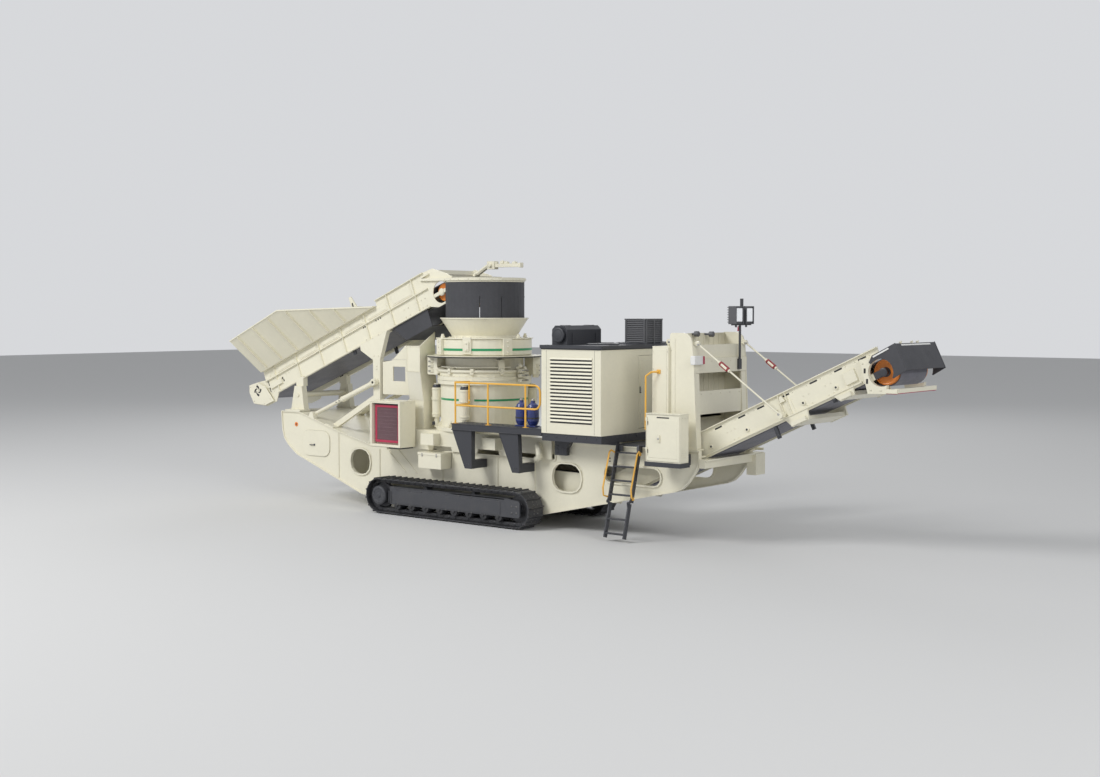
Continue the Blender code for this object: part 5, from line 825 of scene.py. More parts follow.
@dataclass(frozen=True)
class CrawlerDetail(Detail):
    """Link plates, shoe bolts, sprocket, hub cover and frame fittings of both crawlers."""

    centre_x: float = -0.12
    straight: float = 4.11
    radius: float = 0.394
    axle: float = 0.42
    middle_y: float = 1.35
    shoe_pitch: float = 0.19
    shoe_thickness: float = 0.022
    chain_depth: float = 0.085
    link_gap: float = 0.10
    link_thickness: float = 0.022
    teeth: int = 17
    bottom_rollers: int = 8

    def build(self) -> None:
        """Build both crawlers' detail."""
        for side, label in SIDES.items():
            self.chain(side, label)
            self.frame(side, label)

    def place(self, distance: float, offset: float) -> tuple[Vector, Vector]:
        """A place on the crawler's loop and the direction outward there.

        Args:
            distance: Distance along the loop.
            offset: Distance outward from the shoes' faces.

        Returns:
            The (x, z) place and the outward direction.
        """
        leg_length = self.straight + math.pi * self.radius
        leg, rest = divmod(distance % (2 * leg_length), leg_length)
        sign = 1.0 if leg == 0 else -1.0
        reach = self.radius + offset
        if rest < self.straight:
            along = self.centre_x + sign * (rest - self.straight / 2)
            return Vector((along, self.axle - sign * reach)), Vector((0.0, -sign))
        angle = (rest - self.straight) / self.radius - math.pi / 2
        outward = Vector((math.cos(angle), math.sin(angle))) * sign
        return Vector((self.centre_x + sign * self.straight / 2, self.axle)) + outward * reach, outward

    def chain(self, side: int, label: str) -> None:
        """Link plates with their pins along the chain, and four bolts on each shoe.

        Args:
            side: -1 for the near crawler and 1 for the far one.
            label: Word for the side.
        """
        lap = 2 * (self.straight + math.pi * self.radius)
        count = round(lap / self.shoe_pitch)
        pitch = lap / count
        links = self.piece(f"crawler_links_{label}", "track")
        bolts = self.piece(f"crawler_bolts_{label}", "zinc_dark")
        depth = -self.shoe_thickness - self.chain_depth / 2
        for i in range(count):
            here, outward = self.place((i + 0.5) * pitch, depth)
            before, _ = self.place((i + 0.02) * pitch, depth)
            after, _ = self.place((i + 0.98) * pitch, depth)
            along = (after - before).normalized() * 0.030
            square = outward * self.chain_depth * 0.44
            end = square * 0.8
            link = [before - along, before - end, here - square, after - end, after + along, after + end,
                    here + square * 0.9, before + end]
            for outer in (-1, 1):
                y = side * self.middle_y + outer * self.link_gap
                y_out = y + outer * self.link_thickness
                links.plate(link, Axis.Y, y, y_out, 0.004)
                links.rod((before.x, y, before.y), (before.x, y_out + outer * 0.014, before.y), 0.020, 10)
            for share in (0.42, 0.76):
                foot, away = self.place((i + share) * pitch, 0.0)
                bolts.bolts([(foot.x, side * self.middle_y + reach, foot.y) for reach in (-0.06, 0.06)],
                            (away.x, 0.0, away.y), 0.012)

    def frame(self, side: int, label: str) -> None:
        """Hub cover, sprocket teeth, side panel, roller caps and bolts of one side frame.

        Args:
            side: -1 for the near crawler and 1 for the far one.
            label: Word for the side.
        """
        low, high = self.box(f"track_frame_{label}")
        face = low.y if side < 0 else high.y
        middle = side * self.middle_y
        out = facing(side)
        left, right = self.centre_x - self.straight / 2, self.centre_x + self.straight / 2
        hub = self.piece(f"crawler_hub_{label}", "track_frame")
        hub.turned([(0.205, 0.0), (0.205, 0.012), (0.190, 0.020), (0.150, 0.022), (0.142, 0.014),
                    (0.060, 0.014), (0.052, 0.028), (0.030, 0.030)],
                   (left, face - side * SEAT, self.axle), out, 40)
        hub.bolts(around((left, self.axle), face + side * 0.017, 0.172, 12), out, 0.011)
        wheel = self.radius - self.shoe_thickness - self.chain_depth - 0.012
        tooth = [(wheel - 0.03, -0.035), (wheel - 0.03, 0.035), (wheel + 0.03, 0.012),
                 (wheel + 0.03, -0.012)]
        for i in range(self.teeth):
            spoke = Slope((left, self.axle), 2 * math.pi * i / self.teeth)
            hub.plate(spoke.trace(tooth), Axis.Y, middle - 0.03, middle + 0.03)
        for x in (left + 0.31, left + 0.40):
            hub.block((x, face, self.axle - 0.15), (x + 0.03, face - side * 0.05, self.axle + 0.13))
        hub.block((left + 0.52, face - side * SEAT, self.axle - 0.145),
                  (right - 0.42, face + side * 0.010, self.axle + 0.155), 0.006)
        hub.block((left + 0.47, face, self.axle + 0.196), (right - 0.30, face - side * 0.10,
                                                           self.axle + 0.228), 0.005)
        caps = self.piece(f"crawler_rollers_{label}", "track")
        roller_z = self.axle - self.radius + self.shoe_thickness + self.chain_depth + 0.10
        for x in spread(left + 0.565, right - 0.505, self.bottom_rollers):
            for outer in (-1, 1):
                caps.turned([(0.100, 0.0), (0.100, 0.020), (0.060, 0.030), (0.042, 0.030), (0.036, 0.052),
                             (0.018, 0.056)], (x, middle + outer * 0.168, roller_z), facing(outer), 20)
        caps.turned([(0.30, 0.0), (0.30, 0.012), (0.24, 0.02), (0.12, 0.02), (0.10, 0.05), (0.05, 0.055)],
                    (right, middle + side * 0.05, self.axle), out, 32)
        fittings = self.piece(f"crawler_fittings_{label}", "zinc_dark")
        edge_x = spread(left + 0.60, right - 0.50, 9)
        fittings.bolts([(x, face, self.axle + z) for x in edge_x for z in (-0.162, 0.180)], out, 0.014)
        fittings.bolts([(right + x, face, self.axle + z) for x in (0.03, -0.10)
                        for z in (0.07, -0.07)], out, 0.016)


@dataclass(frozen=True)
class ChassisDetail(Detail):
    """Marks, cover handle, stiffeners and weld beads on the chassis side plates."""

    plate_y: float = 1.0
    rim_y: float = 1.03
    mark_places: tuple[Pair, ...] = ((-5.63, 1.86), (5.60, 1.76))
    cover_low: Pair = (-5.18, 1.32)
    cover_high: Pair = (-4.62, 1.54)
    cover_corner: float = 0.206
    holes: tuple[tuple[float, float, float, float], ...] = ((-3.35, 1.08, 0.33, 0.30),
                                                            (2.89, 1.135, 0.39, 0.295))

    def build(self) -> None:
        """Build the detail on both side plates."""
        seams = self.piece("chassis_cover_seam_shade", "cream_painted_shade")
        marks = self.piece("chassis_lifting_marks", "orange_mark")
        steel = self.piece("chassis_steel_fittings", "zinc_dark")
        ribs = self.piece("chassis_stiffeners", "cream")
        for side in SIDES:
            out = facing(side)
            y = side * self.plate_y
            for x, z in self.mark_places:
                marks.turned([(0.055, -0.003), (0.055, 0.007), (0.048, 0.010), (0.026, 0.010),
                              (0.024, 0.002)], (x, y, z), out, 20)
                steel.turned([(0.024, -0.003), (0.024, 0.004), (0.012, 0.006)], (x, y, z), out, 12)
            # A thin bead round the nose cover, in darker cream that paints the shade along the cover's edge.
            seams.tube([(x, y, z) for x, z in self.cover_edge()], 0.006, 6, 1)
            cover = y + side * 0.025
            steel.tube([(-5.09, cover, 1.385), (-5.09, cover + side * 0.03, 1.385),
                        (-4.97, cover + side * 0.03, 1.39), (-4.95, cover, 1.39)], 0.010, 8, 3)
            steel.turned([(0.026, -0.003), (0.026, 0.010), (0.012, 0.014)], (-4.95, cover, 1.39), out, 14)
            steel.bolts([(x, y, z) for x in (4.02, 4.16, 5.02, 5.16) for z in (1.62, 1.56)], out, 0.013)
            for left, right in ((-2.52, -1.90), (-2.14, -1.54)):
                rib = [(left, 1.44), (left + 0.06, 1.44), (right + 0.06, 0.93), (right, 0.93)]
                ribs.plate(rib, Axis.Y, y - side * 0.003, y + side * 0.016)
            for hole in self.holes:
                ribs.tube([(x, y, z) for x, z in self.weld(*hole)], 0.007, 6, 1)
            for x in (-0.70, 0.95, 2.00):
                for lean in (-1, 1):
                    gusset = [(x + lean * 0.018, 0.322), (x + lean * 0.10, 0.322), (x + lean * 0.018, 0.44)]
                    ribs.plate(gusset, Axis.Y, side * (self.plate_y - SINK), side * (self.rim_y - 0.004))

    def cover_edge(self) -> Outline:
        """The nose cover's rounded edge, closed on itself."""
        (left, low), (right, high) = self.cover_low, self.cover_high
        corners = ((right, high), (left, high), (left, low), (right, low))
        edge = [point for i, corner in enumerate(corners) for point in arc(corner, self.cover_corner,
                                                                           90.0 * i, 90.0 * i + 90.0, 6)]
        return [*edge, edge[0]]

    def weld(self, x: float, z: float, half: float, tall: float) -> Outline:
        """The weld bead round an access hole's collar, as a full oval.

        Args:
            x: The hole's centre along the plant.
            z: Its height.
            half: Half its length.
            tall: Half its height.

        Returns:
            The bead's line, closed on itself.
        """
        squareness, beyond, steps = 0.7, 0.035, 40
        bead = []
        for i in range(steps + 1):
            across, up = polar((0.0, 0.0), 1.0, 360.0 * i / steps)
            bead.append((x + (half + beyond) * math.copysign(abs(across) ** squareness, across),
                         z + (tall + beyond) * math.copysign(abs(up) ** squareness, up)))
        return bead


@dataclass(frozen=True)
class CrusherDetail(Detail):
    """Stripes, lips, bolts, clamp brackets, caps and manifolds of the cone crusher."""

    centre: Pair = (CRUSHER_X, 0.0)
    bowl_radius: float = 1.09
    drum_radius: float = 1.01
    neck_radius: float = 0.90
    skirt_radius: float = 0.918
    skirt_top: float = 5.35
    ring_height: float = 0.065
    cylinder_angles: tuple[float, ...] = (-141.0, -73.0, 39.0, 107.0)
    clamp_angles: tuple[float, ...] = (-112.0, -22.0, 68.0, 158.0)
    slit_angles: tuple[float, ...] = (-55.5, -24.0, 7.5, 39.0, 70.5)

    def build(self) -> None:
        """Build the crusher's detail, from the bowl up and down."""
        self.stripes()
        self.bowl()
        self.seal()
        self.drum()
        self.pipes()
        self.skirt()

    def at(self, angle: float, radius: float, z: float) -> Point:
        """A point on a circle round the crusher's axis, angle in degrees."""
        return (*polar(self.centre, radius, angle), z)

    def ring(self, count: int, radius: float, z: float, first: float = 0.0) -> list[Point]:
        """Evenly spaced points on a circle round the crusher's axis."""
        return [self.at(first + 360.0 * i / count, radius, z) for i in range(count)]

    def out(self, angle: float) -> Point:
        """The outward direction at an angle in degrees."""
        return (*polar((0.0, 0.0), 1.0, angle), 0.0)

    def turn(self, angle: float) -> Matrix:
        """The move that brings a piece drawn along +X to an angle round the crusher."""
        return spun((*self.centre, 0.0), angle)

    def hoop(self, shape: Shape, profile: Outline) -> None:
        """A ring round the crusher's axis, with a profile of (radius, height)."""
        shape.turned(profile, (*self.centre, 0.0), sides=72, closed=True)

    def band(self, shape: Shape, radius: float, low: float, high: float, first: float, last: float,
             thick: float = 0.004) -> None:
        """A band that wraps a cylinder between two angles.

        Args:
            shape: The piece that takes the band.
            radius: Radius of the wrapped cylinder.
            low: Lower edge.
            high: Upper edge.
            first: Start angle in degrees.
            last: End angle in degrees.
            thick: How far it stands proud.
        """
        inner, outer = radius - 0.006, radius + thick
        corners = ((inner, low), (outer, low), (outer, high), (inner, high))
        steps = max(2, round((last - first) / 4.5))
        shape.loft([[Vector(self.at(angle, *corner)) for corner in corners]
                    for angle in spread(first, last, steps + 1)])

    def stripes(self) -> None:
        """The plain green stripes round the bowl and the lower drum."""
        stripe = self.piece("crusher_stripes", "green")
        for angle in self.clamp_angles:
            self.band(stripe, self.bowl_radius, 3.773, 3.825, angle + 5.5, angle + 84.0)
        for first, last in ((-128.0, -84.0), (-62.0, 28.0), (50.0, 96.0), (118.0, 208.0)):
            self.band(stripe, self.drum_radius, 2.645, 2.690, first, last)

    def bowl(self) -> None:
        """Lip, clamp brackets, lugs and bolts of the bowl and the funnel over it."""
        cream = self.piece("bowl_fittings", "cream")
        wall = self.bowl_radius
        self.hoop(cream, [(wall - 0.02, 4.035), (wall + 0.028, 4.035), (wall + 0.028, 4.058),
                          (wall - 0.10, 4.058)])
        for angle in self.clamp_angles:
            turn = self.turn(angle)
            cream.block((wall + 0.048, -0.115, 3.675), (wall + 0.072, 0.115, 4.035), 0.006, turn)
            cream.bolts([turn @ Vector((wall + 0.072, 0.0, z)) for z in (3.74, 3.86, 3.98)],
                        self.out(angle), 0.020)
        lug_angle = -69.5
        turn = self.turn(lug_angle)
        cream.block((wall - 0.02, -0.10, 3.70), (wall + 0.035, 0.10, 4.075), 0.008, turn)
        cream.block((wall + 0.03, -0.055, 3.76), (wall + 0.062, 0.055, 3.98), 0.006, turn)
        cream.bolts([turn @ Vector((wall + 0.062, 0.0, z)) for z in (3.80, 3.94)],
                    self.out(lug_angle), 0.018)
        for angle in (-112.0, -3.0, 68.0, 158.0):
            cream.turned([(0.046, 0.0), (0.046, 0.045), (0.032, 0.055), (0.032, 0.085), (0.020, 0.092)],
                         self.at(angle, wall - 0.03, 4.056), sides=14)
        cream.bolts(self.ring(36, wall + 0.022, 3.657), (0.0, 0.0, -1.0), 0.013)
        cream.bolts(self.ring(24, 0.80, 4.069, 4.0), UP, 0.014)
        self.hoop(cream, [(0.985, 4.485), (1.018, 4.487), (1.018, 4.512), (0.985, 4.512)])
        cream.bolt(self.at(-48.0, 1.0, 4.46), self.out(-48.0), 0.014)

    def seal(self) -> None:
        """The dark seal ring under the bowl and the thin cover on it."""
        neck, rim = self.neck_radius, self.bowl_radius + 0.22
        cover = self.piece("bowl_seal_cover", "cream")
        self.hoop(cover, [(neck, 3.6425), (rim + 0.005, 3.6425), (rim + 0.005, 3.652), (neck, 3.656)])
        dark = self.piece("bowl_seal_ring", "black_rubber_and_shade")
        self.hoop(dark, [(neck, 3.610), (rim, 3.616), (rim, 3.642), (neck, 3.642)])

    def drum(self) -> None:
        """Caps and bands on the release cylinders, a lip, flange bolts and stiffeners on the drum."""
        cream = self.piece("crusher_frame_fittings", "cream")
        dark = self.piece("release_cylinder_caps", "black")
        wall = self.drum_radius
        reach = wall + 0.09
        for angle in self.cylinder_angles:
            foot = self.at(angle, reach, 0.0)
            dark.turned([(0.095, 2.905), (0.098, 2.935), (0.080, 2.975), (0.040, 2.995),
                         (0.012, 3.0)], foot, sides=20)
            dark.turned([(0.036, 2.05), (0.036, 2.11), (0.022, 2.13)],
                        self.at(angle + 1.5, reach + 0.075, 0.0), sides=12)
            for low in (2.28, 2.62, 2.86):
                cream.turned([(0.108, low), (0.122, low + 0.004), (0.122, low + 0.030),
                              (0.108, low + 0.034)], foot, sides=24)
            cream.bolts([self.at(angle + lean, reach + 0.12, 2.68) for lean in (-7.84, 7.84)],
                        self.out(angle), 0.012)
        self.hoop(cream, [(wall - 0.01, 3.098), (wall + 0.082, 3.100), (wall + 0.082, 3.118),
                          (wall - 0.01, 3.120)])
        cream.bolts(self.ring(40, wall + 0.055, 3.192), UP, 0.014)
        cream.bolts(self.ring(24, wall + 0.09, 2.03), UP, 0.014)
        stiffener = ((-0.06, -0.05), (0.055, -0.05), (0.04, -0.02), (-0.06, 0.14))
        for i, foot in enumerate(self.ring(12, wall + 0.05, 2.07, -157.0)):
            turn = spun(foot, -157.0 + 30.0 * i)
            cream.loft([[turn @ Vector((x, half, z)) for x, z in stiffener] for half in (-0.007, 0.007)])

    def pipes(self) -> None:
        """The pipe ring round the neck, its brackets and its manifolds."""
        cream = self.piece("crusher_pipework", "cream")
        neck = self.neck_radius
        cream.tube([self.at(-176.0 + 4.0 * i, neck + 0.145, 3.31) for i in range(48)], 0.038, 10, 1)
        cream.tube([self.at(-168.0 + 4.0 * i, neck + 0.10, 3.40) for i in range(40)], 0.016, 8, 1)
        for angle in (-158.0, -128.0, -96.0, -64.0, -27.0, 5.0):
            turn = self.turn(angle)
            cream.block((neck - 0.01, -0.045, 3.24), (neck + 0.20, 0.045, 3.375), 0.006, turn)
            cream.bolt(turn @ Vector((neck + 0.20, 0.0, 3.31)), self.out(angle), 0.016)
        cream.block((neck - 0.01, -0.075, 3.30), (neck + 0.130, 0.075, 3.58), 0.006, self.turn(-27.0))
        self.manifolds(cream)

    def manifolds(self, cream: Shape) -> None:
        """Three manifolds of stacked blocks with pipe unions and two caps each.

        Args:
            cream: The piece that takes the painted blocks.
        """
        steel = self.piece("crusher_pipe_fittings", "zinc")
        reach = self.neck_radius + 0.20
        union = [(0.020, 0.0), (0.020, 0.03), (0.014, 0.035), (0.014, 0.06)]
        for angle, size, base in ((-141.0, 1.0, 3.24), (41.0, 0.85, 3.14), (-1.0, 0.75, 3.06)):
            turn, out = self.turn(angle), self.out(angle)
            for i in range(3):
                z = base + 0.11 * i
                cream.block((reach, -0.16 * size, z), (reach + 0.17 * size, -0.02, z + 0.085), 0.008, turn)
                cream.block((reach, 0.02, z + 0.02), (reach + 0.13 * size, 0.15 * size,
                                                      z + 0.10), 0.008, turn)
                for across in (-0.12, -0.06, 0.06, 0.11):
                    steel.turned(union, turn @ Vector((reach + 0.13 * size, across * size,
                                                       z + 0.05)), out, 6)
            cap = [(radius * size, height) for radius, height in ((0.052, -0.06), (0.052, 0.020),
                                                                  (0.066, 0.026), (0.066, 0.060),
                                                                  (0.040, 0.070))]
            for across, height in ((-0.08, 0.36), (0.07, 0.30)):
                cream.turned(cap, turn @ Vector((reach + 0.02, across, base + height)),
                             (out[0], out[1], 0.55), 18)

    def skirt(self) -> None:
        """Bolts on the skirt's ring, the clamp strip over the rubber, and fittings on the level arm."""
        cream = self.piece("skirt_ring_fittings", "cream")
        low = self.skirt_top
        for angle in spread(-150.0, 150.0, 20):
            cream.bolt(self.at(angle, self.skirt_radius + 0.035, low + 0.032), self.out(angle), 0.010)
        self.band(cream, self.skirt_radius, low - 0.032, low - 0.004, -118.0, 118.0, 0.008)
        x = self.centre[0]
        top = low + self.ring_height
        for step, tall in ((0.30, 0.05), (0.50, 0.07), (0.62, 0.05), (0.86, 0.045)):
            cream.block((x + step, -0.045, top + 0.315), (x + step + 0.10, 0.045,
                                                          top + 0.315 + tall), 0.008)
            cream.bolt((x + step + 0.05, 0.0, top + 0.315 + tall), UP, 0.016)
        cream.block((x + 1.06, -0.062, top + 0.225), (x + 1.12, 0.062, top + 0.335), 0.010)
        cream.rod((x + 0.24, -0.11, top + 0.29), (x + 0.24, 0.11, top + 0.29), 0.045, 20)
        cream.rod((x - 0.24, -0.09, top + 0.075), (x - 0.24, 0.09, top + 0.075), 0.040, 20)
        dark = self.piece("skirt_slit_eyes", "black_rubber_and_shade")
        # Dark discs at the slits' ends paint the shade in their holes.
        for angle in self.slit_angles:
            dark.turned([(0.016, -0.004), (0.016, 0.003), (0.008, 0.004)],
                        self.at(angle, self.skirt_radius, 4.985), self.out(angle), 12)


@dataclass(frozen=True)
class FeedDetail(Detail):
    """Pressed panels, guards, take-up screws, bolts and return brackets of the feed conveyor."""

    line: Slope = FEED_LINE
    length: float = 6.80
    half: float = 0.75
    guard: float = 0.80
    tier: float = 0.11
    crease: float = 0.365
    board_top: float = 0.515
    board_from: float = 4.7
    first_rib: float = 0.75
    rib_pitch: float = 0.88
    bays: int = 6

    def build(self) -> None:
        """Build the feed conveyor's detail."""
        panels = self.piece("feed_pressed_panels", "cream")
        plates = self.piece("feed_plates", "cream")
        dark = self.piece("feed_opening_shade_and_bolts", "black_rubber_and_shade")
        brackets = self.piece("feed_return_brackets", "black")
        for side in SIDES:
            self.panels(panels, side)
            self.spiral(plates, dark, side)
            self.tail(plates, dark, side)
            self.head(plates, dark, side)
            for u in (1.5, 3.6, 5.4):
                bracket = self.line.bar((u - 0.05, -0.42), (u + 0.05, -0.20))
                brackets.plate(bracket, Axis.Y, side * 0.70, side * 0.728)

    def panels(self, shape: Shape, side: int) -> None:
        """A pressed panel in each bay between the ribs, and a strip beside each rib.

        Args:
            shape: The piece that takes the panels.
            side: -1 for the near beam and 1 for the far one.
        """
        y = side * self.half
        for i in range(self.bays + 1):
            u = self.first_rib + self.rib_pitch * i
            shape.raised(self.line.bar((u - 0.03, -0.30), (u - 0.018, self.tier - 0.012)), side, y, 0.004)
            if i == self.bays:
                break
            end = u + self.rib_pitch
            top = self.crease - 0.05 if u < self.board_from else self.board_top - 0.07
            shape.raised(self.line.bar((u + 0.09, self.tier + 0.045), (end - 0.09, top)), side,
                         y, 0.010, 0.014)
            field = self.line.bar((u + 0.13, self.tier + 0.075), (end - 0.13, top - 0.03))
            shape.plate(field, Axis.Y, y + side * 0.008, y + side * 0.016, 0.010)

    def spiral(self, plates: Shape, dark: Shape, side: int) -> None:
        """The tail guard with its four curved openings round a boss.

        Args:
            plates: Takes the cream pieces.
            dark: Takes the dark plates that paint the shade in the openings.
            side: -1 for the near side and 1 for the far one.
        """
        y = side * self.guard
        guard = [(-0.27, 0.235), (0.055, 0.19), (0.30, -0.02), (0.47, -0.46), (0.12, -0.455),
                 (-0.29, -0.262), (-0.345, 0.055)]
        plates.raised(self.line.trace(guard), side, y, 0.012, 0.006)
        centre = self.line.at(-0.01, -0.014)
        steps = 8
        for k in range(4):
            edge = []
            for i in range(2 * steps):
                t = i / steps if i <= steps else 2.0 - i / steps
                width = 0.0 if i <= steps else 60.0 * math.sin(math.pi * t)
                edge.append(polar(centre, 0.036 + 0.110 * t, 90.0 * k + 105.0 * t + width))
            # Dark plate that paints the shade seen through a curved opening.
            dark.plate(edge, Axis.Y, y + side * 0.008, y + side * 0.0145)
        plates.turned([(0.030, 0.0), (0.030, 0.016), (0.018, 0.022)], (centre[0], y, centre[1]),
                      facing(side), 20)

    def tail(self, plates: Shape, dark: Shape, side: int) -> None:
        """The take-up screw in its slot, and the bolts round it and the guard.

        Args:
            plates: Takes the cream pieces.
            dark: Takes the dark plates that paint the shade in the slot and holes.
            side: -1 for the near side and 1 for the far one.
        """
        beam = side * self.half
        line = self.line
        plates.raised(line.bar((0.45, -0.145), (0.93, 0.0)), side, beam, 0.045, 0.012)
        # Dark plates paint the shade in the screw's slot and in two holes.
        dark.raised(line.bar((0.385, -0.20), (0.410, 0.105)), side, beam, 0.003)
        for u, w in ((0.93, -0.05), (0.955, -0.12)):
            dark.raised(line.bar((u, w), (u + 0.035, w + 0.055)), side, beam, 0.006)
        plates.rod(line.on(0.36, -0.07, beam + side * 0.02),
                   line.on(0.46, -0.07, beam + side * 0.02), 0.022, 12)
        guard_bolts = ((-0.24, 0.17), (0.03, 0.14), (0.36, -0.36), (0.10, -0.40), (-0.25, -0.21))
        beam_bolts = ((0.52, 0.20), (0.70, 0.20), (0.52, -0.22), (1.10, 0.03), (1.22, 0.03))
        for places, y in ((guard_bolts, side * (self.guard + 0.012)), (beam_bolts, beam)):
            plates.bolts([line.on(u, w, y) for u, w in places], facing(side), 0.013)

    def head(self, plates: Shape, dark: Shape, side: int) -> None:
        """Joint bolts, the bearing housing and the lug near the head.

        Args:
            plates: Takes the cream pieces.
            dark: Takes dark bolts and the dark plate that paints the shade in the lug's slot.
            side: -1 for the near side and 1 for the far one.
        """
        y = side * self.half
        out = facing(side)
        line = self.line
        dark.bolts([line.on(u, 0.062, y) for u in (4.14, 4.20, 4.60, 4.68, 4.76)], out, 0.013)
        plates.bolts([line.on(u, w, y) for u in (5.55, 5.70, 6.15, 6.28)
                      for w in (-0.06, -0.24)], out, 0.013)
        drum = line.at(self.length, -0.12)
        plates.turned([(0.085, -0.01), (0.085, 0.035), (0.060, 0.055), (0.030, 0.058)],
                      (drum[0], side * 0.70, drum[1]), out, 24)
        plates.bolts(around(drum, side * 0.735, 0.068, 4, 45.0), out, 0.010)
        lug = line.trace([(4.10, 0.52), (4.28, 0.52), (4.16, 0.86), (4.08, 0.86)])
        plates.plate(lug, Axis.Y, side * 0.87, side * 0.90)
        # Dark plate that paints the shade in the lug's slot.
        dark.plate(line.bar((4.13, 0.60), (4.17, 0.70)), Axis.Y, side * 0.868, side * 0.902)
        brace = line.trace([(4.16, 0.40), (4.30, 0.40), (4.28, 0.56), (4.10, 0.56)])
        plates.plate(brace, Axis.Y, side * 0.75, side * 0.90)
        plates.plate(line.bar((6.34, 0.39), (6.62, 0.41)), Axis.Y, side * 0.745, side * 0.80)


@dataclass(frozen=True)
class HopperDetail(Detail):
    """Edge bolts, hinge pins and rear catches on the feed hopper."""

    line: Slope = FEED_LINE

    def build(self) -> None:
        """Build the hopper's detail."""
        shape = self.piece("hopper_fittings", "cream")
        for side in SIDES:
            shape.bolts([self.line.on(0.55 + 0.35 * i, 0.388, side * 0.82) for i in range(11)],
                        self.line.out(), 0.012)
            for u in (0.55, 1.9, 3.2, 4.3):
                shape.rod(self.line.on(u - 0.06, 0.395, side * 0.862),
                          self.line.on(u + 0.06, 0.395, side * 0.862), 0.018, 12)
        for y in (-0.55, 0.0, 0.55):
            foot = Vector(self.line.on(0.34, 0.42, y))
            shape.rod(foot - Vector((0.012, 0.0, 0.0)), foot - Vector((0.05, 0.0, -0.01)), 0.03, 12)


@dataclass(frozen=True)
class SupportDetail(Detail):
    """Cable chain, cylinder bands, pins and bolts on the feed conveyor's supports."""

    support_x: float = -2.97
    lift_foot: Pair = (-5.05, 2.13)
    lift_head: Pair = (-3.03, 2.95)

    def build(self) -> None:
        """Build the supports' detail."""
        cream = self.piece("support_fittings", "cream")
        dark = self.piece("support_pins", "black_rubber_and_shade")
        start, end = Vector(self.lift_foot), Vector(self.lift_head)
        for side in SIDES:
            out = facing(side)
            for share, size in ((0.49, 0.078), (0.53, 0.074), (0.97, 0.076)):
                here = start.lerp(end, share)
                after = start.lerp(end, share + 0.018)
                cream.rod((here.x, side * 0.91, here.y), (after.x, side * 0.91, after.y), size, 20)
            for x, z in ((self.support_x, 2.98), (self.lift_foot[0], 2.12)):
                dark.turned([(0.030, 0.0), (0.030, 0.014), (0.018, 0.020)], (x, side * 0.972, z), out, 14)
            for share in (0.40, 0.45):
                here = start.lerp(end, share)
                dark.turned([(0.012, 0.0), (0.012, 0.018), (0.006, 0.02)],
                            (here.x, side * 0.948, here.y), out, 10)
            places = [(-3.30, 3.98), (-3.10, 4.02), (-2.90, 4.10), (-3.05, 3.60), (-2.90, 3.60),
                      *((self.support_x + 0.01, z) for z in (1.62, 1.72, 3.28, 3.36))]
            cream.bolts([(x, side * 0.84, z) for x, z in places], out, 0.014)
            cream.bolts([(x, side * 0.93, 2.222) for x in (-5.94, -5.80, -5.60, -5.48)], UP, 0.014)
            cream.rod((-5.72, side * 0.855, 2.58), (-5.72, side * 0.885, 2.58), 0.05, 20)
        self.chute()
        self.cable_chain()

    def chute(self) -> None:
        """The lower panel of the scrapings chute and a line along the wall's groove, both in darker cream
        that paints their shade, and the chute's folded edges.
        """
        low, _ = self.box("scrapings_chute")
        shade = self.piece("chute_painted_shade_panel", "cream_painted_shade")
        # Darker cream on the lower panel and along the groove paints the shade that falls there.
        shade.raised([(-1.89, 3.255), (-1.47, 3.255), (-1.375, 2.61), (-1.79, 2.61)], -1, low.y, 0.004)
        shade.plate(rectangle((-2.50, 3.524), (-1.90, 3.540)), Axis.Y, -0.798, -0.806)
        lip = self.piece("chute_lips", "cream")
        for x in (-1.898, -1.480):
            lip.block((x, low.y - 0.010, 3.27), (x + 0.018, low.y + 0.004, 3.85), 0.003)
        for z in (3.262, 3.836):
            lip.block((-1.898, low.y - 0.010, z), (-1.462, low.y + 0.004, z + 0.018), 0.003)

    def cable_chain(self) -> None:
        """A chain of plastic links on its rail, up to the feed conveyor."""
        chain = self.piece("cable_chain", "black_rubber_and_shade")
        start, end = Vector((-5.30, 1.935)), Vector((-4.62, 2.345))
        run = end - start
        angle = math.degrees(math.atan2(run.y, run.x))
        count = 15
        for i in range(count):
            x, z = start + run * (i / count)
            turn = spun((x, 0.60, z), -angle, "Y")
            chain.block((0.0, -0.07, -0.045), (run.length / count * 0.82, 0.07, 0.045), 0.006, turn)
            chain.block((0.0, -0.085, -0.03), (run.length / count * 0.5, 0.085, 0.03), 0.004, turn)
        rail = self.piece("cable_chain_rail", "cream")
        turn = spun((start.x, 0.60, start.y), -angle, "Y")
        for near, far, high in ((-0.11, 0.11, -0.050), (-0.118, -0.106, -0.01), (0.106, 0.118, -0.01)):
            rail.block((-0.05, near, -0.075), (run.length * 2.35, far, high), 0.004, turn)


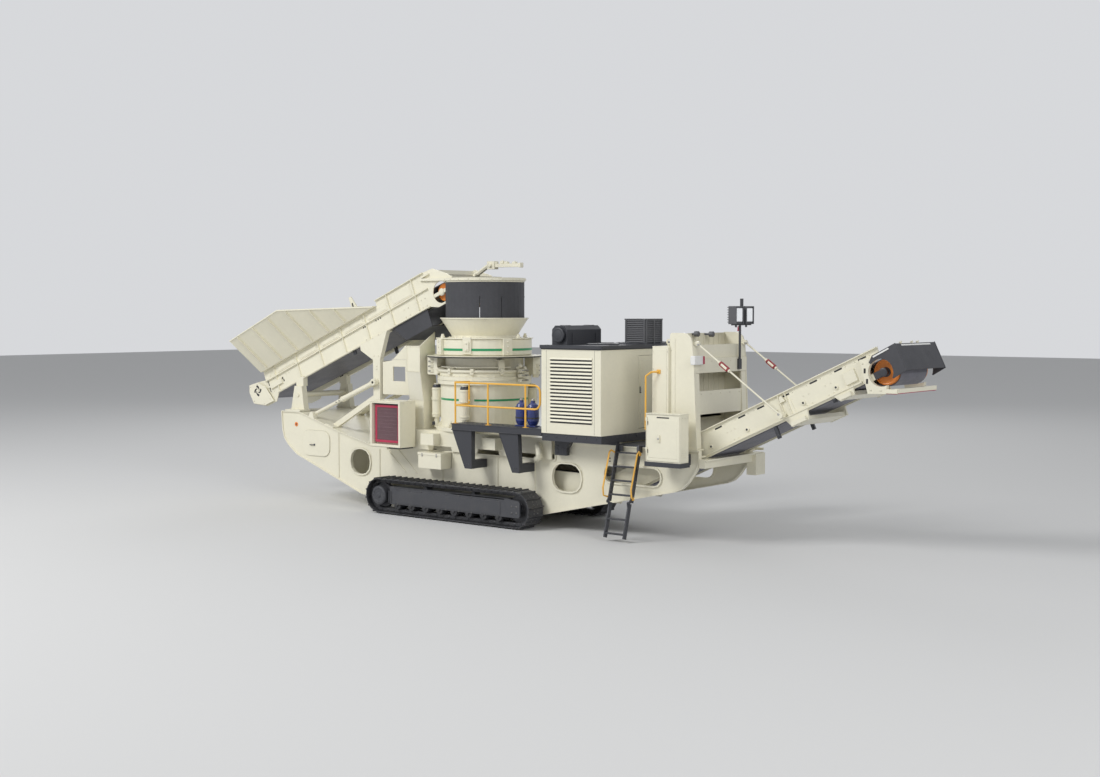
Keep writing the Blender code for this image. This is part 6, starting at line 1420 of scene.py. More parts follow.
@dataclass(frozen=True)
class DischargeDetail(Detail):
    """Slots, bolts, hangers, marker strip, hood and drum fittings of the discharge conveyor."""

    head: Pair = (10.00, 3.55)
    level: float = 0.82
    angle: float = math.radians(24.9)
    half: float = 0.75
    yoke: float = 0.84
    hood: float = 0.8603

    def build(self) -> None:
        """Build the discharge conveyor's detail."""
        run = (self.head[1] - self.level) / math.tan(self.angle)
        line = Slope((self.head[0] - run, self.level), self.angle)
        cream = self.piece("discharge_fittings", "cream")
        dark = self.piece("discharge_slots", "black_rubber_and_shade")
        for side in SIDES:
            self.beam(line, cream, dark, side)
            self.yoke_plate(cream, dark, side)
        self.hood_fittings()
        self.brackets(line)
        self.drum_end()
        self.bearings(line, run / math.cos(self.angle))

    def beam(self, line: Slope, cream: Shape, dark: Shape, side: int) -> None:
        """Hand slots along the top, the folding joint's plates and the bolts on one beam.

        Args:
            line: The conveyor's line.
            cream: Takes the painted pieces.
            dark: Takes the dark plates that paint the shade in the slots, and the dark discs on the bosses.
            side: -1 for the near beam and 1 for the far one.
        """
        y = side * self.half
        out = facing(side)
        for i, u in enumerate((2.80, 3.385, 3.85, 4.45, 5.10, 5.665, 6.20)):
            # Dark plate that paints the shade inside a hand slot.
            dark.raised(line.bar((u - 0.085, 0.385), (u + 0.085, 0.415)), side, y, 0.003)
            for shift in (-0.16, 0.16):
                cream.bolt(line.on(u + shift, 0.40, y), out, 0.009 + 0.0005 * (i % 2))
        for u in (4.18, 4.44):
            plate = [(u - 0.10, -0.035), (u + 0.10, -0.035), (u + 0.08, 0.30), (u - 0.08, 0.30)]
            cream.raised(line.trace(plate), side, y, 0.014, 0.004)
            cream.bolts([line.on(u, w, y + side * 0.014) for w in (0.03, 0.12, 0.21)], out, 0.013)
        for u in (2.95, 3.05, 3.15, 4.80, 4.92, 5.30, 5.42, 5.85):
            cream.bolts([line.on(u, w, y) for w in (0.05, 0.24)], out, 0.010)
        cream.raised(line.bar((5.72, 0.06), (5.98, 0.30)), side, y, 0.035, 0.008)
        for u in (2.5, 3.4, 4.75, 5.5):
            cream.rod(line.on(u, 0.12, y), line.on(u, 0.12, y + side * 0.025), 0.045, 18)
            dark.turned([(0.022, 0.0), (0.022, 0.028), (0.012, 0.030)], line.on(u, 0.12, y), out, 12)
        lug = line.trace([(4.30, 0.30), (4.42, 0.30), (4.38, 0.42), (4.32, 0.42)])
        cream.plate(lug, Axis.Y, y, side * 0.795)

    def yoke_plate(self, cream: Shape, dark: Shape, side: int) -> None:
        """Adjusting slots and bolts on the drum's bearing plate.

        Args:
            cream: Takes the painted pieces.
            dark: Takes the dark blocks that paint the shade in the slots.
            side: -1 for the near plate and 1 for the far one.
        """
        x, z = self.head
        y = side * self.yoke
        for shift, height in ((-0.325, 0.02), (-0.275, -0.17)):
            # Dark blocks paint the shade in the two adjusting slots.
            dark.block((x + shift - 0.02, y - side * 0.001, z + height - 0.045),
                       (x + shift + 0.02, y + side * 0.004, z + height + 0.045), 0.004)
        places = ((-0.37, 0.15), (-0.20, -0.33), (0.0, -0.33), (-0.16, 0.22))
        cream.bolts([(x + shift, y, z + height) for shift, height in places], facing(side), 0.013)

    def hood_fittings(self) -> None:
        """White edge strips and three cleats on the spoil hood, and the red marker on the cross tube."""
        x, z = self.head
        strip = self.piece("hood_strips", "white_strip")
        for side in SIDES:
            strip.plate([(x - 0.16, z + 0.29), (x - 0.145, z + 0.265), (x + 0.16, z + 0.428),
                         (x + 0.145, z + 0.453)], Axis.Y, side * self.hood, side * (self.hood + 0.012))
        strip.plate([(x + 0.262, z + 0.475), (x + 0.292, z + 0.489), (x + 0.279, z + 0.516),
                     (x + 0.249, z + 0.502)], Axis.Y, -0.62, 0.62)
        cleats = self.piece("hood_cleats", "cream")
        for y in (-0.42, 0.05, 0.30):
            cleats.turned([(0.045, -0.01), (0.045, 0.012), (0.02, 0.02), (0.02, 0.05), (0.03, 0.055),
                           (0.03, 0.07)], (x + 0.20, y, z + 0.495), (-0.47, 0.0, 0.88), 12)
        marker = self.piece("marker_strip", "red")
        marker.block((x + 0.262, -0.80, z - 0.383), (x + 0.338, 0.80, z - 0.368), 0.003)
        for side in SIDES:
            marker.block((x + 0.09, side * 0.755, z - 0.392), (x + 0.30, side * 0.825, z - 0.379), 0.003)

    def brackets(self, line: Slope) -> None:
        """Short black hangers of the return rollers, under both beams.

        Args:
            line: The conveyor's line.
        """
        shape = self.piece("discharge_return_hangers", "black")
        for u, low, high in ((3.98, -0.30, -0.045), (5.36, -0.13, -0.02)):
            for side, drop in ((-1, low), (1, low + 0.09)):
                shape.plate(line.bar((u - 0.035, drop), (u + 0.035, high)), Axis.Y,
                            side * 0.690, side * 0.742)
                hub = line.on(u, drop + 0.05, side * 0.742)
                shape.turned([(0.030, -0.002), (0.030, 0.010), (0.014, 0.014)], hub, facing(side), 14)

    def drum_end(self) -> None:
        """The dark hub with its bolts and the lagging on the drum's end discs, which turn with it."""
        x, z = self.head
        hub = self.piece("discharge_drum_hub", "black", "discharge_head_drum")
        rim = self.piece("discharge_drum_lagging", "orange", "discharge_head_drum")
        for side in SIDES:
            out = facing(side)
            hub.turned([(0.090, -0.004), (0.090, 0.012), (0.070, 0.026), (0.056, 0.026)],
                       (x, side * 0.63, z), out, 28)
            hub.bolts(around(self.head, side * 0.650, 0.072, 6), out, 0.009)
            rim.turned([(0.205, -0.003), (0.232, 0.0), (0.232, 0.006), (0.218, 0.010), (0.205, 0.006)],
                       (x, side * 0.629, z), out, 40, closed=True)
            for place in around(self.head, side * 0.63, 0.155, 5, 12.0):
                rim.turned([(0.030, -0.002), (0.030, 0.005), (0.022, 0.006)], place, out, 16)

    def bearings(self, line: Slope, length: float) -> None:
        """Black covers over the drum's bearing arms.

        Args:
            line: The conveyor's line.
            length: The line's length up to the drum's axis.
        """
        x, z = self.head
        cover = self.piece("drum_bearing_covers", "black")
        for side in SIDES:
            arm = line.bar((length - 0.20, -0.066), (length + 0.066, 0.066))
            cover.plate(arm, Axis.Y, side * 0.682, side * 0.747, 0.006)
            cover.turned([(0.082, 0.0), (0.082, 0.014), (0.060, 0.022), (0.040, 0.022)],
                         (x, side * 0.745, z), facing(side), 24)


@dataclass(frozen=True)
class PowerPackDetail(Detail):
    """Louvres, seams, rivets, door fittings, roof grilles, muffler fittings and vent slats."""

    louvre_x: Pair = (2.92, 4.00)
    louvre_z: Pair = (2.345, 3.705)
    blades: int = 18
    blade: tuple[Pair, ...] = ((-0.001, 0.98), (0.022, 0.46), (0.027, 0.49), (0.006, 1.02))
    vent_blade: tuple[Pair, ...] = ((-0.001, 0.9), (0.018, 0.25), (0.021, 0.32), (0.003, 0.98))

    def build(self) -> None:
        """Build the power pack's detail."""
        self.louvres()
        self.seams()
        self.door()
        self.roof()
        self.vent()
        self.base()

    def louvres(self) -> None:
        """Slanted cream blades on both side walls, with a dark strip in each gap that paints the shade inside
        the louvre.
        """
        low, high = self.box("power_pack_housing")
        dark = self.piece("louvre_painted_shade", "black_rubber_and_shade")
        blades = self.piece("louvre_blades", "cream")
        x_low, x_high = self.louvre_x
        z_low, z_high = self.louvre_z
        pitch = (z_high - z_low) / self.blades
        for side, wall in ((-1, low.y), (1, high.y)):
            for i in range(self.blades):
                foot = z_low + pitch * i
                # Dark strip that paints the shade between two blades.
                dark.block((x_low, wall - side * SINK, foot),
                           (x_high, wall + side * 0.003, foot + pitch * 0.46), 0.0)
                blade = self.slat(wall, side, foot, pitch, self.blade)
                blades.plate(blade, Axis.X, x_low - 0.012, x_high + 0.012)

    def seams(self) -> None:
        """Panel joints on the walls as fine dark lines, and rivets beside them."""
        low, high = self.box("power_pack_housing")
        dark = self.piece("housing_seams", "seam")
        rivets = self.piece("housing_rivets", "cream")
        for side, wall in ((-1, low.y), (1, high.y)):
            for x in (high.x - 0.19, low.x + 0.13):
                dark.block((x, wall - side * SINK, low.z + 0.02),
                           (x + 0.006, wall + side * 0.0012, high.z - 0.02), 0.0)
            for z in spread(low.z + 0.10, low.z + 1.62, 9):
                for x in (low.x + 0.055, high.x - 0.075):
                    rivets.turned([(0.009, -0.002), (0.009, 0.002), (0.004, 0.005)], (x, wall, z),
                                  facing(side), 8)
        for y in (low.y + 0.17, 0.65, 1.05, high.y - 0.17):
            front = high.x - 0.0295
            dark.block((front - 0.002, y, low.z + 0.02), (front + 0.0012, y + 0.006, high.z - 0.02), 0.0)

    def door(self) -> None:
        """The latch, with a dark block that paints the shade of its recess, its lever and the pressed panel,
        all on the door.
        """
        low, high = self.box("power_pack_door")
        face = low.x + 0.035
        dark = self.piece("door_latch", "black_rubber_and_shade", "power_pack_door")
        # Dark block that paints the shade of the latch's recess.
        dark.block((face - 0.003, -0.245, 2.945), (face + 0.006, -0.185, 3.085), 0.003)
        steel = self.piece("door_latch_lever", "zinc", "power_pack_door")
        steel.block((face + 0.004, -0.230, 2.96), (face + 0.022, -0.200, 3.055), 0.004)
        steel.turned([(0.014, 0.0), (0.014, 0.012), (0.008, 0.014)],
                     (face + 0.004, -0.215, 3.068), AHEAD, 12)
        strip = self.piece("door_press_lines", "cream", "power_pack_door")
        strip.plate(rectangle((low.y + 0.07, low.z + 0.09), (high.y - 0.09, high.z - 0.09)), Axis.X,
                    face - 0.002, face + 0.005, 0.012)

    def roof(self) -> None:
        """Fan grilles and a hatch on the roof, and the muffler's collar, straps and outlet."""
        low, high = self.box("power_pack_roof")
        top = high.z
        dark = self.piece("roof_fittings", "black")
        for y in (-0.95, 0.05, 1.05):
            centre = (high.x - 0.48, y, top - 0.002)
            dark.turned([(0.34, 0.0), (0.34, 0.030), (0.30, 0.040), (0.285, 0.030)], centre, sides=40)
            for k in range(6):
                radius = 0.05 + 0.045 * k
                dark.turned(rectangle((radius, 0.03), (radius + 0.012, 0.042)), centre,
                            sides=32, closed=True)
            for k in range(4):
                turn = spun((centre[0], centre[1], top), 45.0 * k)
                dark.block((-0.29, -0.008, 0.026), (0.29, 0.008, 0.038), 0.002, turn)
        dark.block((low.x + 0.02, -0.11, top - 0.002), (low.x + 0.62, 0.17, top + 0.03), 0.006)
        low, high = self.box("muffler")
        middle = (low.x + high.x) / 2
        centre_z = (low.z + high.z) / 2
        straps = self.piece("muffler_fittings", "black")
        straps.turned([(0.145, 0.0), (0.158, 0.006), (0.158, 0.026), (0.145, 0.03)],
                      (middle, low.y + 0.002, centre_z), facing(1), 36)
        for y in (low.y + 0.24, high.y - 0.20):
            half = (high.x - low.x) / 2 + 0.008
            for x_sign in (-1, 1):
                straps.block((middle + x_sign * half - 0.006, y, low.z),
                             (middle + x_sign * half + 0.006, y + 0.05, low.z + 0.24), 0.002)
            straps.block((middle - half * 0.6, y, high.z - 0.004),
                         (middle + half * 0.6, y + 0.05, high.z + 0.008), 0.002)
        straps.rod((middle, high.y - 0.01, centre_z), (middle, high.y + 0.10, centre_z), 0.10, 28)

    def vent(self) -> None:
        """Slats with a centre post round the intake box on the roof."""
        low, high = self.box("vent_box")
        slats = self.piece("vent_slats", "black_light")
        count = 12
        pitch = (high.z - low.z - 0.04) / count
        for i in range(count):
            foot = low.z + 0.03 + pitch * i
            for sign, corner in ((-1, low), (1, high)):
                blade = self.slat(corner.x, sign, foot, pitch, self.vent_blade)
                slats.plate(blade, Axis.Y, low.y + 0.01, high.y - 0.01)
                blade = self.slat(corner.y, sign, foot, pitch, self.vent_blade)
                slats.plate(blade, Axis.X, low.x + 0.01, high.x - 0.01)
        for y in (low.y, (low.y + high.y) / 2 - 0.02, high.y - 0.04):
            slats.block((high.x - 0.002, y, low.z), (high.x + 0.024, y + 0.04, high.z), 0.003)
        for x in (low.x, high.x - 0.04):
            slats.block((x, low.y - 0.024, low.z), (x + 0.04, low.y + 0.002, high.z), 0.003)
        slats.block((low.x - 0.02, low.y - 0.02, high.z - 0.006),
                    (high.x + 0.02, high.y + 0.02, high.z + 0.02), 0.004)

    @staticmethod
    def slat(wall: float, sign: int, foot: float, pitch: float, section: tuple[Pair, ...]) -> Outline:
        """Corners of one slanted blade on a wall.

        Args:
            wall: The wall's place.
            sign: The way that the wall faces.
            foot: Height where the blade's bay starts.
            pitch: Height of the bay.
            section: Corners, each its distance from the wall and its share of the bay's height.

        Returns:
            The corners, each its place across the wall and its height.
        """
        return [(wall + sign * out, foot + pitch * share) for out, share in section]

    def base(self) -> None:
        """Bolts along the base, and its bracket's plate and bolts."""
        low, high = self.box("power_pack_base")
        shape = self.piece("pack_base_fittings", "black")
        for side, wall in ((-1, low.y), (1, high.y)):
            shape.bolts([(low.x + 0.12 + 0.26 * i, wall, high.z - 0.06) for i in range(6)],
                        facing(side), 0.014)
        shape.bolts([(high.x, -1.40 + 0.35 * i, high.z - 0.06) for i in range(9)], AHEAD, 0.014)
        bracket_y = -1.150
        shape.bolts([(low.x + 0.08, bracket_y, low.z + 0.06 + 0.07 * i) for i in range(3)], NEAR, 0.016)
        shape.block((low.x + 0.205, bracket_y - 0.004, low.z),
                    (low.x + 0.32, bracket_y + 0.10, low.z + 0.17), 0.004)


@dataclass(frozen=True)
class PortalDetail(Detail):
    """Wall ribs, clips, lamps and bolts of the portal, the tank's eye and the tie rods' turnbuckles."""

    top: float = 4.23
    right: float = 6.06

    def build(self) -> None:
        """Build the portal's detail."""
        self.walls()
        self.lamps()
        self.turnbuckles()
        self.tank()

    def walls(self) -> None:
        """Pressed ribs on the back wall, flange bolts, side seams, small brackets and pipe clips."""
        shape = self.piece("portal_fittings", "cream")
        for i in range(9):
            y = -0.76 + 0.19 * i
            shape.block((5.548, y - 0.03, 2.55), (5.560, y + 0.03, 4.18), 0.005)
        shape.block((5.532, -0.84, 2.06), (5.550, 0.84, 2.58), 0.003)
        shape.block((self.right - 0.075, -0.55, self.top - 0.70),
                    (self.right + 0.004, 0.60, self.top - 0.66), 0.004)
        for y in (-0.72, -0.36, 0.0, 0.36, 0.72):
            shape.bolt((self.right + 0.02, y, self.top - 0.57), AHEAD, 0.012)
            shape.bolt((self.right + 0.005, y, self.top - 1.22), AHEAD, 0.012)
        for side in SIDES:
            y = side * 1.0
            shape.bolts([(x, side * 0.90, 1.93) for x in (5.56, 5.74, 5.92, 6.08)], UP, 0.016)
            shape.bolts([(5.53, y, 2.20 + 0.42 * i) for i in range(5)], facing(side), 0.011)
            shape.raised(rectangle((5.62, 1.96), (5.634, 4.12)), side, y, 0.005)
        for y in (-0.26, 0.20):
            shape.block((5.70, y - 0.05, 3.475), (5.82, y + 0.05, 3.55), 0.006)
        shape.rod((6.20, -0.95, 1.775), (6.20, 1.17, 1.775), 0.022, 14)
        shape.rod((5.95, 1.15, 1.80), (6.40, 1.15, 1.80), 0.030, 14)
        clips = self.piece("portal_clips", "black_light")
        for x, y, z in ((5.66, -0.26, 4.20), (5.72, 0.20, 4.19)):
            clips.rod((5.54, y, z), (x, y, z), 0.022, 10)
            clips.turned([(0.050, -0.05), (0.058, -0.045), (0.058, 0.035), (0.040, 0.05)],
                         (x, y, z), AHEAD, 20)

    def lamps(self) -> None:
        """Bright lens plates, yokes and a beacon on the lamp mast, and the boxed lamp on the near leg."""
        low, high = self.box("work_lights")
        lens = self.piece("lamp_lenses", "lens")
        dark = self.piece("lamp_frames", "black_light")
        for centre in (0.52, 0.92):
            x = high.x
            lens.plate(rectangle((centre - 0.115, self.top + 0.215), (centre + 0.105, self.top + 0.495)),
                       Axis.X, x - 0.002, x + 0.012, 0.010)
            for y in (centre - 0.155, centre + 0.130):
                dark.block((x - 0.17, y, self.top + 0.165), (x + 0.018, y + 0.025, self.top + 0.535), 0.004)
            for i in range(7):
                z = self.top + 0.20 + 0.05 * i
                dark.block((x - 0.205, centre - 0.14, z), (x - 0.155, centre + 0.14, z + 0.014), 0.002)
            dark.rod((x - 0.08, centre, self.top + 0.10), (x - 0.08, centre, self.top + 0.19), 0.022, 12)
        beacon = self.piece("mast_beacon", "red")
        beacon.turned([(0.045, 0.0), (0.045, 0.012), (0.036, 0.018), (0.036, 0.085), (0.024, 0.105),
                       (0.008, 0.11)], (low.x + 0.035, 0.72, self.top + 0.02), sides=20)
        box_lamp = self.piece("box_lamp", "white_strip")
        box_lamp.block((self.right - 0.01, -1.10, 3.60), (self.right + 0.10, -0.80, 3.78), 0.010)
        box_lamp.block((self.right - 0.06, -1.035, 3.64), (self.right, -0.93, 3.74), 0.006)
        beacon.block((self.right - 0.002, -0.812, 3.61), (self.right + 0.104, -0.740, 3.77), 0.008)

    def turnbuckles(self) -> None:
        """Red turnbuckle frames with their nuts, on both tie rods."""
        red = self.piece("turnbuckles", "red_frame")
        steel = self.piece("turnbuckle_nuts", "zinc")
        top = Vector((6.09, 4.02))
        foot = Vector((7.97, 2.68))
        along = (foot - top).normalized()
        square = Vector((-along.y, along.x))
        centre = top.lerp(foot, 0.33)
        for side in SIDES:
            y = side * 0.90
            for shift in (-0.036, 0.036):
                corners = rectangle((-0.10, shift - 0.010), (0.10, shift + 0.010))
                bar = [centre + along * reach + square * across for reach, across in corners]
                red.plate(bar, Axis.Y, y - 0.022, y + 0.022)
            for reach in (-0.10, 0.10):
                start = centre + along * (reach - 0.02)
                end = centre + along * (reach + 0.02)
                red.rod((start.x, y, start.y), (end.x, y, end.y), 0.046, 12)
                nut = centre + along * (reach * 1.35)
                steel.turned([(0.034, -0.018), (0.034, 0.018)], (nut.x, y, nut.y),
                             (along.x, 0.0, along.y), 6)
            for share in (0.015, 0.985):
                place = top.lerp(foot, share)
                steel.turned([(0.024, -0.045), (0.024, 0.045), (0.016, 0.052)],
                             (place.x, y, place.y), facing(1), 12)

    def tank(self) -> None:
        """Lifting eye, filler cap, pressed panel and bolts on the tank."""
        low, high = self.box("side_tank")
        shape = self.piece("tank_fittings", "cream")
        middle = (low.x + high.x) / 2
        top = high.z - 0.05
        shape.turned(rectangle((0.030, -0.012), (0.058, 0.012)), (middle, -0.76, high.z + 0.035), facing(1),
                     20, closed=True)
        shape.turned([(0.055, -0.004), (0.055, 0.02), (0.045, 0.032), (0.02, 0.036)],
                     (middle, -0.56, top), sides=24)
        shape.raised(rectangle((low.x + 0.035, low.z + 0.26), (high.x - 0.035, top - 0.05)), -1,
                     low.y, 0.006, 0.010)
        shape.bolts([(x, low.y, z) for x in (low.x + 0.018, high.x - 0.018)
                     for z in (2.3, 2.9, 3.5, 3.85)], NEAR, 0.009)


@dataclass(frozen=True)
class CabinetDetail(Detail):
    """Vent slot, hinges' pins, latch and rain lip of the electrical cabinet, and the lidded box's catches."""

    def build(self) -> None:
        """Build the cabinets' detail."""
        low, high = self.box("electrical_cabinet_door")
        face = low.y + 0.03
        door = "electrical_cabinet_door"
        dark = self.piece("cabinet_door_slot", "black_rubber_and_shade", door)
        # Dark strip that paints the shade in the vent slot.
        dark.block((5.60, face - 0.004, high.z - 0.058), (5.89, face + 0.002, high.z - 0.034), 0.002)
        for z in (low.z + 0.19, high.z - 0.16):
            dark.block((low.x + 0.018, face - 0.010, z - 0.035),
                       (low.x + 0.036, face + 0.002, z + 0.035), 0.003)
        steel = self.piece("cabinet_door_latch", "zinc", door)
        steel.turned([(0.022, 0.0), (0.022, 0.010), (0.012, 0.014)], (5.655, low.y + 0.002, 2.16), NEAR, 16)
        panel = self.piece("cabinet_door_fold", "cream", door)
        panel.raised(rectangle((low.x + 0.05, low.z + 0.06), (high.x - 0.05, high.z - 0.09)), -1,
                     face, 0.004, 0.010)
        low, high = self.box("electrical_cabinet")
        shell = self.piece("cabinet_fittings", "cream")
        shell.block((low.x - 0.006, low.y + 0.012, high.z - 0.002),
                    (high.x + 0.006, high.y + 0.004, high.z + 0.012), 0.004)
        shell.bolts([(high.x, low.y + 0.10 + 0.09 * i, high.z - 0.06) for i in range(3)], AHEAD, 0.010)
        for i in range(4):
            shell.block((high.x - 0.001, low.y + 0.07, low.z + 0.10 + 0.045 * i),
                        (high.x + 0.006, low.y + 0.25, low.z + 0.118 + 0.045 * i), 0.002)
        low, high = self.box("battery_box")
        catches = self.piece("battery_box_catches", "zinc")
        for x in (low.x + 0.14, high.x - 0.14):
            catches.block((x - 0.018, low.y - 0.004, high.z - 0.09),
                          (x + 0.018, low.y + 0.012, high.z - 0.01), 0.003)


@dataclass(frozen=True)
class CoolerDetail(Detail):
    """Fins and frame of the oil cooler, black slabs that paint the shade in its hood, and the folded lips of
    the hood.
    """

    def build(self) -> None:
        """Build the cooler's detail."""
        low, high = self.box("oil_cooler_core")
        fins = self.piece("cooler_fins", "fin")
        x_low, x_high = low.x + 0.055, high.x - 0.055
        z_low, z_high = low.z + 0.055, high.z - 0.055
        face = low.y + 0.002
        fins.block((x_low, face - 0.004, z_low), (x_high, face + 0.01, z_high), 0.0)
        count = 46
        for i in range(count):
            x = x_low + (x_high - x_low) * (i + 0.5) / count
            fins.block((x - 0.0028, face - 0.014, z_low), (x + 0.0028, face - 0.003, z_high), 0.0)
        for i in range(9):
            z = z_low + (z_high - z_low) * (i + 0.5) / 9
            fins.block((x_low, face - 0.016, z - 0.003), (x_high, face - 0.013, z + 0.003), 0.0)
        red = self.piece("cooler_frame", "red")
        edge = 0.028
        for x in (low.x - 0.002, x_high):
            red.block((x, low.y - 0.018, low.z), (x + 0.057, low.y + 0.004, high.z), 0.004)
        for z in (low.z - 0.002, z_high):
            red.block((low.x, low.y - 0.020, z), (high.x, low.y + 0.004, z + 0.057), 0.004)
        for x in (low.x + edge, high.x - edge):
            red.bolts([(x, low.y - 0.018, low.z + 0.10 + 0.16 * i) for i in range(5)], NEAR, 0.009)
        dark = self.piece("cooler_hood_shade", "black")
        hood_low, hood_high = self.box("oil_cooler_hood")
        # Black slab that paints the shade on the hood's floor.
        dark.block((hood_low.x + 0.16, hood_low.y + 0.10, hood_low.z + 0.008),
                   (hood_high.x - 0.10, hood_low.y + 0.52, hood_low.z + 0.046), 0.004)
        # Black strip that paints the shade in the gap over the core.
        dark.block((low.x - 0.03, low.y - 0.004, high.z + 0.004),
                   (high.x + 0.03, low.y + 0.03, high.z + 0.05), 0.003)
        lip = self.piece("cooler_hood_lips", "cream")
        for x in (hood_low.x + 0.002, hood_high.x - 0.03):
            lip.block((x, hood_low.y - 0.006, hood_low.z + 0.06),
                      (x + 0.028, hood_low.y + 0.004, hood_high.z - 0.004), 0.003)
        for z in (hood_low.z + 0.055, hood_high.z - 0.032):
            lip.block((hood_low.x + 0.002, hood_low.y - 0.007, z),
                      (hood_high.x - 0.002, hood_low.y + 0.004, z + 0.028), 0.003)
        lip.bolts([(hood_high.x, hood_low.y + 0.12 + 0.12 * i, hood_high.z - 0.05)
                   for i in range(3)], AHEAD, 0.010)


@dataclass(frozen=True)
class PlatformDetail(Detail):
    """Tread pattern, edge strip and bolts of the platform, and the accumulators' valves and straps."""

    bottle_x: Pair = (1.84, 2.16)
    bottle_radius: float = 0.13

    def build(self) -> None:
        """Build the platform's detail."""
        low, high = self.box("platform_deck")
        deck = self.piece("platform_treads", "black_light")
        near = low.y
        columns = 34
        for i in range(columns):
            x = low.x + 0.06 + (high.x - low.x - 0.12) * i / (columns - 1)
            for k in range(6):
                y = near + 0.07 + 0.075 * k
                lean = 45.0 if (i + k) % 2 else -45.0
                turn = spun((x, y, high.z), lean)
                deck.block((-0.022, -0.005, -0.001), (0.022, 0.005, 0.003), 0.0015, turn)
        edge = self.piece("platform_edge", "black")
        for drop in (0.146, 0.022):
            edge.block((low.x + 0.002, near - 0.008, high.z - drop),
                       (high.x - 0.002, near + 0.002, high.z - drop + 0.020), 0.003)
        edge.bolts([(x, near + 0.03, low.z + 0.10) for x in (0.54, 0.61, 1.90, 1.97)], NEAR, 0.013)
        low, high = self.box("accumulators")
        y = -1.08 - self.bottle_radius - 0.03
        steel = self.piece("accumulator_valves", "zinc")
        straps = self.piece("accumulator_straps", "black")
        for x in self.bottle_x:
            steel.turned([(0.050, -0.006), (0.050, 0.012), (0.032, 0.018), (0.032, 0.040), (0.018, 0.048)],
                         (x, y, high.z), sides=16)
            for z in (low.z + 0.17, low.z + 0.385):
                band = rectangle((self.bottle_radius - 0.002, z), (self.bottle_radius + 0.006, z + 0.03))
                straps.turned(band, (x, y, 0.0), sides=28, closed=True)


@dataclass(frozen=True)
class LadderDetail(Detail):
    """Tread grips, stringer bolts and top brackets of the ladder."""

    left: float = 4.28
    width: float = 0.58
    foot: Pair = (-1.60, 0.03)
    head: Pair = (-1.09, 1.93)
    fold: float = 0.78
    pitch: float = 0.29

    def build(self) -> None:
        """Build the ladder's detail."""
        along = (Vector(self.head) - Vector(self.foot)).normalized()
        fold = Vector(self.foot) + along * ((self.fold - self.foot[1]) / along.y)
        upper = self.piece("ladder_grips_upper", "black_light")
        lower = self.piece("ladder_grips_lower", "black_light", "ladder_lower")
        for distance in (0.14, 0.44):
            self.grip(lower, Vector(self.foot) + along * distance, 0.055)
        for i in range(4):
            tread = fold + along * (0.16 + i * self.pitch)
            self.grip(upper, tread, 0.04)
            for x, sign in ((self.left, -1.0), (self.left + self.width, 1.0)):
                upper.bolt((x, *tread), (sign, 0.0, 0.0), 0.012)
        top = self.box("ladder_upper")[1].z
        for x in (self.left + 0.03, self.left + self.width - 0.11):
            upper.block((x, -1.082, top - 0.145), (x + 0.08, -1.036, top - 0.02), 0.004)

    def grip(self, shape: Shape, place: Vector, setback: float) -> None:
        """Anti-slip bars on one tread.

        Args:
            shape: The piece that takes them.
            place: The tread's (y, z) place.
            setback: Distance from the ladder's outer sides.
        """
        for i in range(4):
            y = place.x - 0.042 + 0.026 * i
            shape.block((self.left + setback, y, place.y + 0.011),
                        (self.left + self.width - setback, y + 0.008, place.y + 0.016), 0.001)


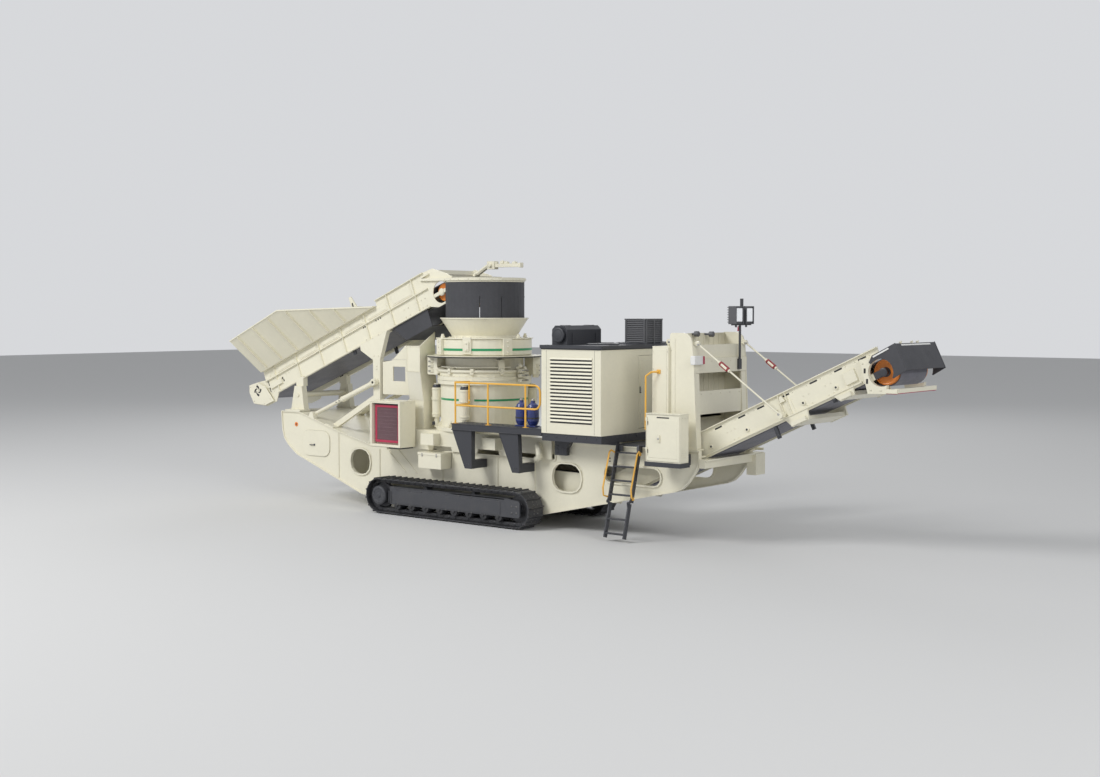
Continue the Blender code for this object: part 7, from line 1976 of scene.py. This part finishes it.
@dataclass
class Studio:
    """The camera at the photographed angle, a pale floor and soft light."""

    camera_at: Point = (21.854, -25.246, 4.664)
    camera_turn: Point = (86.96, 0.0, 38.7)
    lens: float = 47.75
    floor_size: float = 240.0
    floor_colour: Colour = (0.66, 0.66, 0.655)
    backdrop: Colour = (0.68, 0.69, 0.71)
    world_strength: float = 0.44
    key_strength: float = 9600.0
    fill_strength: float = 3400.0

    def build(self, shift: float) -> None:
        """Make the camera, the floor, the lamps and the world.

        Args:
            shift: How far the plant's own X is from the frame's.
        """
        self.make_camera(shift)
        self.make_floor()
        self.make_lamp("key_light", (-13.0, -31.0, 27.0), 15.0, self.key_strength)
        self.make_lamp("fill_light", (34.0, -14.0, 18.0), 16.0, self.fill_strength)
        self.make_lamp("rim_light", (-18.0, 27.0, 20.0), 16.0, self.fill_strength * 0.5)
        self.make_world()
        bpy.context.scene.view_settings.view_transform = "Standard"

    def make_camera(self, shift: float) -> None:
        """Place the camera, given in the plant's own X."""
        data = bpy.data.cameras.new("camera")
        data.lens = self.lens
        data.sensor_width = 36.0
        camera = bpy.data.objects.new("camera", data)
        camera.location = Vector(self.camera_at) - Vector((shift, 0.0, 0.0))
        camera.rotation_euler = [math.radians(value) for value in self.camera_turn]
        bpy.context.scene.collection.objects.link(camera)
        bpy.context.scene.camera = camera

    def make_floor(self) -> None:
        """A pale floor that takes the plant's shadow."""
        half = self.floor_size / 2
        mesh = bpy.data.meshes.new("floor")
        mesh.from_pydata([(-half, -half, 0.0), (half, -half, 0.0), (half, half, 0.0), (-half, half, 0.0)],
                         [], [(0, 1, 2, 3)])
        floor = bpy.data.objects.new("floor", mesh)
        bpy.context.scene.collection.objects.link(floor)
        material = bpy.data.materials.new("floor")
        material.use_nodes = True
        shader = material.node_tree.nodes["Principled BSDF"]
        shader.inputs["Base Color"].default_value = (*self.floor_colour, 1.0)
        shader.inputs["Roughness"].default_value = 0.9
        mesh.materials.append(material)

    def make_lamp(self, name: str, place: Point, size: float, power: float) -> None:
        """A square soft lamp that looks at the plant's middle."""
        data = bpy.data.lights.new(name, "AREA")
        data.size = size
        data.energy = power
        lamp = bpy.data.objects.new(name, data)
        lamp.location = place
        lamp.rotation_euler = (Vector((0.0, 0.0, 2.0)) - Vector(place)).to_track_quat("-Z", "Y").to_euler()
        bpy.context.scene.collection.objects.link(lamp)

    def make_world(self) -> None:
        """An even pale world, paler where it is seen directly or in a reflection."""
        world = bpy.data.worlds.new("world")
        bpy.context.scene.world = world
        world.use_nodes = True
        tree = world.node_tree
        soft = tree.nodes["Background"]
        soft.inputs["Color"].default_value = (0.92, 0.94, 0.97, 1.0)
        soft.inputs["Strength"].default_value = self.world_strength
        pale = tree.nodes.new("ShaderNodeBackground")
        pale.inputs["Color"].default_value = (*self.backdrop, 1.0)
        path = tree.nodes.new("ShaderNodeLightPath")
        mirrored = arithmetic(tree, "ADD", path.outputs["Is Glossy Ray"],
                              path.outputs["Is Transmission Ray"])
        seen = arithmetic(tree, "ADD", path.outputs["Is Camera Ray"], mirrored)
        mix = tree.nodes.new("ShaderNodeMixShader")
        tree.links.new(arithmetic(tree, "MINIMUM", seen, 1.0), mix.inputs["Fac"])
        tree.links.new(soft.outputs[0], mix.inputs[1])
        tree.links.new(pale.outputs[0], mix.inputs[2])
        tree.links.new(mix.outputs[0], tree.nodes["World Output"].inputs["Surface"])


DETAILS = (
    CrawlerDetail, ChassisDetail, CrusherDetail, FeedDetail, HopperDetail, SupportDetail, DischargeDetail,
    PowerPackDetail, PortalDetail, CabinetDetail, CoolerDetail, PlatformDetail, LadderDetail,
)


def dress_nodes(frame: dict, materials: dict[str, bpy.types.Material]) -> None:
    """Give every CAD node its finish.

    Args:
        frame: The loaded frame.
        materials: The finishes by name.
    """
    for finish, nodes in NODE_FINISHES.items():
        for name in nodes:
            for slot in frame["nodes"][name].material_slots:
                slot.material = materials[finish]


def main() -> None:
    """Build the plant's looks round its frame, light it and report."""
    logging.basicConfig(level=logging.INFO, format="%(name)s: %(message)s")
    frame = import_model()
    effects = Effects()
    materials = {name: finish.build(effects) for name, finish in FINISHES.items()}
    dress_nodes(frame, materials)
    shop = Workshop(materials)
    for detail in DETAILS:
        detail(shop).build()
        shop.place_started()
    LOG.info("all detail: %d faces", shop.count)
    Studio().build(shop.shift)


if __name__ == "__main__":
    main()
